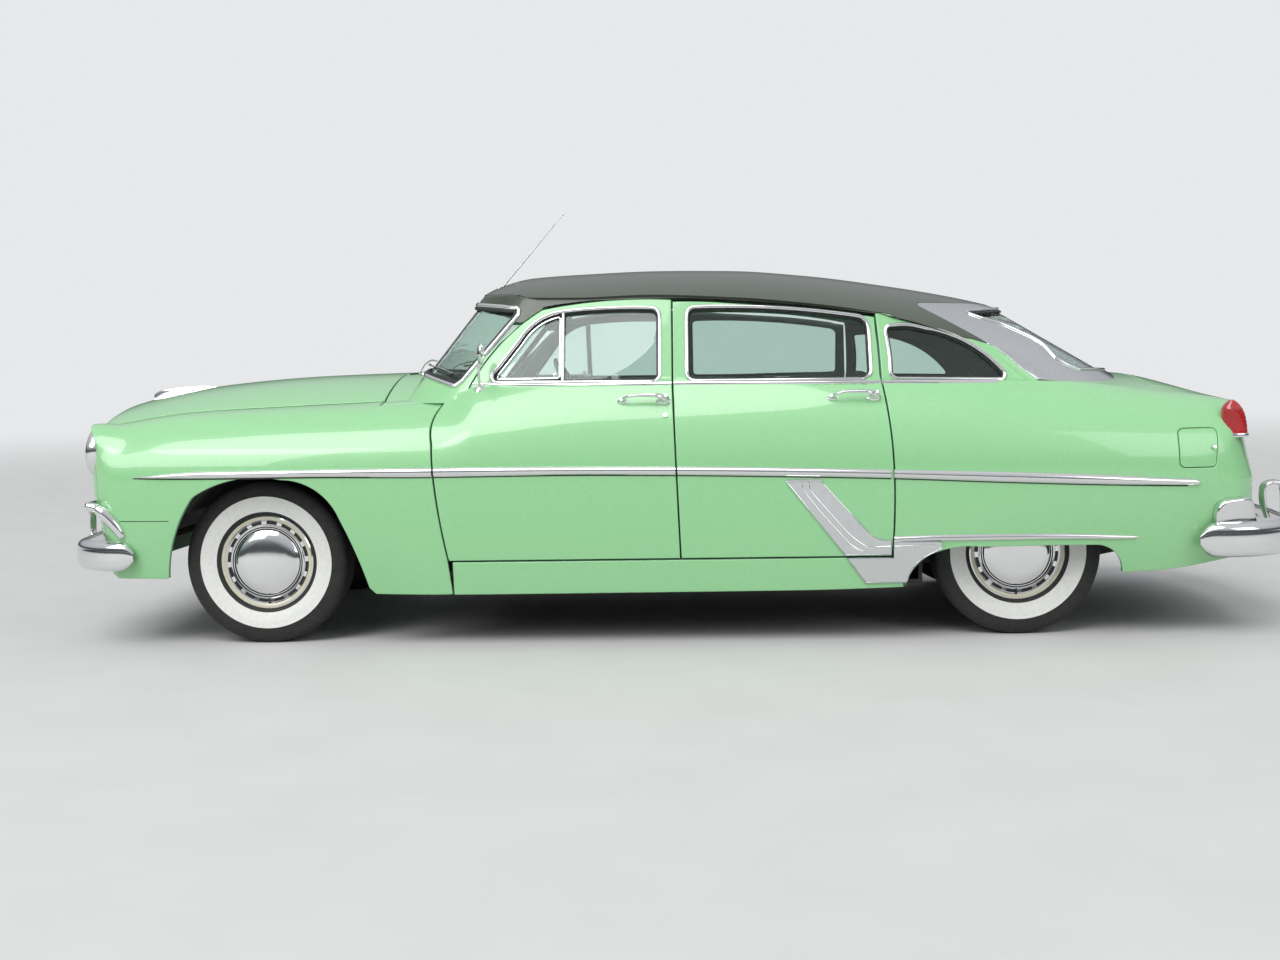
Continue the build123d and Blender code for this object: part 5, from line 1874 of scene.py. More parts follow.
@dataclass
class RearBody:
    """Quarter panels, deck, tail and rear pillars."""

    thickness: float = 18.0
    tail_run: float = 62.8

    def loop(self) -> Loop:
        """Boundary of the lower part, both sides, in lower-body coordinates.

        Returns:
            The boundary.
        """
        end = TAIL_X - LOWER.tail_radius + self.tail_run
        seam = path2(((C_SEAM + 10, DOOR_LOW), (C_SEAM + 6, 880), (C_SEAM - 16, 1060)))
        seam = [(x + DOOR_GAP, z) for x, z in seam]
        arch = [p for p in arch_path(REAR_ARCH, REAR_X) if p[1] > 232]
        low = [(C_SEAM + 66, FOOT), (C_SEAM + 64, LOWER.v_at_z(C_SEAM + 64, DOOR_LOW))]
        side_low = [(x, FOOT) for x in (REAR_X + 412, 1950, 2100, 2250, 2380, end)]
        tail = [(end, v) for v in (1400, 1300, 1200, 1080, 900, 750, 600)]
        right_seam = to_lower(seam)
        cabin = []
        for u in range(2700, 4321, 45):
            x, y = CABIN.plan(u, 1075)
            x1, y1 = CABIN.plan(u + 3, 1075)
            length = hypot(x1 - x, y1 - y)
            x, y = x + 16 * (y1 - y) / length, y - 16 * (x1 - x) / length
            if x > C_SEAM - 16 and y > 4:
                cabin.append((x, LOWER.v_at_y(x, y)))
        right = [*reversed(tail), *reversed(side_low), *reversed(to_lower(arch)),
                 *low, *right_seam[1:], *cabin]
        left = [(u, -v) for u, v in reversed(right)]
        return [*right, *left, *straight(left[-1], right[0], 40)[1:]]

    def tail_loop(self) -> Loop:
        """Boundary of the tail's face in (y, z), both sides.

        Returns:
            The boundary.
        """
        end = TAIL_X - LOWER.tail_radius + self.tail_run
        top = LOWER.v_at_y(TAIL_X, 567)
        rim = [LOWER.point(end, top + (FOOT - top) * k / 50) for k in range(51)]
        lid = TrunkLid()
        half, low = lid.half_width + LID_GAP, lid.low_z - LID_GAP
        right = [(half, low + 30), (half, 820), *[(p.y, p.z) for p in rim if p.y > half + 3]]
        left = [(-y, z) for y, z in reversed(right)]
        corner = [(-half + 6, low + 8), (-half + 30, low), (half - 30, low), (half - 6, low + 8)]
        return [*right, *left, *corner]

    def pillar_loop(self) -> Loop:
        """Boundary of the right rear pillar in cabin coordinates.

        Returns:
            The boundary.
        """
        front = path2(((C_SEAM - 10, 1036), (C_SEAM - 10, 1060), (C_SEAM - 24, 1346)))
        front = [(CABIN.u_at_x(x, z), z) for x, z in front]
        top = [(u, roof_edge(u) - lip_depth(u)) for u in range(2940, 3341, 20)]
        back = [(CABIN.u_at_x(x, z), z) for x, z in
                ((1330, 1206), (1385, 1164), (1440, 1112), (1505, 1062), (1560, 1040))]
        low = [(CABIN.u_at_x(x, 1036), 1036) for x in (1500, 1350, 1200, 1000)]
        return [*front, *top, *back, *low]

    def build(self) -> Mesh:
        """Rear body sheets.

        Returns:
            The rear body's mesh.
        """
        mesh = Mesh("rear_body_skin")
        lid = TrunkLid().loop(LID_GAP)
        Panel(LOWER, self.loop(), [lid, self.fuel_opening()], thickness=self.thickness,
              radius=4).build(mesh)
        Panel(TAIL, self.tail_loop(), thickness=self.thickness, radius=1).build(mesh)
        pillar = Mesh("pillar")
        Panel(CROWN, self.pillar_loop(), [to_cabin(window_outline("quarter"))],
              outward=-1.0, thickness=40, radius=4, lining=HEADLINER).build(pillar)
        mesh.join(pillar)
        mesh.join(pillar.mirrored())
        return mesh

    def fuel_opening(self) -> Loop:
        """Opening for the fuel door in the left side."""
        return [(u, -v) for u, v in FuelDoor().loop(3)]


@dataclass
class FuelDoor:
    """Small door in the left rear fender, with its knob."""

    low: Point2 = (2039.0, 698.0)
    high: Point2 = (2204.0, 853.0)
    corner: float = 26.0
    knob: Point2 = (2186.0, 775.0)

    def loop(self, grow: float = 0.0) -> Loop:
        """Outline in lower-body coordinates, as on the right side.

        Args:
            grow: how far the outline is grown.
        Returns:
            The boundary.
        """
        (x0, z0), (x1, z1) = self.low, self.high
        outline = [(x0 - grow, z0 - grow), (x1 + grow, z0 - grow),
                   (x1 + grow, z1 + grow), (x0 - grow, z1 + grow)]
        return to_lower(rounded(outline, self.corner + grow))

    def build(self) -> bpy.types.Object:
        """The door, on the left side.

        Returns:
            The door piece.
        """
        right = Mesh("fuel_door_skin")
        Panel(LOWER, self.loop(), thickness=8, radius=3, step=14).build(right)
        centre, out = skin(*self.knob)
        turned(right, facing(centre, out),
               [(5, -4), (5, 6), (9, 8), (9, 12), (6, 15), (0, 15.5)], CHROME, 24)
        return right.mirrored("fuel_door_skin").finish()


# Height of the door openings' top edge at a place along the car.
DOOR_TOP = Curve([(-560, 1394), (-440, 1414), (-323, 1424), (-3, 1426), (123, 1422),
                  (243, 1414), (523, 1390), (838, 1346)])


# Outline coordinates of the windshield post and of the rear pillar's rear edge.
POST_U, PILLAR_U = 940, 3340


def lip_depth(u: float) -> float:
    """Depth of the roof's rounded edge at an outline coordinate.

    Args:
        u: outline coordinate.
    Returns:
        The depth.
    """
    u = abs(u)
    depth = 16 * ramp(u, 820, 900) * ramp(u, 3335, 3200)
    x = CABIN.plan(u, 1400)[0]
    if -500 < x < 860:
        depth = min(depth, roof_edge(u) - DOOR_TOP(x) - 1)
    return depth


@dataclass
class RoofShell:
    """Roof skin, its rounded edge and lip, and the frames of windshield and backlight."""

    split_z: float = 1335.0
    front_top: float = 1462.0
    rear_top: float = 1396.0

    def join_z(self, u: float) -> float:
        """Height where the end frames pass into the roof skin.

        Args:
            u: outline coordinate.
        Returns:
            The height.
        """
        u = abs(u)
        if u < POST_U:
            edge = roof_edge(POST_U)
            return edge + (self.front_top - edge) * ramp(u, POST_U, 700)
        if u > PILLAR_U:
            edge = roof_edge(PILLAR_U)
            return edge + (self.rear_top - edge) * ramp(u, PILLAR_U, 3760)
        return roof_edge(u)

    def roof_panel(self, mesh: Mesh) -> None:
        """Add the skin over the cabin with its rounded side edges.

        Args:
            mesh: the mesh that receives it.
        """
        loop, frames = [], []
        for u in range(-4320, 4320, 20):
            depth = lip_depth(u)
            corner = CROWN.point(u, self.join_z(u))
            along = CROWN.point(u + 5, self.join_z(u + 5)) - CROWN.point(u - 5, self.join_z(u - 5))
            into = Vector((0, 0, 1)).cross(along).normalized()
            inner = corner + into * depth
            loop.append((inner.x, inner.y))
            if depth > 0.5:
                frames.append((u, corner, inner, depth))
        Panel(ROOF, loop, thickness=0, radius=0, skin=ROOF_PAINT, step=26).build(mesh)
        for side in (1, -1):
            rows: list[list[Vector]] = []
            for u, corner, inner, depth in frames:
                if u * side < 0:
                    continue
                inner = Vector((inner.x, inner.y, ROOF.height(inner.x, inner.y)))
                low = CABIN.point(u, corner.z - depth)
                row = [inner * (1 - s) ** 2 + corner * 2 * s * (1 - s) + low * s * s
                       for s in (0, 0.25, 0.5, 0.75, 1)]
                x = low.x
                end = DOOR_TOP(x) if -560 < x < 846 else low.z - 1
                row.append(CABIN.point(u, min(end, low.z)))
                row.append(CABIN.point(u, min(end, low.z)) - Vector((0, side * 34, -4)))
                rows.append(row)
            mesh.grid(rows, ROOF_PAINT)

    def headliner(self, mesh: Mesh) -> None:
        """Add the cloth lining under the roof.

        Args:
            mesh: the mesh that receives it.
        """
        loop = [CABIN.point(u, roof_edge(u)) for u in range(-4320, 4320, 60)]
        flat = [(p.x * 0.985 + 4, p.y * 0.94) for p in loop]
        shell = Mesh("lining")
        Panel(ROOF, flat, outward=-1.0, thickness=0, radius=0, skin=HEADLINER, step=60).build(shell)
        mesh.join(shell, Matrix.Translation((0, 0, -34)))

    def front_frame(self, mesh: Mesh) -> None:
        """Add the windshield's frame: painted posts and the roof-coloured header.

        Args:
            mesh: the mesh that receives it.
        """
        opening = end_opening(False)
        seam = arc3((-553, 1388), (-696, 1280), (-856, 1066), 24)
        seam = [(CABIN.u_at_x(x - DOOR_GAP, z), z) for x, z in seam]
        top = [(u, self.join_z(u) - lip_depth(u)) for u in range(1000, -1, -20)]
        split = self.split_z
        high = [*[p for p in reversed(seam) if p[1] > split], *top]
        high = [(seam[0][0], split), *high] if not high[0][1] < split + 1 else high
        edge = run_of(opening, lambda p: p[1] > split)
        left = [(-u, z) for u, z in reversed(high)][1:]
        Panel(CROWN, [*high, *left, *edge], outward=-1.0, thickness=30, radius=1, step=16,
              skin=ROOF_PAINT, lining=HEADLINER).build(mesh)
        low = [*[p for p in seam if p[1] <= split], (CABIN.u_at_x(-866, 1040), 1040)]
        foot = [(u, 1004) for u in range(920, -921, -46)]
        sides = run_of(opening, lambda p: p[1] <= split)
        outer = [*low, *foot, *[(-u, z) for u, z in reversed(low)]]
        Panel(CROWN, [*outer, *sides], outward=-1.0, thickness=30, radius=1, step=16,
              lining=HEADLINER).build(mesh)

    def rear_frame(self, mesh: Mesh) -> None:
        """Add the polished frame round the backlight.

        Args:
            mesh: the mesh that receives it.
        """
        span = 2 * CABIN.breaks[-1]
        side = [(3341, 1040), *[(u, z) for u, z in reversed(RearBody().pillar_loop())
                                if u > 3341 and z > 1042]]
        top = [(u, self.join_z(u)) for u in range(3345, 4320, 25)]
        right = [*[p for p in side if p[1] > 1042], *top]
        left = [(span - u, z) for u, z in reversed(right)]
        foot = [(u, 1046) for u in range(5160, 3480, -60)]
        Panel(CROWN, [*right, *left, *foot], [end_opening(True)], outward=-1.0, thickness=26,
              radius=2, step=18, skin=STAINLESS, wall=STAINLESS, lining=HEADLINER).build(mesh)

    def build(self) -> Mesh:
        """Roof sheets.

        Returns:
            The roof's mesh.
        """
        mesh = Mesh("roof_skin")
        self.roof_panel(mesh)
        self.headliner(mesh)
        self.front_frame(mesh)
        self.rear_frame(mesh)
        return mesh


# Bright trim and glass


class Inset:
    """Surface moved to its inner side by a depth; a negative depth moves it out."""

    def __init__(self, surface: Surface, depth: float, outward: float = -1.0) -> None:
        """Keep the surface, the depth and the way of its normal."""
        self.surface, self.depth, self.outward = surface, depth, outward

    def point(self, u: float, v: float) -> Vector:
        """Point of the moved skin."""
        return self.surface.point(u, v) - normal_at(self.surface, u, v, self.outward) * self.depth


def spread(low: float, high: float, step: float = 26.0) -> list[float]:
    """Even places from low to high, both included."""
    count = max(1, round((high - low) / step))
    return [low + (high - low) * i / count for i in range(count + 1)]


def band(mesh: Mesh, xs: Sequence[float], top: Callable[[float], float],
         bottom: Callable[[float], float], height: float, finish: Finish) -> None:
    """Crowned strip along the car's right side.

    Args:
        mesh: the mesh that receives it.
        xs: places along the car.
        top, bottom: heights of its edges at a place.
        height: how far its middle stands out.
        finish: finish of the faces.
    """
    rows = []
    for x in xs:
        (a, n), (b, _) = skin(x, top(x)), skin(x, bottom(x))
        crown = height * min(1.0, (a - b).length / 18)
        row = [a - n * 2]
        row += [a.lerp(b, k / 8) + n * (crown * sin(pi * k / 8) ** 0.6 if 0 < k < 8 else 0.4)
                for k in range(9)]
        rows.append([*row, b - n * 2])
    mesh.grid(rows, finish, around=True, caps=True, flip=True)


def ring(mesh: Mesh, loop: Loop, surface: Surface, profile: Loop, finish: Finish,
         lift: float = 0.0) -> None:
    """Bead along a closed loop on the right side or an end of the cabin.

    Args:
        mesh: the mesh that receives it.
        loop: the loop in surface coordinates.
        surface: form that carries it.
        profile: closed cross-section.
        finish: finish of the faces.
        lift: how far it stands out.
    """
    loop = resample(loop, 15)
    ups = [normal_at(surface, u, v, -1.0) for u, v in loop]
    points = [surface.point(u, v) + n * lift for (u, v), n in zip(loop, ups)]
    sweep(mesh, points, ups, profile, finish, closed=True)


def on_skin(mesh: Mesh, points: Sequence[Point2], lifts: Sequence[float], profile: Loop,
            finish: Finish, taper: Optional[Callable[[float], Point2]] = None) -> None:
    """Bar along a side-view polyline on the right side.

    Args:
        mesh: the mesh that receives it.
        points: the line in (x, z).
        lifts: distance from the skin at each point.
        profile: closed cross-section.
        finish: finish of the faces.
        taper: scale of the cross-section for a share of the way.
    """
    frames = [skin(*p) for p in points]
    sweep(mesh, [p + n * h for (p, n), h in zip(frames, lifts)], [n for _, n in frames],
          profile, finish, taper=taper)


def pane(name: str, surface: Surface, loop: Loop, depth: float) -> Mesh:
    """Sheet of glass set behind a surface.

    Args:
        name: piece name.
        surface: form behind which it is set.
        loop: outline in surface coordinates.
        depth: distance behind the form.
    Returns:
        The pane's mesh.
    """
    mesh = Mesh(name)
    Panel(Inset(surface, depth), loop, outward=-1.0, thickness=5, radius=1, step=40,
          skin=GLASS, wall=GLASS, lining=GLASS).build(mesh)
    return mesh


def pair(mesh: Mesh, body: str, slot: str = "chrome", *nodes: str) -> None:
    """Place a right-hand piece and its mirror image.

    Args:
        mesh: the right-hand mesh.
        body: "body" for one piece with both sides, else the start of two body names.
        slot: passed on to fit.
        nodes: starts of the plain nodes that the pieces stand for.
    """
    if body == "body":
        mesh.join(mesh.mirrored())
        fit(mesh.finish(), body, *nodes, slot=slot)
        return
    for side in ("right", "left"):
        name = f"{mesh.name}_{side}"
        half = mesh.moved(Matrix(), name) if side == "right" else mesh.mirrored(name)
        fit(half.finish(), f"{body}_{side}", *(f"{node}_{side}" for node in nodes), slot=slot)


@dataclass
class SideTrim:
    """Side moulding, belt strip, lower strip and gravel shield.

    Attributes:
        top, bottom: edges of the side moulding, as place and height.
        belt: heights of the belt strip at its two ends, as place and height.
        tip: length of the moulding's rounded rear end.
    """

    top: Loop = field(default_factory=lambda: [
        (-2252, 720), (-2150, 730), (-1950, 742), (-1534, 744), (-998, 745), (-506, 742),
        (-14, 736), (426, 726), (868, 711), (1307, 695), (1704, 677), (2119, 651)])
    bottom: Loop = field(default_factory=lambda: [
        (-2252, 716), (-2150, 713), (-1950, 711), (-1534, 712), (-998, 706), (-506, 707),
        (-14, 700), (426, 689), (868, 675), (1307, 654), (1704, 637), (2119, 623)])
    belt: tuple[Point2, Point2] = ((-734, 1080), (1337, 1057))
    tip: float = 22.0

    def moulding(self, mesh: Mesh, low: float, high: float) -> None:
        """Add the side moulding, with a dark strip of painted shadow under its lower edge, between
        two places.

        Args:
            mesh: the mesh that receives it.
            low: first place along the car.
            high: last place.
        """
        top, bottom = Curve(self.top), Curve(self.bottom)
        end = self.top[-1][0]
        xs = spread(low, min(high, end - self.tip))
        if high >= end:
            xs += [end - self.tip * (1 - s) for s in (0.3, 0.55, 0.75, 0.9, 0.99)]

        def share(x: float) -> float:
            """Share of the full height at a place, less than 1 in the rounded tip."""
            past = (x - end + self.tip) / self.tip
            return sqrt(max(1 - past * past, 0.02)) if past > 0 else 1.0

        band(mesh, xs, lambda x: bottom(x) + (top(x) - bottom(x)) * (1 + share(x)) / 2,
             lambda x: top(x) + (bottom(x) - top(x)) * (1 + share(x)) / 2, 13, CHROME)
        # Dark strip just under the moulding's lower edge: painted shadow that stands in for the
        # shade the moulding casts on the side below it.
        band(mesh, [x for x in xs if x < end - self.tip],
             lambda x: bottom(x) + 3, lambda x: bottom(x) - 4, 3, RUBBER_AND_PAINTED_SHADOW)

    def belt_strip(self, mesh: Mesh, low: float, high: float) -> None:
        """Add the thin strip under the side windows.

        Args:
            mesh: the mesh that receives it.
            low: first place along the car.
            high: last place.
        """
        (x0, z0), (x1, z1) = self.belt

        def middle(x: float) -> float:
            """Height of the strip's middle at a place."""
            return z0 + (z1 - z0) * (x - x0) / (x1 - x0)

        band(mesh, spread(low, high, 32), lambda x: middle(x) + 7, lambda x: middle(x) - 7,
             6, CHROME)

    def low_strip(self, mesh: Mesh) -> None:
        """Add the strip over the rear wheel opening, pointed at its rear end.

        Args:
            mesh: the mesh that receives it.
        """
        mid = Curve([(883, 424), (1100, 428), (1500, 427), (1881, 417)])
        half = Curve([(883, 13), (1100, 13), (1500, 12), (1780, 10), (1860, 6), (1881, 1)])
        band(mesh, spread(886, 1881), lambda x: mid(x) + half(x), lambda x: mid(x) - half(x),
             9, CHROME)

    def shield(self, mesh: Mesh, door: bool) -> None:
        """Add the polished gravel shield with its ribs.

        Args:
            mesh: the mesh that receives it.
            door: the part on the rear door, instead of the part on sill and rear body.
        """
        if door:
            loop = path2(((690, 363), (874, 363)), ((874, 363), (873, 424)),
                         ((873, 424), (820, 428), (780, 458)), ((780, 458), (590, 668)),
                         ((590, 668), (452, 668)), ((452, 668), (690, 363)))[:-1]
            ribs = [[(512, 664), (520, 634), (584, 548), (668, 452), (716, 402), (760, 378)],
                    [(540, 664), (550, 628), (610, 556), (700, 454), (762, 404), (800, 394),
                     (872, 396)]]
        else:
            loop = path2(((697, 350), (772, 248)), ((772, 248), (938, 248)),
                         ((938, 248), (958, 300), (1022, 358)), ((1022, 358), (1080, 388)),
                         ((1080, 388), (1076, 414)), ((1076, 414), (886, 414)),
                         ((886, 414), (886, 350)), ((886, 350), (697, 350)))[:-1]
            ribs = [[(888, 396), (980, 398), (1056, 398)]]
        coords = to_lower(resample(loop, 24))
        lift = 3.5 if door else 7.5
        Panel(Inset(LOWER, -lift, 1.0), coords, thickness=lift + 2, radius=2, skin=STAINLESS,
              wall=STAINLESS, lining=STAINLESS).build(mesh)
        edge = resample(loop, 24, closed=True)
        frames = [skin(*p) for p in edge]
        sweep(mesh, [p + n * lift for p, n in frames], [n for _, n in frames],
              rounded_bar(5, 4, 6), STAINLESS, closed=True)
        for rib in ribs:
            line = smooth_path(rib, 5)
            on_skin(mesh, line, [lift] * len(line), rounded_bar(9, 5, 6), CHROME)
        if door:
            on_skin(mesh, [(456, 671), (500, 671), (545, 671), (590, 671)], [3] * 4,
                    rounded_bar(13, 9, 6), CHROME)


@dataclass
class Handles:
    """Pull handle and key lock of a door.

    Attributes:
        front, rear: first and last place of the two handles.
        z: height of the handles.
    """

    front: Point2 = (-224.0, -22.0)
    rear: Point2 = (633.0, 837.0)
    z: float = 1000.0

    def build(self, mesh: Mesh, rear: bool) -> None:
        """Add the handle of one door.

        Args:
            mesh: the mesh that receives it.
            rear: the rear door's handle, without a lock.
        """
        x0, x1 = self.rear if rear else self.front
        span = x1 - x0
        line = [(x0 + span * k / 24, self.z + 5 * sin(pi * k / 24)) for k in range(25)]
        lifts = [7 + 36 * min(1.0, sin(pi * min(k / 24, 0.999)) * 1.5) ** 0.8 for k in range(25)]
        on_skin(mesh, line, lifts, oval(19, 13), CHROME,
                lambda s: (0.62 + 0.75 * s * s, 0.7 + 0.45 * s))
        for at, width, long in ((x0 + 12, 20, 34), (x1 - 22, 30, 52)):
            p, n = skin(at, self.z)
            turned(mesh, facing(p, n) @ Matrix.Diagonal((long / width, 1, 1, 1)),
                   [(width / 2 + 2, -3), (width / 2 + 2, 2), (width / 2 - 2, 6),
                    (width / 3, 16), (width / 3.2, 24), (0, 25)], CHROME, 28)
        p, n = skin(x1 - 8, self.z + 2)
        turned(mesh, facing(p, n), [(9, 20), (9, 44), (7, 47), (0, 48)], CHROME, 24)
        if not rear:
            lock = skin(x1 - 14, self.z - 58)[0]
            turned(mesh, facing(lock, n), [(11, -2), (11, 3), (9, 5), (4, 5), (4, 3), (0, 3)],
                   CHROME, 24)


@dataclass
class SideGlass:
    """Side windows with their bright reveals, seals and vent frames."""

    depth: float = 17.0
    vent_x: float = -465.0

    def reveal(self, mesh: Mesh, name: str) -> None:
        """Add the reveal and the seal round one window.

        Args:
            mesh: the mesh that receives it.
            name: front, rear or quarter.
        """
        surface = CROWN if name == "quarter" else SIDE
        convert = to_cabin if name == "quarter" else list
        ring(mesh, convert(window_outline(name, 5)), surface, rounded_bar(17, 8), CHROME)
        ring(mesh, convert(window_outline(name, -3)), surface, oval(13, 12, 10), RUBBER_AND_PAINTED_SHADOW, -11)

    def vent(self, mesh: Mesh) -> None:
        """Add the front door's vent window frame.

        Args:
            mesh: the mesh that receives it.
        """
        x = self.vent_x
        bar = [(x, z) for z in spread(1092, 1379, 28)]
        on_skin(mesh, bar, [-9] * len(bar), oval(17, 16, 12), CHROME)
        front = resample(window_outline("front", -14), 12)
        part = [p for p in front if p[0] < x - 10]
        cut = max(range(len(part)), key=lambda i: abs(part[i][0] - part[i - 1][0])
                  + abs(part[i][1] - part[i - 1][1]))
        part = part[cut:] + part[:cut]
        ring(mesh, rounded(part, 3), SIDE, oval(9, 10, 10), CHROME, -10)
        p, n = skin(x - 34, 1120)
        turned(mesh, facing(p, n), [(9, -30), (9, -24), (5, -22), (5, -14), (0, -13)],
               CHROME, 20)

    def panes(self) -> None:
        """Build the panes of the four doors."""
        for name in ("front", "rear"):
            mesh = pane(f"{name}_door_pane", SIDE, window_outline(name, -1), self.depth)
            pair(mesh, f"{name}_door", "glass", f"{name}_door_glass")


@dataclass
class EndGlass:
    """Windshield and rear glass with their trim, and the wipers."""

    depth: float = 13.0

    def windshield(self) -> None:
        """Build the windshield, its gasket, its trim and the wipers."""
        fit(pane("windshield_pane", CROWN, end_opening(False, -1), self.depth).finish(), "body",
            "windshield", slot="glass")
        trim = Mesh("windshield_trim")
        ring(trim, end_opening(False, 9), CROWN, rounded_bar(20, 9), CHROME)
        ring(trim, end_opening(False, -2), CROWN, oval(22, 14, 10), RUBBER_AND_PAINTED_SHADOW, -3)
        for side in (-1, 1):
            self.wiper(trim, side)
        fit(trim.finish(), "body", slot="chrome")

    def wiper(self, mesh: Mesh, side: float) -> None:
        """Add one wiper at rest along the glass's lower edge.

        Args:
            mesh: the mesh that receives it.
            side: 1 on the right, -1 on the left.
        """
        arm = [(350, 1118), (430, 1150), (520, 1165), (610, 1172), (690, 1170)]
        blade = [(470 + 34 * k, 1158 + 2 * k - 0.5 * k * k) for k in range(12)]
        for line, lifts, profile, finish in (
                (arm, (22, 26, 22, 20, 17), oval(9, 5, 8), CHROME),
                (blade, [10] * len(blade), oval(7, 9, 8), CHROME),
                (blade, [3] * len(blade), oval(4, 8, 8), RUBBER_AND_PAINTED_SHADOW)):
            ups = [normal_at(CROWN, side * u, z, -1.0) for u, z in line]
            sweep(mesh, [CROWN.point(side * u, z) + n * h for (u, z), n, h in
                         zip(line, ups, lifts)], ups, profile, finish)
        n = normal_at(CROWN, side * 350, 1118, -1.0)
        turned(mesh, facing(CROWN.point(side * 350, 1118) + n * 6, n),
               [(19, -26), (19, -2), (15, 6), (9, 12), (9, 18), (0, 20)], CHROME, 28)

    def rear(self) -> None:
        """Build the backlight and the quarter panes."""
        glass = pane("rear_glass_panes", CROWN, end_opening(True, -1), self.depth)
        quarter = pane("quarter_pane", CROWN, to_cabin(window_outline("quarter", -1)), 16)
        glass.join(quarter)
        glass.join(quarter.mirrored())
        fit(glass.finish(), "body", "rear_glass", slot="glass")
        trim = Mesh("backlight_trim")
        ring(trim, end_opening(True, 4), CROWN, rounded_bar(16, 7), CHROME)
        ring(trim, end_opening(True, -3), CROWN, oval(16, 12, 10), RUBBER_AND_PAINTED_SHADOW, -6)
        fit(trim.finish(), "body", slot="chrome")


@dataclass
class HoodDress:
    """Chrome lip on the hood's nose and the blade ornament."""

    width: float = 16.0

    def build(self) -> None:
        """Build both on the hood."""
        mesh = Mesh("hood_ornament")
        top = smooth_path([(-2486, 1050), (-2440, 1071), (-2340, 1082), (-2250, 1084),
                           (-2186, 1080)], 5)
        rows = []
        for x, z in top:
            s = (x + 2486) / 300
            base = LOWER.point(x, 0).z - 4
            half = self.width / 2 * (0.35 + 0.65 * sin(pi * min(max(s, 0.03), 0.97)) ** 0.5)
            rows.append([Vector((x, y * half, base + (z - base) * h)) for y, h in
                         ((1.6, 0), (1.5, 0.15), (1, 0.3), (0.8, 0.7), (0.5, 0.93), (0, 1),
                          (-0.5, 0.93), (-0.8, 0.7), (-1, 0.3), (-1.5, 0.15), (-1.6, 0))])
        mesh.grid(rows, CHROME, around=True, caps=True)
        hood = Hood()
        line = []
        for k in range(-22, 23):
            v = 560 * k / 22
            u = hood.nose_u(v) + 16
            line.append((LOWER.point(u, v), normal_at(LOWER, u, v, 1.0)))
        sweep(mesh, [p + n for p, n in line], [n for _, n in line], rounded_bar(34, 11), CHROME,
              taper=lambda s: (0.25 + 0.75 * sin(pi * s) ** 0.5, 0.4 + 0.6 * sin(pi * s) ** 0.5))
        fit(mesh.finish(), "hood", slot="chrome")


@dataclass
class Mirror:
    """Round mirror on an arm, on the left front door.

    Attributes:
        centre: middle of the head.
        foot: where the arm meets the door.
        radius: radius of the head.
    """

    centre: Triple = (-798.0, -868.0, 1205.0)
    foot: Triple = (-812.0, -798.0, 1064.0)
    radius: float = 50.0

    def build(self) -> None:
        """Build the mirror."""
        mesh = Mesh("door_mirror")
        foot, head = Vector(self.foot), Vector(self.centre)
        bend = Vector((foot.x + 2, head.y + 8, foot.z + 60))
        path = [foot * (1 - s) ** 2 + bend * 2 * s * (1 - s) + head * s * s
                for s in (k / 12 for k in range(13))]
        rod(mesh, path, (1, 0, 0), oval(12, 12, 12), CHROME)
        turned(mesh, Matrix.Translation(foot + Vector((0, -2, -4)))
               @ Matrix.Rotation(radians(122), 4, "X"),
               [(26, -6), (26, 1), (20, 8), (9, 14), (0, 15)], CHROME, 28)
        r = self.radius
        turned(mesh, Matrix.Translation(head) @ Matrix.Rotation(radians(90), 4, "Z"),
               [(0, 11), (0.5 * r, 9), (0.84 * r, 3), (r, -5), (r, -10), (0.95 * r, -11),
                (0.93 * r, -8), (0, -8)], CHROME, 48,
               lambda i, k: DIAL_GLASS if i == 6 else CHROME)
        fit(mesh.finish(), "front_door_left", slot="chrome")


def dress_trim() -> None:
    """Build the bright trim and the glass."""
    trim, handles, glass = SideTrim(), Handles(), SideGlass()
    fender = Mesh("fender_trim")
    trim.moulding(fender, -2252, -995)
    on_skin(fender, [(x, 535) for x in spread(-2330, -2108)], [0.2] * 10, oval(3, 2, 6), RUBBER_AND_PAINTED_SHADOW)
    pair(fender, "body")
    for rear, ends, belt in ((False, (-986, 3), (-842, -10)), (True, (12, 874), (-1, 850))):
        name = "rear" if rear else "front"
        mesh = Mesh(name + "_door_trim")
        trim.moulding(mesh, *ends)
        trim.belt_strip(mesh, *belt)
        handles.build(mesh, rear)
        glass.reveal(mesh, name)
        if rear:
            trim.shield(mesh, True)
        else:
            glass.vent(mesh)
        pair(mesh, name + "_door")
    body = Mesh("rear_body_trim")
    trim.moulding(body, 886, 2119)
    trim.belt_strip(body, 860, 1337)
    trim.low_strip(body)
    trim.shield(body, False)
    glass.reveal(body, "quarter")
    pair(body, "body")
    glass.panes()
    EndGlass().windshield()
    EndGlass().rear()
    HoodDress().build()
    Mirror().build()


# Wheels, bumpers, lamps and grille


@dataclass
class Flat:
    """Upright plane across the car: u across, v the height."""

    x: float

    def point(self, u: float, v: float) -> Vector:
        """Point of the plane."""
        return Vector((self.x, u, v))


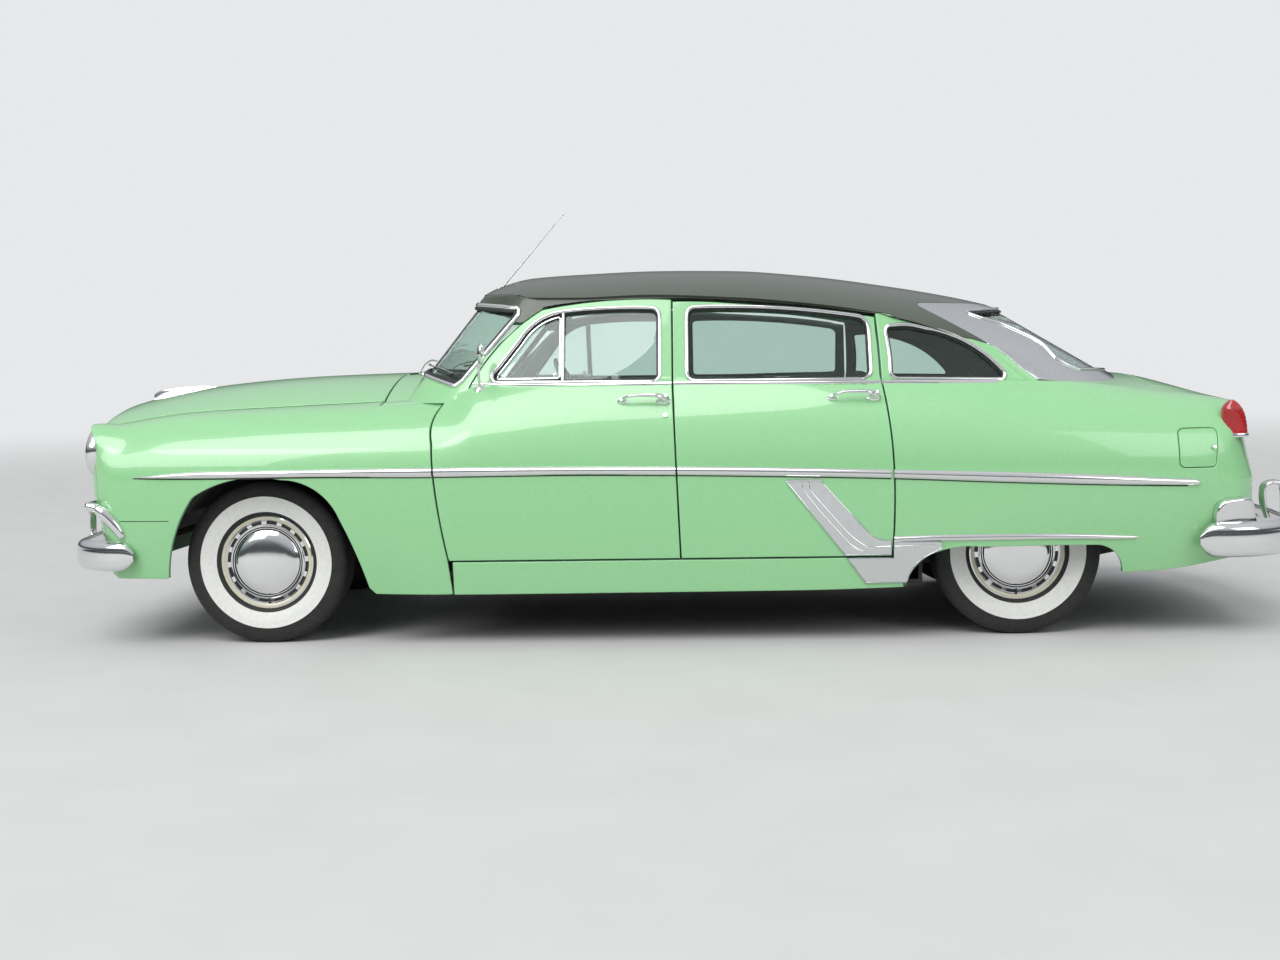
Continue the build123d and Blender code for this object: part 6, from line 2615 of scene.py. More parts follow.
@dataclass
class Tyre:
    """Tyre with a raised white band and a ribbed tread.

    Attributes:
        inner: inner sidewall from bead to tread, as radius and place along the axle.
        outer: outer sidewall from tread to bead, and the seat on the rim.
        grooves: places of the tread's grooves.
        groove_width, groove_depth, zigzag: size of a groove and its sideways swing.
        white, white_y: inner and outer radius of the white band, and its least place.
        crest: radius of the tread.
        count: pieces round the wheel.
    """

    inner: Loop = field(default_factory=lambda: [
        (192, -66), (210, -78), (240, -89), (263, -92.5), (290, -91), (305, -88.5),
        (322, -86), (333, -80), (340, -73), (343, -66)])
    outer: Loop = field(default_factory=lambda: [
        (343, 66), (340, 73), (333, 80), (322, 86), (305, 88.5), (290, 91), (281, 92),
        (280, 93.2), (278, 93.4), (276, 92.5), (263, 92.5), (240, 89), (216, 80.5),
        (214, 81.2), (211, 80), (205, 76), (197, 70), (192, 66), (192, -66)])
    grooves: tuple[float, ...] = (-46.0, -23.0, 0.0, 23.0, 46.0)
    groove_width: float = 6.0
    groove_depth: float = 7.0
    zigzag: float = 2.4
    white: Point2 = (214.0, 279.0)
    white_y: float = 79.0
    crest: float = 344.8
    count: int = 120

    def profile(self) -> Loop:
        """Closed outline over the inner side, the tread and the outer side.

        Returns:
            The outline.
        """
        tread: Loop = []
        for y in self.grooves:
            half = self.groove_width / 2
            deep = self.crest - self.groove_depth
            tread += [(self.crest, y - half), (deep, y - half + 1), (deep, y + half - 1),
                      (self.crest, y + half)]
        return [*self.inner, *tread, *self.outer]

    def build(self) -> Mesh:
        """Tyre about the Y axis, outer side to +Y.

        Returns:
            The tyre's mesh.
        """
        profile = self.profile()
        first, last = len(self.inner), len(profile) - len(self.outer)
        swing = (0.0, self.zigzag, 0.0, -self.zigzag)

        def look(i: int, _: int) -> Finish:
            """White or black, by the profile piece.

            Args:
                i: profile piece.
            Returns:
                The finish.
            """
            low, high = self.white
            middle = (profile[i][0] + profile[i + 1][0]) / 2
            is_white = i >= last and low <= middle <= high and profile[i][1] > self.white_y
            return WHITEWALL if is_white else TYRE

        mesh = Mesh("tyre")
        lathe(mesh, profile, TYRE, self.count, look,
              lambda i, k: swing[k % 4] if first <= i < last else 0.0)
        return mesh


@dataclass
class Wheel:
    """Pressed-steel wheel with a full cover: domed centre, dark rings and a cream trim ring.

    Attributes:
        rim: steel rim and disc from the hub round to the cover's edge.
        cover: cover from its edge to its middle.
        dashes: outer and inner radius of the ring of dark dashes.
        cream: outer and inner radius of the cream band.
        count: pieces round the wheel.
    """

    rim: Loop = field(default_factory=lambda: [
        (0, -24), (46, -24), (46, 6), (140, 4), (150, -34), (183, -62), (194, -76), (200, -72),
        (198, -66), (186, -56), (164, -28), (168, 34), (190, 56), (199, 62)])
    cover: Loop = field(default_factory=lambda: [
        (200, 70), (198, 75), (193, 78), (186, 77.5), (178, 73), (175, 66), (172, 63),
        (161, 62), (158, 66), (154, 69), (150, 68), (148, 64.5), (145, 68), (142, 68),
        (140, 64.5), (137, 68), (134, 70), (130, 72), (124, 76), (110, 82), (90, 86),
        (60, 89.5), (30, 91.5), (0, 92)])
    dashes: Point2 = (172.0, 161.0)
    cream: Point2 = (194.0, 177.0)
    count: int = 96

    def build(self) -> Mesh:
        """Wheel about the Y axis, outer side to +Y.

        Returns:
            The wheel's mesh.
        """
        profile = [*self.rim, *self.cover]
        start = len(self.rim)

        def look(i: int, k: int) -> Finish:
            """Finish of a face of the wheel.

            Args:
                i: profile piece.
                k: piece round the wheel.
            Returns:
                The finish.
            """
            (r0, y0), (r1, y1) = profile[i], profile[i + 1]
            if i < start - 1:
                return IRON
            if self.dashes[1] <= r1 and r0 <= self.dashes[0]:
                return DARK_INLAY if k % 6 < 4 else CHROME
            if self.cream[1] <= r1 and r0 <= self.cream[0]:
                return CREAM
            return DARK_INLAY if min(y0, y1) < 65 and r0 < self.dashes[1] else CHROME

        mesh = Mesh("wheel")
        lathe(mesh, profile, CHROME, self.count, look)
        turned(mesh, Matrix.Translation((0, 62, -166)), [(4, 0), (4, 16), (3, 18), (0, 18)],
               RUBBER_AND_PAINTED_SHADOW, 12)
        return mesh


@dataclass
class Bumper:
    """Crowned bumper blade with two hooped guards and its brackets.

    Attributes:
        rear: which bumper.
        reach: place of its tip from the car's middle.
        depth: thickness of the blade's form.
        bow, corner: how far the blade falls back at 700 and at 860 from the middle plane.
        wing_x: place of the blade's end.
        low_z, height: bottom and height of the blade.
        guard_y: distance of a guard from the middle plane.
        end_y, end_run: distance of the blade's end from it, and length of its taper.
        hoop: line of a guard, as place from the car's middle and height.
    """

    rear: bool
    reach: float = 2647.6
    depth: float = 42.0
    bow: float = 60.0
    corner: float = 125.0
    wing_x: float = 2263.0
    low_z: float = 323.0
    height: float = 128.0
    guard_y: float = 430.0
    end_y: float = 938.0
    end_run: float = 80.0
    hoop: Loop = field(default_factory=lambda: [
        (2564, 440), (2547, 500), (2544, 556), (2558, 584), (2590, 592), (2620, 585),
        (2633, 556), (2636, 500), (2636, 440), (2634, 380), (2624, 332)])

    def section(self) -> Loop:
        """Hollow cross-section: sideways is the height, upwards is outward.

        Returns:
            The profile.
        """
        half = self.height / 2
        outer, inner = [], []
        for k in range(21):
            t = -1 + k / 10
            crown = (1 - abs(t) ** 3.2) ** 0.5 if abs(t) < 1 else 0.0
            bead = 2.2 * (ramp(abs(t), 0.5, 0.62) - 1)
            outer.append((half * t, -self.depth + self.depth * crown + bead * (abs(t) < 0.98)))
            inner.append(((half - 4) * t, -self.depth - 2 + (self.depth - 4) * crown))
        return [*outer, *reversed(inner)]

    def plan(self) -> Loop:
        """Outer line of the blade in plan, from the left end to the right end.

        Returns:
            The point.
        """
        near = (self.reach - self.bow, 700.0)
        end = (self.wing_x, self.end_y)
        corner = arc3(near, (self.reach - self.corner, 860.0), end, 30)
        middle = arc3((near[0], -700.0), (self.reach, 0.0), near, 60)
        line = [*((x, -y) for x, y in reversed(corner[1:])), *middle, *corner[1:]]
        line = resample(line, 22, closed=False)
        for _ in range(8):
            line = [line[0], *((
                (a[0] + 2 * b[0] + c[0]) / 4, (a[1] + 2 * b[1] + c[1]) / 4)
                for a, b, c in zip(line, line[1:], line[2:])), line[-1]]
        return line

    def build(self) -> Mesh:
        """Bumper.

        Returns:
            The bumper's mesh.
        """
        mesh = Mesh("rear_bumper_blade" if self.rear else "front_bumper_blade")
        way = 1.0 if self.rear else -1.0
        line = self.plan()
        length = [0.0]
        for (x0, y0), (x1, y1) in zip(line, line[1:]):
            length.append(length[-1] + hypot(x1 - x0, y1 - y0))
        middle_z = self.low_z + self.height / 2
        path = [Vector((way * x, y, middle_z)) for x, y in line]
        ups = []
        for i in range(len(line)):
            a, b = line[max(i - 1, 0)], line[min(i + 1, len(line) - 1)]
            ups.append(Vector((way * (b[1] - a[1]), a[0] - b[0], 0)).normalized())
        share = [at / length[-1] for at in length]

        def taper(s: float) -> Point2:
            """Scale of the section, smaller over the last end_run at each end.

            Args:
                s: share of the blade's points.
            Returns:
                The scales sideways and outward.
            """
            at = share[min(round(s * (len(share) - 1)), len(share) - 1)] * length[-1]
            past = max(1 - min(at, length[-1] - at) / self.end_run, 0.0)
            return sqrt(1 - 0.9 * past ** 2.4), 1 - 0.45 * past ** 2.4

        sweep(mesh, path, ups, self.section(), CHROME, taper=taper)
        for side in (1, -1):
            self.guard(mesh, way, side)
            self.bracket(mesh, way, side)
        return mesh

    def guard(self, mesh: Mesh, way: float, side: float) -> None:
        """Add one hooped guard.

        Args:
            mesh: the mesh that receives it.
            way: 1 at the rear, -1 at the front.
            side: 1 on the right, -1 on the left.
        """
        drop = 0 if self.rear else 23
        line = smooth_path([(x, z - drop) for x, z in self.hoop], 5)
        path = [Vector((way * x, side * self.guard_y, z)) for x, z in line]
        ups = []
        for i in range(len(line)):
            a, b = line[max(i - 1, 0)], line[min(i + 1, len(line) - 1)]
            ups.append(Vector((way * (a[1] - b[1]), 0, b[0] - a[0])).normalized())
        sweep(mesh, path, ups, oval(66, 21, 20, 0.8), CHROME,
              taper=lambda s: (1 - 0.25 * abs(2 * s - 1) ** 3, 1.0))

    def bracket(self, mesh: Mesh, way: float, side: float) -> None:
        """Add one bracket from the blade back to the frame.

        Args:
            mesh: the mesh that receives it.
            way: 1 at the rear, -1 at the front.
            side: 1 on the right, -1 on the left.
        """
        low_z = self.low_z + 20
        inner = 2385.0 if self.rear else 2335.0
        xs = spread(inner, self.reach - 68, 40)
        path = [Vector((way * x, side * (self.guard_y - 14 * ramp(x, 2400, 2520)), low_z + 30))
                for x in xs]
        rod(mesh, path, (0, side, 0), rounded([(-29, -5), (29, -5), (29, 5), (-29, 5)], 2),
            UNDERCOAT)


@dataclass
class BumperCap:
    """Rounded chrome cap over each end of the rear bumper."""

    stand: float = 38.0
    outline: Loop = field(default_factory=lambda: [
        (2184, 456), (2180, 510), (2192, 549), (2222, 567), (2330, 573), (2362, 566),
        (2398, 552), (2404, 456)])

    def build(self, mesh: Mesh) -> None:
        """Add both caps to the rear bumper.

        Args:
            mesh: the mesh that receives it.
        """
        half = Mesh("cap")
        loop = to_lower(resample(rounded(self.outline, 16), 12))
        Panel(Inset(LOWER, -self.stand, 1.0), loop, thickness=self.stand - 2, radius=14,
              step=13, skin=CHROME, wall=CHROME, lining=UNDERCOAT).build(half)
        mesh.join(half)
        mesh.join(half.mirrored())


@dataclass
class PlateBracket:
    """Upright plate with two bolt holes on the rear bumper."""

    x: float = 2616.0
    half_width: float = 104.0
    low_z: float = 455.0
    high_z: float = 570.0
    hole: Triple = (88.9, 552.0, 3.5)

    def build(self, mesh: Mesh) -> None:
        """Add the bracket.

        Args:
            mesh: the mesh that receives it.
        """
        y, z, r = self.hole
        outer = rounded([(-self.half_width, self.low_z), (self.half_width, self.low_z),
                         (self.half_width, self.high_z), (-self.half_width, self.high_z)], 12)
        holes = [circle(side * y, z, r, 16) for side in (-1, 1)]
        Panel(Flat(self.x), outer, holes, thickness=4, radius=0.8, step=30, skin=STAINLESS,
              wall=STAINLESS, lining=STAINLESS).build(mesh)
        for side in (-1, 1):
            rib = [Vector((self.x + 1, side * 60, z)) for z in spread(464, 560, 24)]
            rod(mesh, rib, (1, 0, 0), rounded_bar(14, 4, 6), STAINLESS)


@dataclass
class Headlamp:
    """Round lamp with a deep chrome bezel and a fluted lens.

    Attributes:
        base_x: place of the bezel's seat.
        lean: how far the top leans, per unit of height.
        bezel, lens, bowl: profiles as radius and distance ahead of the seat.
    """

    base_x: float = -2440.0
    lean: float = 0.09
    bezel: Loop = field(default_factory=lambda: [
        (98, -34), (104, -14), (106, 6), (105, 20), (100, 31), (94, 36), (89, 35), (86, 29),
        (85, 18)])
    lens: Loop = field(default_factory=lambda: [
        (84, 22), (86, 28), (78, 38), (64, 47), (44, 54), (20, 58), (0, 59)])
    bowl: Loop = field(default_factory=lambda: [(86, 24), (72, 8), (48, -10), (24, -19), (0, -22)])

    def build(self, bright: Mesh, clear: Mesh) -> None:
        """Add the right lamp.

        Args:
            bright: mesh of the chrome parts.
            clear: mesh of the lens.
        """
        shear = Matrix.Identity(4)
        shear[0][2] = self.lean
        y, z = HEADLAMP
        place = (Matrix.Translation((self.base_x, y, z)) @ shear
                 @ Matrix.Rotation(radians(90), 4, "Z"))
        parts = Mesh("bright")
        lathe(parts, self.bezel, CHROME, 72)
        lathe(parts, self.bowl, DIAL_GLASS, 72)
        bulb = [(7, -22), (8, -6), (7, 2), (4, 6), (0, 7)]
        lathe(parts, bulb, WHITEWALL, 20)
        bright.join(parts, place)
        glass = Mesh("glass")
        back = [(0, 54), (20, 53), (44, 49), (62, 42), (76, 33), (82, 24)]
        lathe(glass, [*back, *self.lens], LAMP_GLASS, 72)
        for k in range(-6, 7):
            half = sqrt(74 ** 2 - (k * 11) ** 2)
            flute = [Vector((k * 11.0, 0, 0)) + Vector((0, 49 - 0.0042 * (k * 11) ** 2
                     - 0.0042 * t * t, t)) for t in spread(-half, half, 14)]
            rod(glass, flute, (0, -1, 0), rounded_bar(9, 2.2, 4), LAMP_GLASS)
        clear.join(glass, place)


@dataclass
class ParkingLamp:
    """Small round lamp under the headlamp with its chrome brow.

    Attributes:
        seat_x: place of the bezel's seat.
        brow: line of the brow as place, distance from the middle plane (0 for the skin) and
            height.
    """

    seat_x: float = -2440.0
    brow: list[Triple] = field(default_factory=lambda: [
        (-2316, 0, 468), (-2333, 0, 500), (-2362, 0, 540), (-2396, 0, 573), (-2430, 862, 592),
        (-2460, 815, 598), (-2474, 745, 597), (-2478, 680, 593)])

    def build(self, bright: Mesh, clear: Mesh) -> None:
        """Add the right lamp and its brow.

        Args:
            bright: mesh of the chrome parts.
            clear: mesh of the lens.
        """
        y, z = PARKING_LAMP
        place = (Matrix.Translation((self.seat_x, y, z)) @ Matrix.Rotation(radians(90), 4, "Z"))
        parts = Mesh("bright")
        lathe(parts, [(44, -24), (49, -6), (49, 4), (46, 12), (41, 14), (37, 11), (36, 2)],
              CHROME, 48)
        lathe(parts, [(36, 4), (24, -10), (0, -16)], DIAL_GLASS, 48)
        bright.join(parts, place)
        turned(clear, place, [(0, 26), (16, 24), (28, 15), (33, 4), (35, 4), (36, 9), (31, 21),
                              (18, 31), (0, 34)], AMBER_LENS, 48)
        self.dome(bright)

    def dome(self, bright: Mesh) -> None:
        """Add the brow over the right parking lamp.

        Args:
            bright: mesh of the chrome parts.
        """
        line = []
        for axis in range(3):
            line.append(smooth_path([(p[axis], k) for k, p in enumerate(self.brow)], 5))
        path, ups = [], []
        count = len(line[0])
        for i in range(count):
            x, side, z = (line[axis][i][0] for axis in range(3))
            skin_y = LOWER.side_y(x, z)
            turn = ramp(i / (count - 1), 0.45, 0.85)
            y = skin_y if turn == 0 else skin_y + (min(side, skin_y) - skin_y) * turn
            path.append(Vector((x, y, z)))
            ups.append(Vector((-turn, 1 - turn + 0.05, 0.12)).normalized())
        sweep(bright, path, ups, rounded_bar(50, 30, 16), CHROME,
              taper=lambda s: (0.35 + 0.65 * sin(pi * min(s * 1.2 + 0.06, 0.93)) ** 0.6,
                               0.25 + 0.75 * sin(pi * min(s * 0.9 + 0.08, 0.93)) ** 0.7))


@dataclass
class TailLamp:
    """Tall red lens with a chrome foot and rim on the rear corner.

    Attributes:
        front: lower body side of the lens, as height and place.
        rear: rear edge of the lens.
        centre_y, half_width: position across the car and half its width.
        split_z: top of the chrome foot.
    """

    front: Loop = field(default_factory=lambda: [
        (806, 2238), (880, 2238), (930, 2240), (950, 2256), (964, 2274)])
    rear: Loop = field(default_factory=lambda: [
        (806, 2346), (836, 2345), (870, 2341), (902, 2334), (930, 2322), (950, 2307),
        (964, 2288)])
    centre_y: float = 801.0
    half_width: float = 33.0
    split_z: float = 826.0

    def build(self, bright: Mesh, red: Mesh) -> None:
        """Add the right lamp.

        Args:
            bright: mesh of the chrome foot.
            red: mesh of the lens.
        """
        front, rear = Curve(self.front), Curve(self.rear)

        def row(z: float, grow: float) -> list[Vector]:
            """Ring of points round the lamp.

            Args:
                z: height.
                grow: how far the ring is grown.
            Returns:
                The points.
            """
            low, high = front(z) - grow, rear(z) + grow
            middle, half = (low + high) / 2, (high - low) / 2
            top = 1 - 0.6 * ramp(z, 925, 966)
            result = []
            for k in range(28):
                a = 2 * pi * k / 28
                c, s = cos(a), sin(a)
                result.append(Vector((
                    middle + half * abs(c) ** 0.75 * (1 if c >= 0 else -1),
                    self.centre_y + (self.half_width * top + grow) * abs(s) ** 0.75
                    * (1 if s >= 0 else -1), z)))
            return result

        zs = [self.split_z, *spread(self.split_z + 4, 955, 9), 961, 964]
        red.grid([row(z, -1.5 if k % 2 and z < 940 else 0.0) for k, z in enumerate(zs)],
                 RED_LENS, around=True, caps=True)
        foot = [(812, 0.0), (813, 3.0), (820, 4.0), (self.split_z, 2.5), (self.split_z + 2, 0.0)]
        bright.grid([row(z, g) for z, g in foot], CHROME, around=True, caps=True)


@dataclass
class Grille:
    """Bowed bars in the front opening, the ring round it and the radiator behind.

    Attributes:
        heavy, slim: outer line in plan of a bar, as distance from the middle and place.
        core: half width, bottom, top and place of the radiator.
    """

    heavy: Loop = field(default_factory=lambda: [
        (-586, -2473), (-510, -2491), (-400, -2505), (0, -2531), (400, -2505), (510, -2491),
        (586, -2473)])
    slim: Loop = field(default_factory=lambda: [
        (-586, -2465), (-510, -2483), (-400, -2495), (0, -2515), (400, -2495), (510, -2483),
        (586, -2465)])
    core: tuple[float, float, float, float] = (556.0, 402.0, 858.0, -2318.0)

    def bar(self, mesh: Mesh, table: Loop, low: float, high: float, depth: float) -> None:
        """Add one bowed bar between two heights.

        Args:
            mesh: the mesh that receives it.
            table: line in plan of the bar.
            low: height of its lower edge.
            high: height of its upper edge.
            depth: how far it is crowned.
        """
        curve = Curve(table)
        middle, half = (low + high) / 2, (high - low) / 2
        path = [Vector((curve(y), y, middle)) for y in spread(-584, 584, 18)]
        section = []
        for k in range(17):
            t = -1 + k / 8
            section.append((half * t, depth * ((1 - abs(t) ** 2.6) ** 0.5 - 1)))
        section += [(half - 2, -depth - 3), (2 - half, -depth - 3)]
        rod(mesh, path, (-1, 0, 0), section, CHROME)

    def radiator(self, mesh: Mesh) -> None:
        """Add the radiator's core and tanks.

        Args:
            mesh: the mesh that receives it.
        """
        half, low, high, x = self.core
        block(mesh, (x, -half, low + 34), (x + 36, half, high - 60), DARK_INLAY, 2)
        for z in spread(low + 44, high - 70, 13):
            fin = [Vector((x - 1, y, z)) for y in (-half + 8, 0, half - 8)]
            rod(mesh, fin, (-1, 0, 0), [(-1.2, -3), (1.2, -3), (1.2, 2), (-1.2, 2)], IRON)
        for y in spread(-half + 14, half - 14, 26):
            tube = [Vector((x - 0.5, y, z)) for z in (low + 36, (low + high) / 2, high - 62)]
            rod(mesh, tube, (-1, 0, 0), [(-4, -3), (4, -3), (4, 1), (-4, 1)], IRON)
        block(mesh, (x - 2, -half, high - 62), (x + 38, half, high), UNDERCOAT, 12)
        block(mesh, (x - 2, -half, low), (x + 38, half, low + 36), UNDERCOAT, 10)

    def build(self) -> Mesh:
        """Grille.

        Returns:
            The grille's mesh.
        """
        mesh = Mesh("grille_bars")
        self.bar(mesh, self.heavy, 690, 760, 44)
        self.bar(mesh, self.slim, 590, 616, 26)
        post = [Vector((-2497, 0, z)) for z in spread(612, 694, 12)]
        rod(mesh, post, (-1, 0, 0), oval(40, 30, 20, 0.8), CHROME)
        loop = resample(Apron().opening_loop(7), 16)
        ups = [normal_at(FRONT, u, v, -1.0) for u, v in loop]
        sweep(mesh, [FRONT.point(u, v) for u, v in loop], ups, rounded_bar(24, 13, 10), CHROME,
              closed=True)
        self.radiator(mesh)
        return mesh


def dress_running_gear() -> None:
    """Build the wheels, bumpers, lamps and grille."""
    tyre, wheel = Tyre().build(), Wheel().build()
    for end, x, y in (("front", FRONT_X, FRONT_Y), ("rear", REAR_X, REAR_Y)):
        for side, sign in (("right", 1), ("left", -1)):
            turn = Matrix.Rotation(0.0 if sign > 0 else pi, 4, "Z")
            place = Matrix.Translation((x, sign * y, AXLE_Z)) @ turn
            spot = f"{end}_{side}"
            fit(tyre.moved(place, f"tyre_{spot}_rubber").finish(), f"wheel_{spot}",
                f"tyre_{spot}", slot="tyre")
            fit(wheel.moved(place, f"wheel_{spot}_cover").finish(), f"wheel_{spot}",
                f"wheel_{spot}", slot="wheel_metal")
    front, rear = Bumper(False), Bumper(True, corner=150, wing_x=2118, low_z=330, height=144)
    fit(front.build().finish(40), "body", "front_bumper", slot="chrome")
    back = rear.build()
    BumperCap().build(back)
    PlateBracket().build(back)
    fit(back.finish(40), "body", "rear_bumper", slot="chrome")
    grille, lenses = Grille().build(), Mesh("front_lamp_lenses")
    lamps, red = Mesh("lamp_bezels"), Mesh("tail_lamp_lenses")
    Headlamp().build(lamps, lenses)
    ParkingLamp().build(lamps, lenses)
    TailLamp().build(lamps, red)
    for half in (lamps, lenses, red):
        half.join(half.mirrored())
    fit(grille.finish(), "body", "grille", slot="chrome")
    fit(lamps.finish(), "body", slot="chrome")
    fit(lenses.finish(), "body", "front_lamps", slot="lamp_glass")
    fit(red.finish(), "body", "tail_lamps", slot="lamp_red")


# Interior, engine and underside


@dataclass
class Cushion:
    """Soft seat part: crowned faces, sewn channels, sides pulled in, a welt all round.

    Attributes:
        name: piece name.
        centre: middle in side view, as place and height.
        along: direction of its depth or rise in side view.
        length: half its depth or rise.
        half_width: half its width across the car.
        front, back: thickness of the crowned face and of the other face.
        middle_y: middle across the car.
        pitch: spacing of the channels; 0 for none.
        pull: how far the sides pull in between the corners.
    """

    name: str
    centre: Point2
    along: Point2
    length: float
    half_width: float
    front: float
    back: float
    middle_y: float = 0.0
    pitch: float = 110.0
    pull: float = 12.0

    def columns(self) -> list[float]:
        """Places across the cushion, close together at the channels and the sides.

        Returns:
            The places.
        """
        half = self.half_width
        places = {-half, half, 0.0}
        for off in (1, 3, 7, 14, 26, 42):
            places |= {off - half, half - off}
        pitch = self.pitch or 40.0
        count = int((half - 40) / pitch)
        offsets = (0, 3, 7, 13, 24, 40) if self.pitch else (0,)
        for k in range(-count, count + 1):
            places |= {k * pitch + sign * off for off in offsets for sign in (-1, 1)
                       if abs(k * pitch + sign * off) < half - 50}
        return sorted(places)

    def rows(self) -> list[float]:
        """Shares of the length, close together at the ends."""
        return [sin(pi / 2 * sin(pi / 2 * k / 14)) for k in range(-14, 15)]

    def height(self, share: float, y: float, thickness: float, sewn: bool) -> float:
        """Height of a face above the welt.

        Args:
            share: place along the length from -1 to 1.
            y: place across from the middle.
            thickness: height in the middle.
            sewn: whether the face has channels.
        Returns:
            The height.
        """
        edge = max(0.0, 1 - abs(share) ** 7) ** 0.5 * max(
            0.0, 1 - (abs(y) / self.half_width) ** 16) ** 0.5
        crown = 0.80 + 0.20 * (1 - share * share) * (1 - 0.5 * (y / self.half_width) ** 2)
        depth = 0.0
        if sewn and self.pitch and abs(y) < self.half_width - 60:
            off = abs(y - round(y / self.pitch) * self.pitch)
            puff = sin(pi * min(off / self.pitch, 0.5)) ** 0.55
            depth = 13 * (1 - puff) * ramp(abs(share), 1.0, 0.9)
        return thickness * edge * crown - depth

    def build(self) -> bpy.types.Object:
        """The cushion.

        Returns:
            The cushion piece.
        """
        mesh = Mesh(self.name)
        ax, az = self.along
        unit = hypot(ax, az)
        ax, az = ax / unit, az / unit
        middle = Vector((self.centre[0], self.middle_y, self.centre[1]))
        a_way, c_way = Vector((ax, 0, az)), Vector((-az, 0, ax))
        ys, shares = self.columns(), self.rows()

        def at(share: float, y: float, lift: float) -> Vector:
            """Point of the cushion.

            Args:
                share: place along the length from -1 to 1.
                y: place across from the middle.
                lift: height above the welt.
            Returns:
                The point.
            """
            t = y / self.half_width
            reach = self.length * share - self.pull * share ** 5 * (1 - t * t)
            side = y - self.pull * t ** 9 * (1 - share * share)
            return middle + a_way * reach + Vector((0, side, 0)) + c_way * lift

        for thickness, sewn, flip in ((self.front, True, True), (-self.back, False, False)):
            mesh.grid([[at(s, y, self.height(s, y, thickness, sewn)) for y in ys]
                       for s in shares], SEAT_CLOTH, flip=flip)
        edge = [(s, -self.half_width) for s in shares] + [(1.0, y) for y in ys[1:]]
        edge += [(s, self.half_width) for s in reversed(shares[:-1])]
        edge += [(-1.0, y) for y in reversed(ys[1:-1])]
        line = [at(s, y, 0) for s, y in edge]
        ups = [(p - middle).normalized() for p in line]
        sweep(mesh, line, ups, oval(11, 11, 8), SEAT_VINYL, closed=True)
        piece = mesh.finish()
        return piece


@dataclass
class Bench:
    """Bench seat: two cushions on a base.

    Attributes:
        name: node and start of the piece names.
        base: low and high corner of the base on each side of the tunnel.
        seat, back: centre, direction, half length, half width and the two thicknesses.
        bolsters: corner pads beside the backrest.
    """

    name: str
    base: tuple[Triple, Triple]
    seat: tuple
    back: tuple
    bolsters: bool = False

    def build(self) -> None:
        """Build the bench."""
        frame_mesh = Mesh(self.name + "_base")
        (x0, y0, z0), (x1, y1, z1) = self.base
        for side in (-1, 1):
            low, high = min(side * y0, side * y1), max(side * y0, side * y1)
            block(frame_mesh, (x0, low, z0), (x1, high, z1), SEAT_VINYL, 16)
        for side in (-1, 1):
            (cx, cz), (ax, az), length = self.back[:3]
            unit = hypot(ax, az)
            foot = Vector((cx - ax / unit * length * 0.98, side * (y1 - 60), cz - az / unit
                           * length * 0.98))
            knee = Vector((x1 - 60, side * (y1 - 60), z1 - 10))
            rod(frame_mesh, [knee.lerp(foot, k / 6) for k in range(7)], (0, side, 0),
                oval(46, 12, 12, 0.8), IRON)
        fit(frame_mesh.finish(), "body", self.name, slot="seat_cloth")
        fit(Cushion(self.name + "_cushion", *self.seat).build(), "body", slot="seat_cloth")
        fit(Cushion(self.name + "_backrest", *self.back).build(), "body", slot="seat_cloth")
        if self.bolsters:
            (cx, cz), way, *_ = self.back
            for side, word in ((-1, "left"), (1, "right")):
                pad = Cushion(f"{self.name}_{word}_pad", (cx + 46, cz + 90), way, 118, 46, 48, 30,
                              side * 604, 0.0, 5.0)
                fit(pad.build(), "body", slot="seat_cloth")


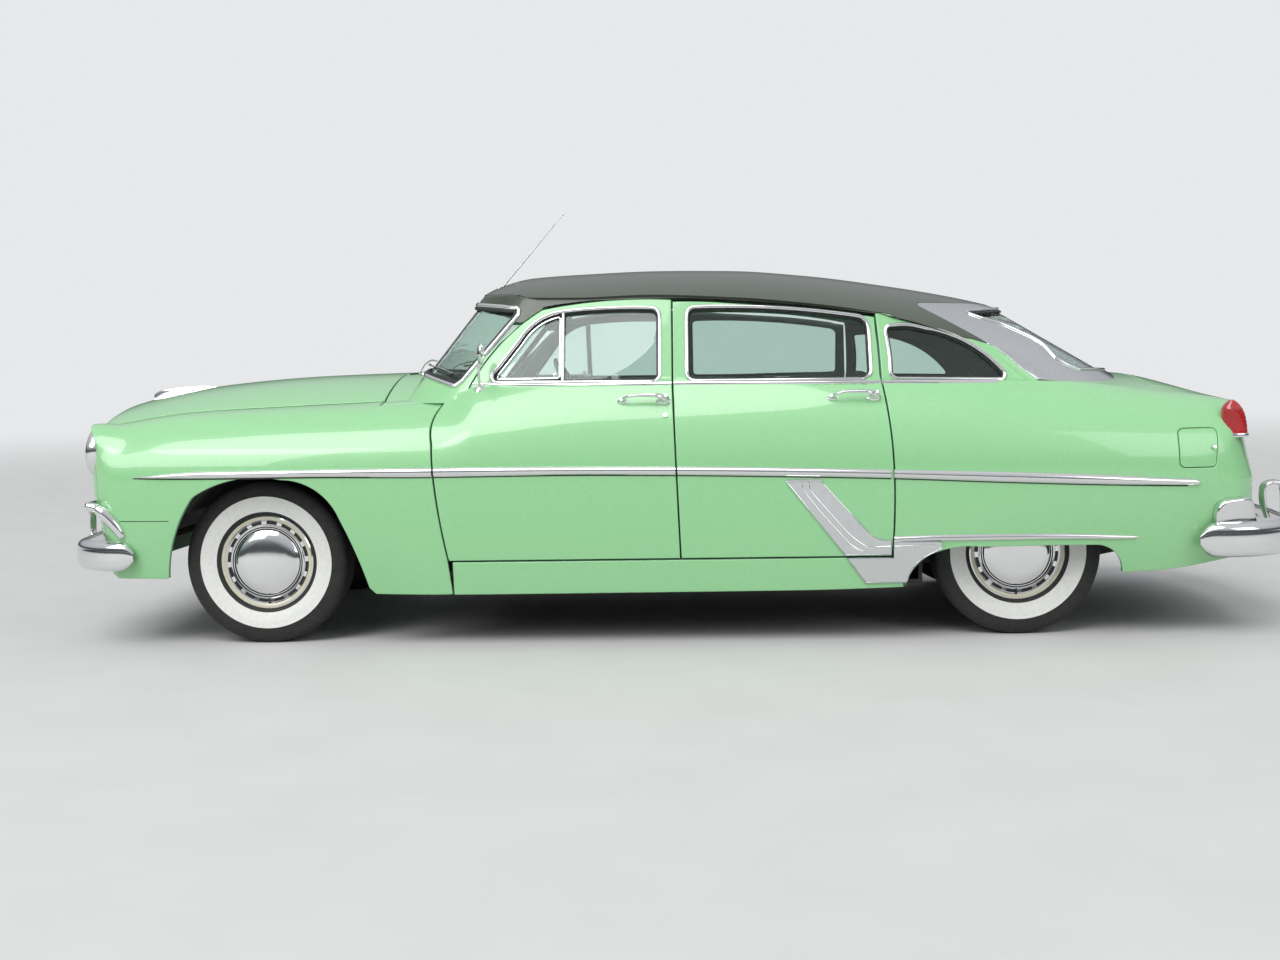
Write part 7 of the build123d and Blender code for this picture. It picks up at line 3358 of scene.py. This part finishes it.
@dataclass
class DoorCard:
    """Inner panel of a door with its armrest, handle and crank.

    Attributes:
        rear: the rear door's card instead of the front one's.
        depth: distance from the door's skin.
        front_ends, rear_ends: first and last place of the two cards.
        top_z: height of the top edge.
        rib_zs, rest_z: heights of the bright ribs and of the armrest.
    """

    rear: bool
    depth: float = 46.0
    front_ends: Point2 = (-900, -50)
    rear_ends: Point2 = (40, 828)
    top_z: float = 1046
    rib_zs: Triple = (560, 600, 640)
    rest_z: float = 800

    def build(self) -> Mesh:
        """Card of the right door.

        Returns:
            The card's mesh.
        """
        name = "rear" if self.rear else "front"
        mesh = Mesh(name + "_door_card")
        surface = Inset(SIDE, self.depth)
        x0, x1 = self.rear_ends if self.rear else self.front_ends
        low = 440 if self.rear else 380
        foot = [(x0 + 16, low), (x1 - (110 if self.rear else 20), low)]
        side = [(x1, 620), (x1, 1040)] if self.rear else [(x1, 1040)]
        loop = rounded([*foot, *side, (x0, self.top_z)], 30)
        Panel(surface, loop, outward=-1.0, thickness=4, radius=1, step=40, skin=SEAT_VINYL,
              wall=SEAT_VINYL, lining=SEAT_VINYL).build(mesh)
        panel = Inset(SIDE, self.depth + 6)
        for z in self.rib_zs:
            line = [panel.point(x, z) for x in spread(x0 + 50, x1 - 60, 30)]
            rod(mesh, line, (0, -1, 0), rounded_bar(7, 4, 6), STAINLESS)
        middle = (x0 + x1) / 2 + 60
        rest = [panel.point(x, self.rest_z) + Vector((0, -22, 0)) for x in
                spread(middle - 150, middle + 150, 20)]
        rod(mesh, rest, (0, -1, 0), oval(58, 52, 20, 0.7), SEAT_VINYL,
            lambda s: (0.5 + 0.5 * sin(pi * min(max(s, 0.04), 0.96)) ** 0.4,) * 2)
        for x, reach, z in ((middle - 190, 92, 742), (middle + 60, 70, 930)):
            hub = panel.point(x, z)
            turned(mesh, Matrix.Translation(hub) @ Matrix.Rotation(pi, 4, "Z"),
                   [(15, 0), (15, 10), (10, 18), (0, 20)], CHROME, 24)
            arm = [hub + Vector((reach * k / 8, -14 - 10 * sin(pi * k / 16), 0)) for k in range(9)]
            rod(mesh, arm, (0, -1, 0), oval(13, 8, 10), CHROME)
        return mesh


@dataclass
class Dashboard:
    """Dashboard with instruments, column and shift lever.

    Attributes:
        outline: cross-section in side view.
        half_width: half its width.
        dials: distance from the middle plane, height and radius of each instrument.
        face_x: place of the instruments.
        knob_ys, knob_z: places of the knobs.
        ticks: number of marks on a dial.
        wheel_x, column_y, column_z, slope: middle of the steering wheel and its column's slope
            in degrees.
    """

    outline: Loop = field(default_factory=lambda: [
        (-1040, 1044), (-1048, 912), (-964, 826), (-904, 806), (-866, 838), (-852, 900),
        (-858, 985), (-902, 1040)])
    half_width: float = 602.0
    dials: tuple[Triple, ...] = ((-390.0, 945.0, 66.0), (-250.0, 940.0, 40.0),
                                 (-530.0, 940.0, 40.0), (0.0, 945.0, 34.0))
    face_x: float = -855.0
    knob_ys: tuple[float, ...] = (-120, -90, 80, 285)
    knob_z: float = 856.0
    ticks: int = 12
    wheel_x: float = -430.0
    column_y: float = -390.0
    column_z: float = 985.0
    slope: float = 28.0

    def tilt(self) -> Matrix:
        """Placement whose +Y axis runs up the steering column to the driver."""
        axis = Vector((cos(radians(self.slope)), 0, sin(radians(self.slope))))
        return facing(Vector((self.wheel_x, self.column_y, self.column_z)), axis)

    def build(self) -> Mesh:
        """Dashboard and column.

        Returns:
            The dashboard's mesh.
        """
        mesh = Mesh("dashboard_dress")
        outline = rounded(self.outline, 18)
        rows = []
        for y in spread(-self.half_width, self.half_width, 30):
            past = max(abs(y) - self.half_width + 60, 0) / 60
            cut = 0.10 * past * past
            rows.append([Vector((-950 + (x + 950) * (1 - cut), y, 925 + (z - 925) * (1 - cut)))
                         for x, z in outline])
        mesh.grid(rows, DASH_PAINT, around=True, caps=True, flip=area2(outline) < 0)
        for y, z, r in self.dials:
            dial = Mesh("dial")
            lathe(dial, [(r + 9, -16), (r + 8, 6), (r + 4, 10), (r, 9), (r - 1, 2)], CHROME, 48)
            lathe(dial, [(r - 1, 2), (r * 0.5, 1.6), (0, 1.6)], DIAL, 48)
            for k in range(self.ticks):
                a = radians(-210 + 240 * k / (self.ticks - 1))
                tick = [Vector((c * cos(a), 2.4, -c * sin(a))) for c in (r * 0.74, r * 0.92)]
                rod(dial, tick, (0, 1, 0), [(-1, -1), (1, -1), (1, 1), (-1, 1)], DARK_INLAY)
            hand = [Vector((c * 0.5, 4, c * 0.8)) for c in (-r * 0.12, r * 0.3, r * 0.7)]
            rod(dial, hand, (0, 1, 0), oval(2.6, 1.4, 8), RED_LENS,
                lambda s: (1 - 0.7 * s, 1.0))
            mesh.join(dial, Matrix.Translation((self.face_x, y, z))
                      @ Matrix.Rotation(-pi / 2, 4, "Z"))
        for z in spread(880, 925, 9):
            strip = [Vector((self.face_x + 2, y, z)) for y in spread(80, 250, 17)]
            rod(mesh, strip, (1, 0, 0), rounded_bar(5, 4, 6), CHROME)
        door = resample(rounded([(310, 862), (560, 862), (560, 962), (310, 962)], 14), 14)
        rod(mesh, [Vector((self.face_x + 1, y, z)) for y, z in door], (1, 0, 0),
            rounded_bar(5, 3, 6), CHROME, closed=True)
        for y in self.knob_ys:
            turned(mesh, Matrix.Translation((self.face_x - 3, y, self.knob_z))
                   @ Matrix.Rotation(-pi / 2, 4, "Z"),
                   [(6, -8), (6, 8), (12, 12), (12, 20), (8, 24), (0, 25)], CREAM, 24)
        self.column(mesh)
        return mesh

    def column(self, mesh: Mesh) -> None:
        """Add the column, its bracket and the shift lever.

        Args:
            mesh: the mesh that receives it.
        """
        turned(mesh, self.tilt(), [(0, -664), (22, -662), (24, -640), (24, -330), (27, -326),
                                   (27, -70), (33, -62), (33, -34), (30, -31), (0, -31)],
               DASH_PAINT, 40)
        hub = self.tilt() @ Vector((0, -80, 0))
        tip = hub + Vector((40, 200, 60))
        path = [hub.lerp(tip, k / 8) + Vector((0, 0, 12 * sin(pi * k / 8))) for k in range(9)]
        rod(mesh, path, (0, 0, 1), oval(10, 10, 12), CHROME)
        turned(mesh, Matrix.Translation(tip), [(0, -16), (11, -12), (15, 0), (12, 11), (0, 16)],
               CREAM, 24)
        block(mesh, (-936, self.column_y - 28, 706), (-872, self.column_y + 28, 826),
              DASH_PAINT, 8)


@dataclass
class SteeringWheel:
    """Two-spoke wheel with a finger-grip rim, a hub and a horn ring."""

    radius: float = 212.0
    rim: float = 11.5
    grips: int = 36

    def build(self) -> Mesh:
        """Steering wheel in the car.

        Returns:
            The wheel's mesh.
        """
        wheel = Mesh("steering_wheel_dress")
        rows, count = [], 4 * self.grips
        for k in range(count):
            a = 2 * pi * k / count
            grip = self.rim - 1.3 * (0.5 - 0.5 * cos(a * self.grips)) * (
                1 if sin(a) > -0.9 else 0)
            rows.append([Vector(((self.radius + grip * cos(b)) * cos(a), grip * sin(b),
                                 (self.radius + grip * cos(b)) * sin(a)))
                         for b in (2 * pi * j / 14 for j in range(14))])
        rows.append(rows[0])
        wheel.grid(rows, WHEEL_RIM, around=True, flip=True)
        lathe(wheel, [(0, -24), (34, -24), (38, -12), (37, 4), (30, 14)], WHEEL_RIM, 48)
        lathe(wheel, [(30, 14), (29, 17), (20, 22), (8, 25), (0, 25)], CHROME, 48)
        for side in (-1, 1):
            for gap in (-9, 0, 9):
                spoke = [Vector((side * x, 2 - 6 * sin(pi * x / self.radius),
                                 gap * (0.7 + x / (2 * self.radius))))
                         for x in spread(30, 206, 22)]
                rod(wheel, spoke, (0, 1, 0), oval(5.5, 5.5, 8), CHROME)
        ring_path = [Vector((112 * cos(a), 9, 112 * sin(a))) for a in
                     (radians(200 + 140 * k / 30) for k in range(31))]
        path = [Vector((-34, 9, 0)), *ring_path, Vector((34, 9, 0))]
        rod(wheel, path, (0, 1, 0), oval(7, 7, 10), CHROME)
        turn = Matrix.Rotation(pi / 2, 4, "Y")
        return wheel.moved(Dashboard().tilt() @ turn, wheel.name)


@dataclass
class Cabinet:
    """Floor covering and rear shelf."""

    floor_z: float = 247.0
    tunnel: Point2 = (114.0, 384.0)

    def build(self) -> Mesh:
        """Carpet and shelf.

        Returns:
            The mesh.
        """
        mesh = Mesh("carpet")
        half, top = self.tunnel
        ys = [(-690, 0), (-half - 22, 0), (-half - 4, 0.12), (-half + 8, 0.9), (-half + 26, 1),
              (0, 1.03), (half - 26, 1), (half - 8, 0.9), (half + 4, 0.12), (half + 22, 0),
              (690, 0)]
        rows = [[Vector((x, y, self.floor_z + (top - self.floor_z) * h + 4)) for y, h in ys]
                for x in spread(-1010, 940, 60)]
        mesh.grid(rows, CARPET)
        shelf = [[Vector((x, y, 1000 + 8 * sin(pi * (x - 1270) / 200))) for y in
                  spread(-600, 600, 60)] for x in spread(1270, 1560, 30)]
        mesh.grid(shelf, CARPET)
        return mesh


@dataclass
class Antenna:
    """Tapered rod with a ball tip on a chrome foot, on the roof over the windshield."""

    foot: Triple = (-829.0, 0.0, 1500.0)
    tip: Triple = (-518.0, 0.0, 1854.0)

    def build(self) -> Mesh:
        """Antenna.

        Returns:
            The antenna's mesh.
        """
        mesh = Mesh("antenna_rod")
        foot, tip = Vector(self.foot), Vector(self.tip)
        path = [foot.lerp(tip, k / 16) for k in range(17)]
        rod(mesh, path, (0, 1, 0), oval(8, 8, 12), STAINLESS,
            lambda s: (1 - 0.55 * round(s * 3) / 3,) * 2)
        turned(mesh, Matrix.Translation(tip - (tip - foot).normalized() * 3),
               [(0, -5), (4, -3), (5, 0), (4, 3), (0, 5)], CHROME, 16)
        turned(mesh, Matrix.Translation(foot + Vector((0, 0, -2)))
               @ Matrix.Rotation(pi / 2, 4, "X"),
               [(21, -16), (21, -4), (16, 6), (12, 14), (7, 22), (0, 23)], CHROME, 32)
        return mesh


@dataclass
class Engine:
    """In-line engine with head, manifold, air cleaner, fan and gearbox.

    Attributes:
        front, rear: ends of the block.
        half_width: half the width of the block.
        low_z, deck_z, top_z: bottom of the sump, deck and top of the head.
        cylinders: number of plugs and manifold runners.
        cleaner: place of the air cleaner in plan.
        fan_z: height of the fan's axis.
    """

    front: float = -2150.0
    rear: float = -1290.0
    half_width: float = 150.0
    low_z: float = 335.0
    deck_z: float = 700.0
    top_z: float = 780.0
    cylinders: int = 6
    cleaner: Point2 = (-1660, -40)
    fan_z: float = 610

    def build(self) -> Mesh:
        """Engine.

        Returns:
            The engine's mesh.
        """
        mesh = Mesh("engine_dress")
        w, f, r = self.half_width, self.front, self.rear
        upright = Matrix.Rotation(pi / 2, 4, "X")
        block(mesh, (f, -w, self.low_z + 130), (r, w, self.deck_z), ENGINE_PAINT, 18)
        block(mesh, (f + 40, -w + 20, self.low_z), (r - 40, w - 20, self.low_z + 136), IRON, 34)
        block(mesh, (f + 10, -w + 12, self.deck_z - 4), (r - 10, w - 12, self.top_z), IRON, 22)
        for x in spread(f + 70, r - 70, 60):
            for y in (-w + 34, w - 34):
                turned(mesh, Matrix.Translation((x, y, self.top_z - 2)) @ upright,
                       [(11, 0), (11, 9), (8, 12), (0, 12)], STAINLESS, 6)
        for k in range(self.cylinders):
            x = f + 90 + k * (r - f - 180) / (self.cylinders - 1)
            turned(mesh, Matrix.Translation((x, 0, self.top_z - 2)) @ upright,
                   [(13, 0), (13, 12), (8, 14), (7, 42), (4, 44), (4, 52), (0, 52)],
                   WHITEWALL, 16)
            runner = [Vector((x, w + s * 70, self.deck_z - 90 - 60 * s * s))
                      for s in (0, 0.3, 0.6, 1)]
            rod(mesh, runner, (1, 0, 0), oval(52, 40, 14), IRON)
        pipe = [Vector((x, w + 72, self.deck_z - 152)) for x in spread(f + 70, r - 60, 50)]
        rod(mesh, pipe, (0, 1, 0), oval(58, 62, 16), IRON)
        turned(mesh, Matrix.Translation((*self.cleaner, self.top_z + 14)) @ upright,
               [(0, 0), (60, 0), (64, 10), (64, 40), (128, 46), (134, 56), (134, 104),
                (126, 114), (40, 122), (20, 128), (0, 128)], UNDERCOAT, 48)
        self.fan(mesh)
        block(mesh, (-1262, -168, 302), (-1142, 168, 618), IRON, 46)
        block(mesh, (-1146, -80, 172), (-820, 80, 300), IRON, 22)
        return mesh

    def fan(self, mesh: Mesh) -> None:
        """Add the fan and its pulley.

        Args:
            mesh: the mesh that receives it.
        """
        fan = Mesh("fan")
        lathe(fan, [(0, -40), (70, -38), (74, -30), (62, -22), (74, -14), (74, -6), (30, -2),
                    (30, 12), (0, 14)], IRON, 40)
        for k in range(4):
            a = pi / 4 + k * pi / 2
            turn = Matrix.Rotation(a, 4, "Y")
            blade = [turn @ Vector((x, 2, 0)) for x in spread(26, 168, 24)]
            sweep(fan, blade, [turn @ Vector((0, 0.86, 0.5))] * len(blade),
                  [(-34, -1.5), (34, -1.5), (34, 1.5), (-34, 1.5)], STAINLESS)
        mesh.join(fan, Matrix.Translation((self.front - 20, 0, self.fan_z))
                  @ Matrix.Rotation(pi / 2, 4, "Z"))


PLAIN_LOOKS: dict[str, Finish] = {
    "floor_pan": UNDERCOAT, "wheelhouses": UNDERCOAT, "rear_axle": IRON,
    "front_suspension": IRON, "exhaust": EXHAUST_STEEL, "fuel_tank": UNDERCOAT,
    "knuckle_left": IRON, "knuckle_right": IRON}


def paint_plain_nodes() -> None:
    """Give the plain nodes that stay their procedural materials."""
    for name, finish in PLAIN_LOOKS.items():
        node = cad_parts[name]
        if not node.material_slots:
            node.data.materials.append(finish.material())
        for material_slot in node.material_slots:
            material_slot.link = "OBJECT"
            material_slot.material = finish.material()
        log.info("%s: plain piece with %s", name, finish.name)


def dress_interior() -> None:
    """Build the seats, dashboard, door cards, carpet, engine and antenna."""
    Bench("front_seat", ((-330, 122, 268), (180, 640, 470)),
          ((-128, 522), (1, -0.05), 236, 640, 74, 58),
          ((238, 738), (0.245, 0.97), 256, 640, 52, 44)).build()
    Bench("rear_seat", ((566, 122, 268), (980, 552, 470)),
          ((778, 522), (1, -0.06), 222, 640, 82, 58),
          ((1128, 786), (0.333, 0.943), 226, 552, 52, 44), True).build()
    for rear in (False, True):
        pair(DoorCard(rear).build(), ("rear" if rear else "front") + "_door", "seat_cloth")
    fit(Dashboard().build().finish(), "body", "dashboard", slot="dash_paint")
    fit(SteeringWheel().build().finish(), "steering_wheel", "steering_wheel",
        slot="wheel_plastic")
    fit(Cabinet().build().finish(), "body", slot="floor_paint")
    fit(Antenna().build().finish(), "body", "antenna", slot="antenna_steel")
    fit(Engine().build().finish(), "body", "engine", slot="iron")
    paint_plain_nodes()
@dataclass
class Camera:
    """Camera that stands where the photo was taken.

    Attributes:
        place: position in millimetres.
        yaw, pitch, roll: turn in degrees.
        lens, sensor: focal length and width of the sensor in millimetres.
    """

    place: Triple = (130.0, -7110.0, 1164.0)
    yaw: float = 2.53
    pitch: float = -4.48
    roll: float = 1.02
    lens: float = 42.63
    sensor: float = 36.0

    def build(self) -> bpy.types.Object:
        """Make it the scene's camera.

        Returns:
            The camera object.
        """
        data = bpy.data.cameras.new("camera")
        data.lens = self.lens
        data.sensor_width = self.sensor
        camera = bpy.data.objects.new("camera", data)
        bpy.context.scene.collection.objects.link(camera)
        turn = (Matrix.Rotation(radians(self.yaw), 3, "Z")
                @ Matrix.Rotation(radians(self.pitch), 3, "X")
                @ Matrix.Rotation(radians(self.roll), 3, "Y"))
        right, forward, up = turn.col[0], turn.col[1], turn.col[2]
        frame3 = Matrix((right, up, -forward)).transposed()
        camera.matrix_world = (Matrix.Translation(Vector(self.place) * MM)
                               @ frame3.to_4x4())
        bpy.context.scene.camera = camera
        return camera


@dataclass
class Studio:
    """Plain floor, pale surroundings and soft lamps, in metres.

    Attributes:
        floor_half: half the floor's edge length.
        pale: colour of the surroundings where the camera sees them.
        fade: distances over which the floor fades into them.
        key, fill: place and watts of the two area lamps.
        lamp_size, lamp_aim: their edge length and the height that they face.
        sun_power, sun_angle, sun_way: strength, width in degrees and direction of the sun.
        glow: strength of the surroundings as light.
        sky: their colours from straight down (0) to straight up (1).
    """

    floor_half: float = 400.0
    pale: Triple = (0.80, 0.81, 0.82)
    fade: Point2 = (9.0, 26.0)
    key: tuple[Triple, float] = ((-6.5, -8.0, 6.5), 300.0)
    fill: tuple[Triple, float] = ((7.0, -7.0, 5.0), 150.0)
    lamp_size: float = 5.0
    lamp_aim: float = 0.7
    sun_power: float = 1.5
    sun_angle: float = 38.0
    sun_way: Triple = (0.25, 0.62, -1.0)
    glow: float = 0.75
    sky: tuple[tuple[float, Triple], ...] = (
        (0.0, (0.30, 0.30, 0.29)), (0.47, (0.22, 0.22, 0.21)), (0.50, (0.07, 0.075, 0.08)),
        (0.56, (0.13, 0.14, 0.15)), (0.66, (0.62, 0.65, 0.68)), (1.0, (0.95, 0.97, 1.0)))

    def build(self) -> None:
        """Make the floor, the surroundings and the lamps."""
        mesh = bpy.data.meshes.new("studio_floor")
        h = self.floor_half
        mesh.from_pydata([(-h, -h, 0), (h, -h, 0), (h, h, 0), (-h, h, 0)], [], [(0, 1, 2, 3)])
        mesh.materials.append(self.floor_material())
        floor = bpy.data.objects.new("studio_floor", mesh)
        bpy.context.scene.collection.objects.link(floor)
        self.lamp("key_lamp", *self.key)
        self.lamp("fill_lamp", *self.fill)
        self.sun()
        self.world()

    def floor_material(self) -> bpy.types.Material:
        """Floor that fades into the pale surroundings far from the car.

        Returns:
            The floor's material.
        """
        material = FLOOR.material()
        tree = material.node_tree
        place = shader_node(tree, "TexCoord").outputs["Object"]
        length = shader_node(tree, "VectorMath", place, operation="LENGTH").outputs["Value"]
        far = shader_node(tree, "MapRange", length, interpolation_type="SMOOTHSTEP")
        far.inputs["From Min"].default_value, far.inputs["From Max"].default_value = self.fade
        both = shader_node(tree, "Math", far.outputs["Result"], self.seen_directly(tree),
                           operation="MULTIPLY")
        glow = shader_node(tree, "Emission")
        glow.inputs["Color"].default_value = (*self.pale, 1)
        mix = shader_node(tree, "MixShader", both.outputs[0],
                          tree.nodes["Principled BSDF"].outputs["BSDF"],
                          glow.outputs["Emission"])
        tree.links.new(mix.outputs["Shader"], tree.nodes["Material Output"].inputs["Surface"])
        return material

    def seen_directly(self, tree: bpy.types.NodeTree) -> bpy.types.NodeSocket:
        """1 for what the camera sees itself or through glass, else 0.

        Args:
            tree: node tree of the material or world.
        Returns:
            The socket.
        """
        seen = shader_node(tree, "LightPath").outputs
        return shader_node(tree, "Math", seen["Is Camera Ray"], seen["Is Transmission Ray"],
                           operation="MAXIMUM").outputs[0]

    def sun(self) -> bpy.types.Object:
        """Broad even light from high on the left.

        Returns:
            The lamp object.
        """
        data = bpy.data.lights.new("sky_lamp", "SUN")
        data.energy = self.sun_power
        data.angle = radians(self.sun_angle)
        lamp = bpy.data.objects.new("sky_lamp", data)
        lamp.rotation_euler = Vector(self.sun_way).to_track_quat("-Z", "Y").to_euler()
        bpy.context.scene.collection.objects.link(lamp)
        return lamp

    def lamp(self, name: str, place: Triple, power: float) -> bpy.types.Object:
        """Square area lamp that faces the car.

        Args:
            name: object name.
            place: position in metres.
            power: power in watts.
        Returns:
            The lamp object.
        """
        data = bpy.data.lights.new(name, "AREA")
        data.shape = "SQUARE"
        data.size = self.lamp_size
        data.energy = power
        lamp = bpy.data.objects.new(name, data)
        lamp.location = place
        aim = Vector((0, 0, self.lamp_aim)) - Vector(place)
        lamp.rotation_euler = aim.to_track_quat("-Z", "Y").to_euler()
        bpy.context.scene.collection.objects.link(lamp)
        return lamp

    def world(self) -> None:
        """Pale surroundings with a darker horizon for what the chrome mirrors."""
        world = bpy.data.worlds.new("studio")
        bpy.context.scene.world = world
        world.use_nodes = True
        tree = world.node_tree
        tree.nodes.clear()
        out = shader_node(tree, "OutputWorld")
        seen = shader_node(tree, "Background")
        seen.inputs["Color"].default_value = (*self.pale, 1)
        place = shader_node(tree, "TexCoord").outputs["Generated"]
        height = shader_node(tree, "SeparateXYZ", place).outputs["Z"]
        half = shader_node(tree, "Math", height, operation="MULTIPLY_ADD")
        half.inputs[1].default_value = half.inputs[2].default_value = 0.5
        band = shader_node(tree, "ValToRGB", half.outputs[0])
        stops = band.color_ramp.elements
        for stop, (at, color) in zip(list(stops), (self.sky[0], self.sky[-1])):
            stop.position, stop.color = at, (*color, 1)
        for at, color in self.sky[1:-1]:
            stops.new(at).color = (*color, 1)
        lit = shader_node(tree, "Background", band.outputs["Color"])
        lit.inputs["Strength"].default_value = self.glow
        mix = shader_node(tree, "MixShader", self.seen_directly(tree),
                          lit.outputs["Background"], seen.outputs["Background"])
        tree.links.new(mix.outputs["Shader"], out.inputs["Surface"])


def fit(piece: bpy.types.Object, body: str, *nodes: str, slot: str = "") -> bpy.types.Object:
    """Make a piece ride on a body.

    Args:
        piece: the piece.
        body: body that it rides on.
        nodes: plain nodes that it stands for.
        slot: not used.
    Returns:
        The piece.
    """
    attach(piece, body)
    if nodes:
        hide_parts(*nodes)
    return piece


def dress_panels() -> None:
    """Build the painted panels in place of the plain ones."""
    fit(Fenders().build(), "body", "front_fenders", slot="paint")
    fit(Apron().build(), "body", "front_apron", slot="paint")
    fit(Cowl().build(), "body", "cowl", slot="paint")
    fit(Sills().build(), "body", slot="paint")
    for rear in (False, True):
        door = Door(rear)
        right = door.build()
        for side, mesh in (("right", right), ("left", right.mirrored(door.name + "_left_skin"))):
            name = f"{door.name}_{side}"
            fit(mesh.finish(), name, name, slot="paint")
    fit(Hood().build().finish(), "hood", "hood", slot="paint")
    fit(TrunkLid().build().finish(), "trunk_lid", "trunk_lid", slot="paint")
    fit(RearBody().build().finish(), "body", "rear_body", slot="paint")
    fit(FuelDoor().build(), "fuel_door", "fuel_door", slot="paint")
    fit(RoofShell().build().finish(), "body", "roof", slot="roof_paint")


def main() -> None:
    """Build the car's looks and the studio around it."""
    logging.basicConfig(level=logging.INFO, format="%(message)s")
    bpy.context.scene.view_settings.view_transform = "Standard"
    Camera().build()
    Studio().build()
    dress_panels()
    dress_trim()
    dress_running_gear()
    dress_interior()


if __name__ == "__main__":
    main()
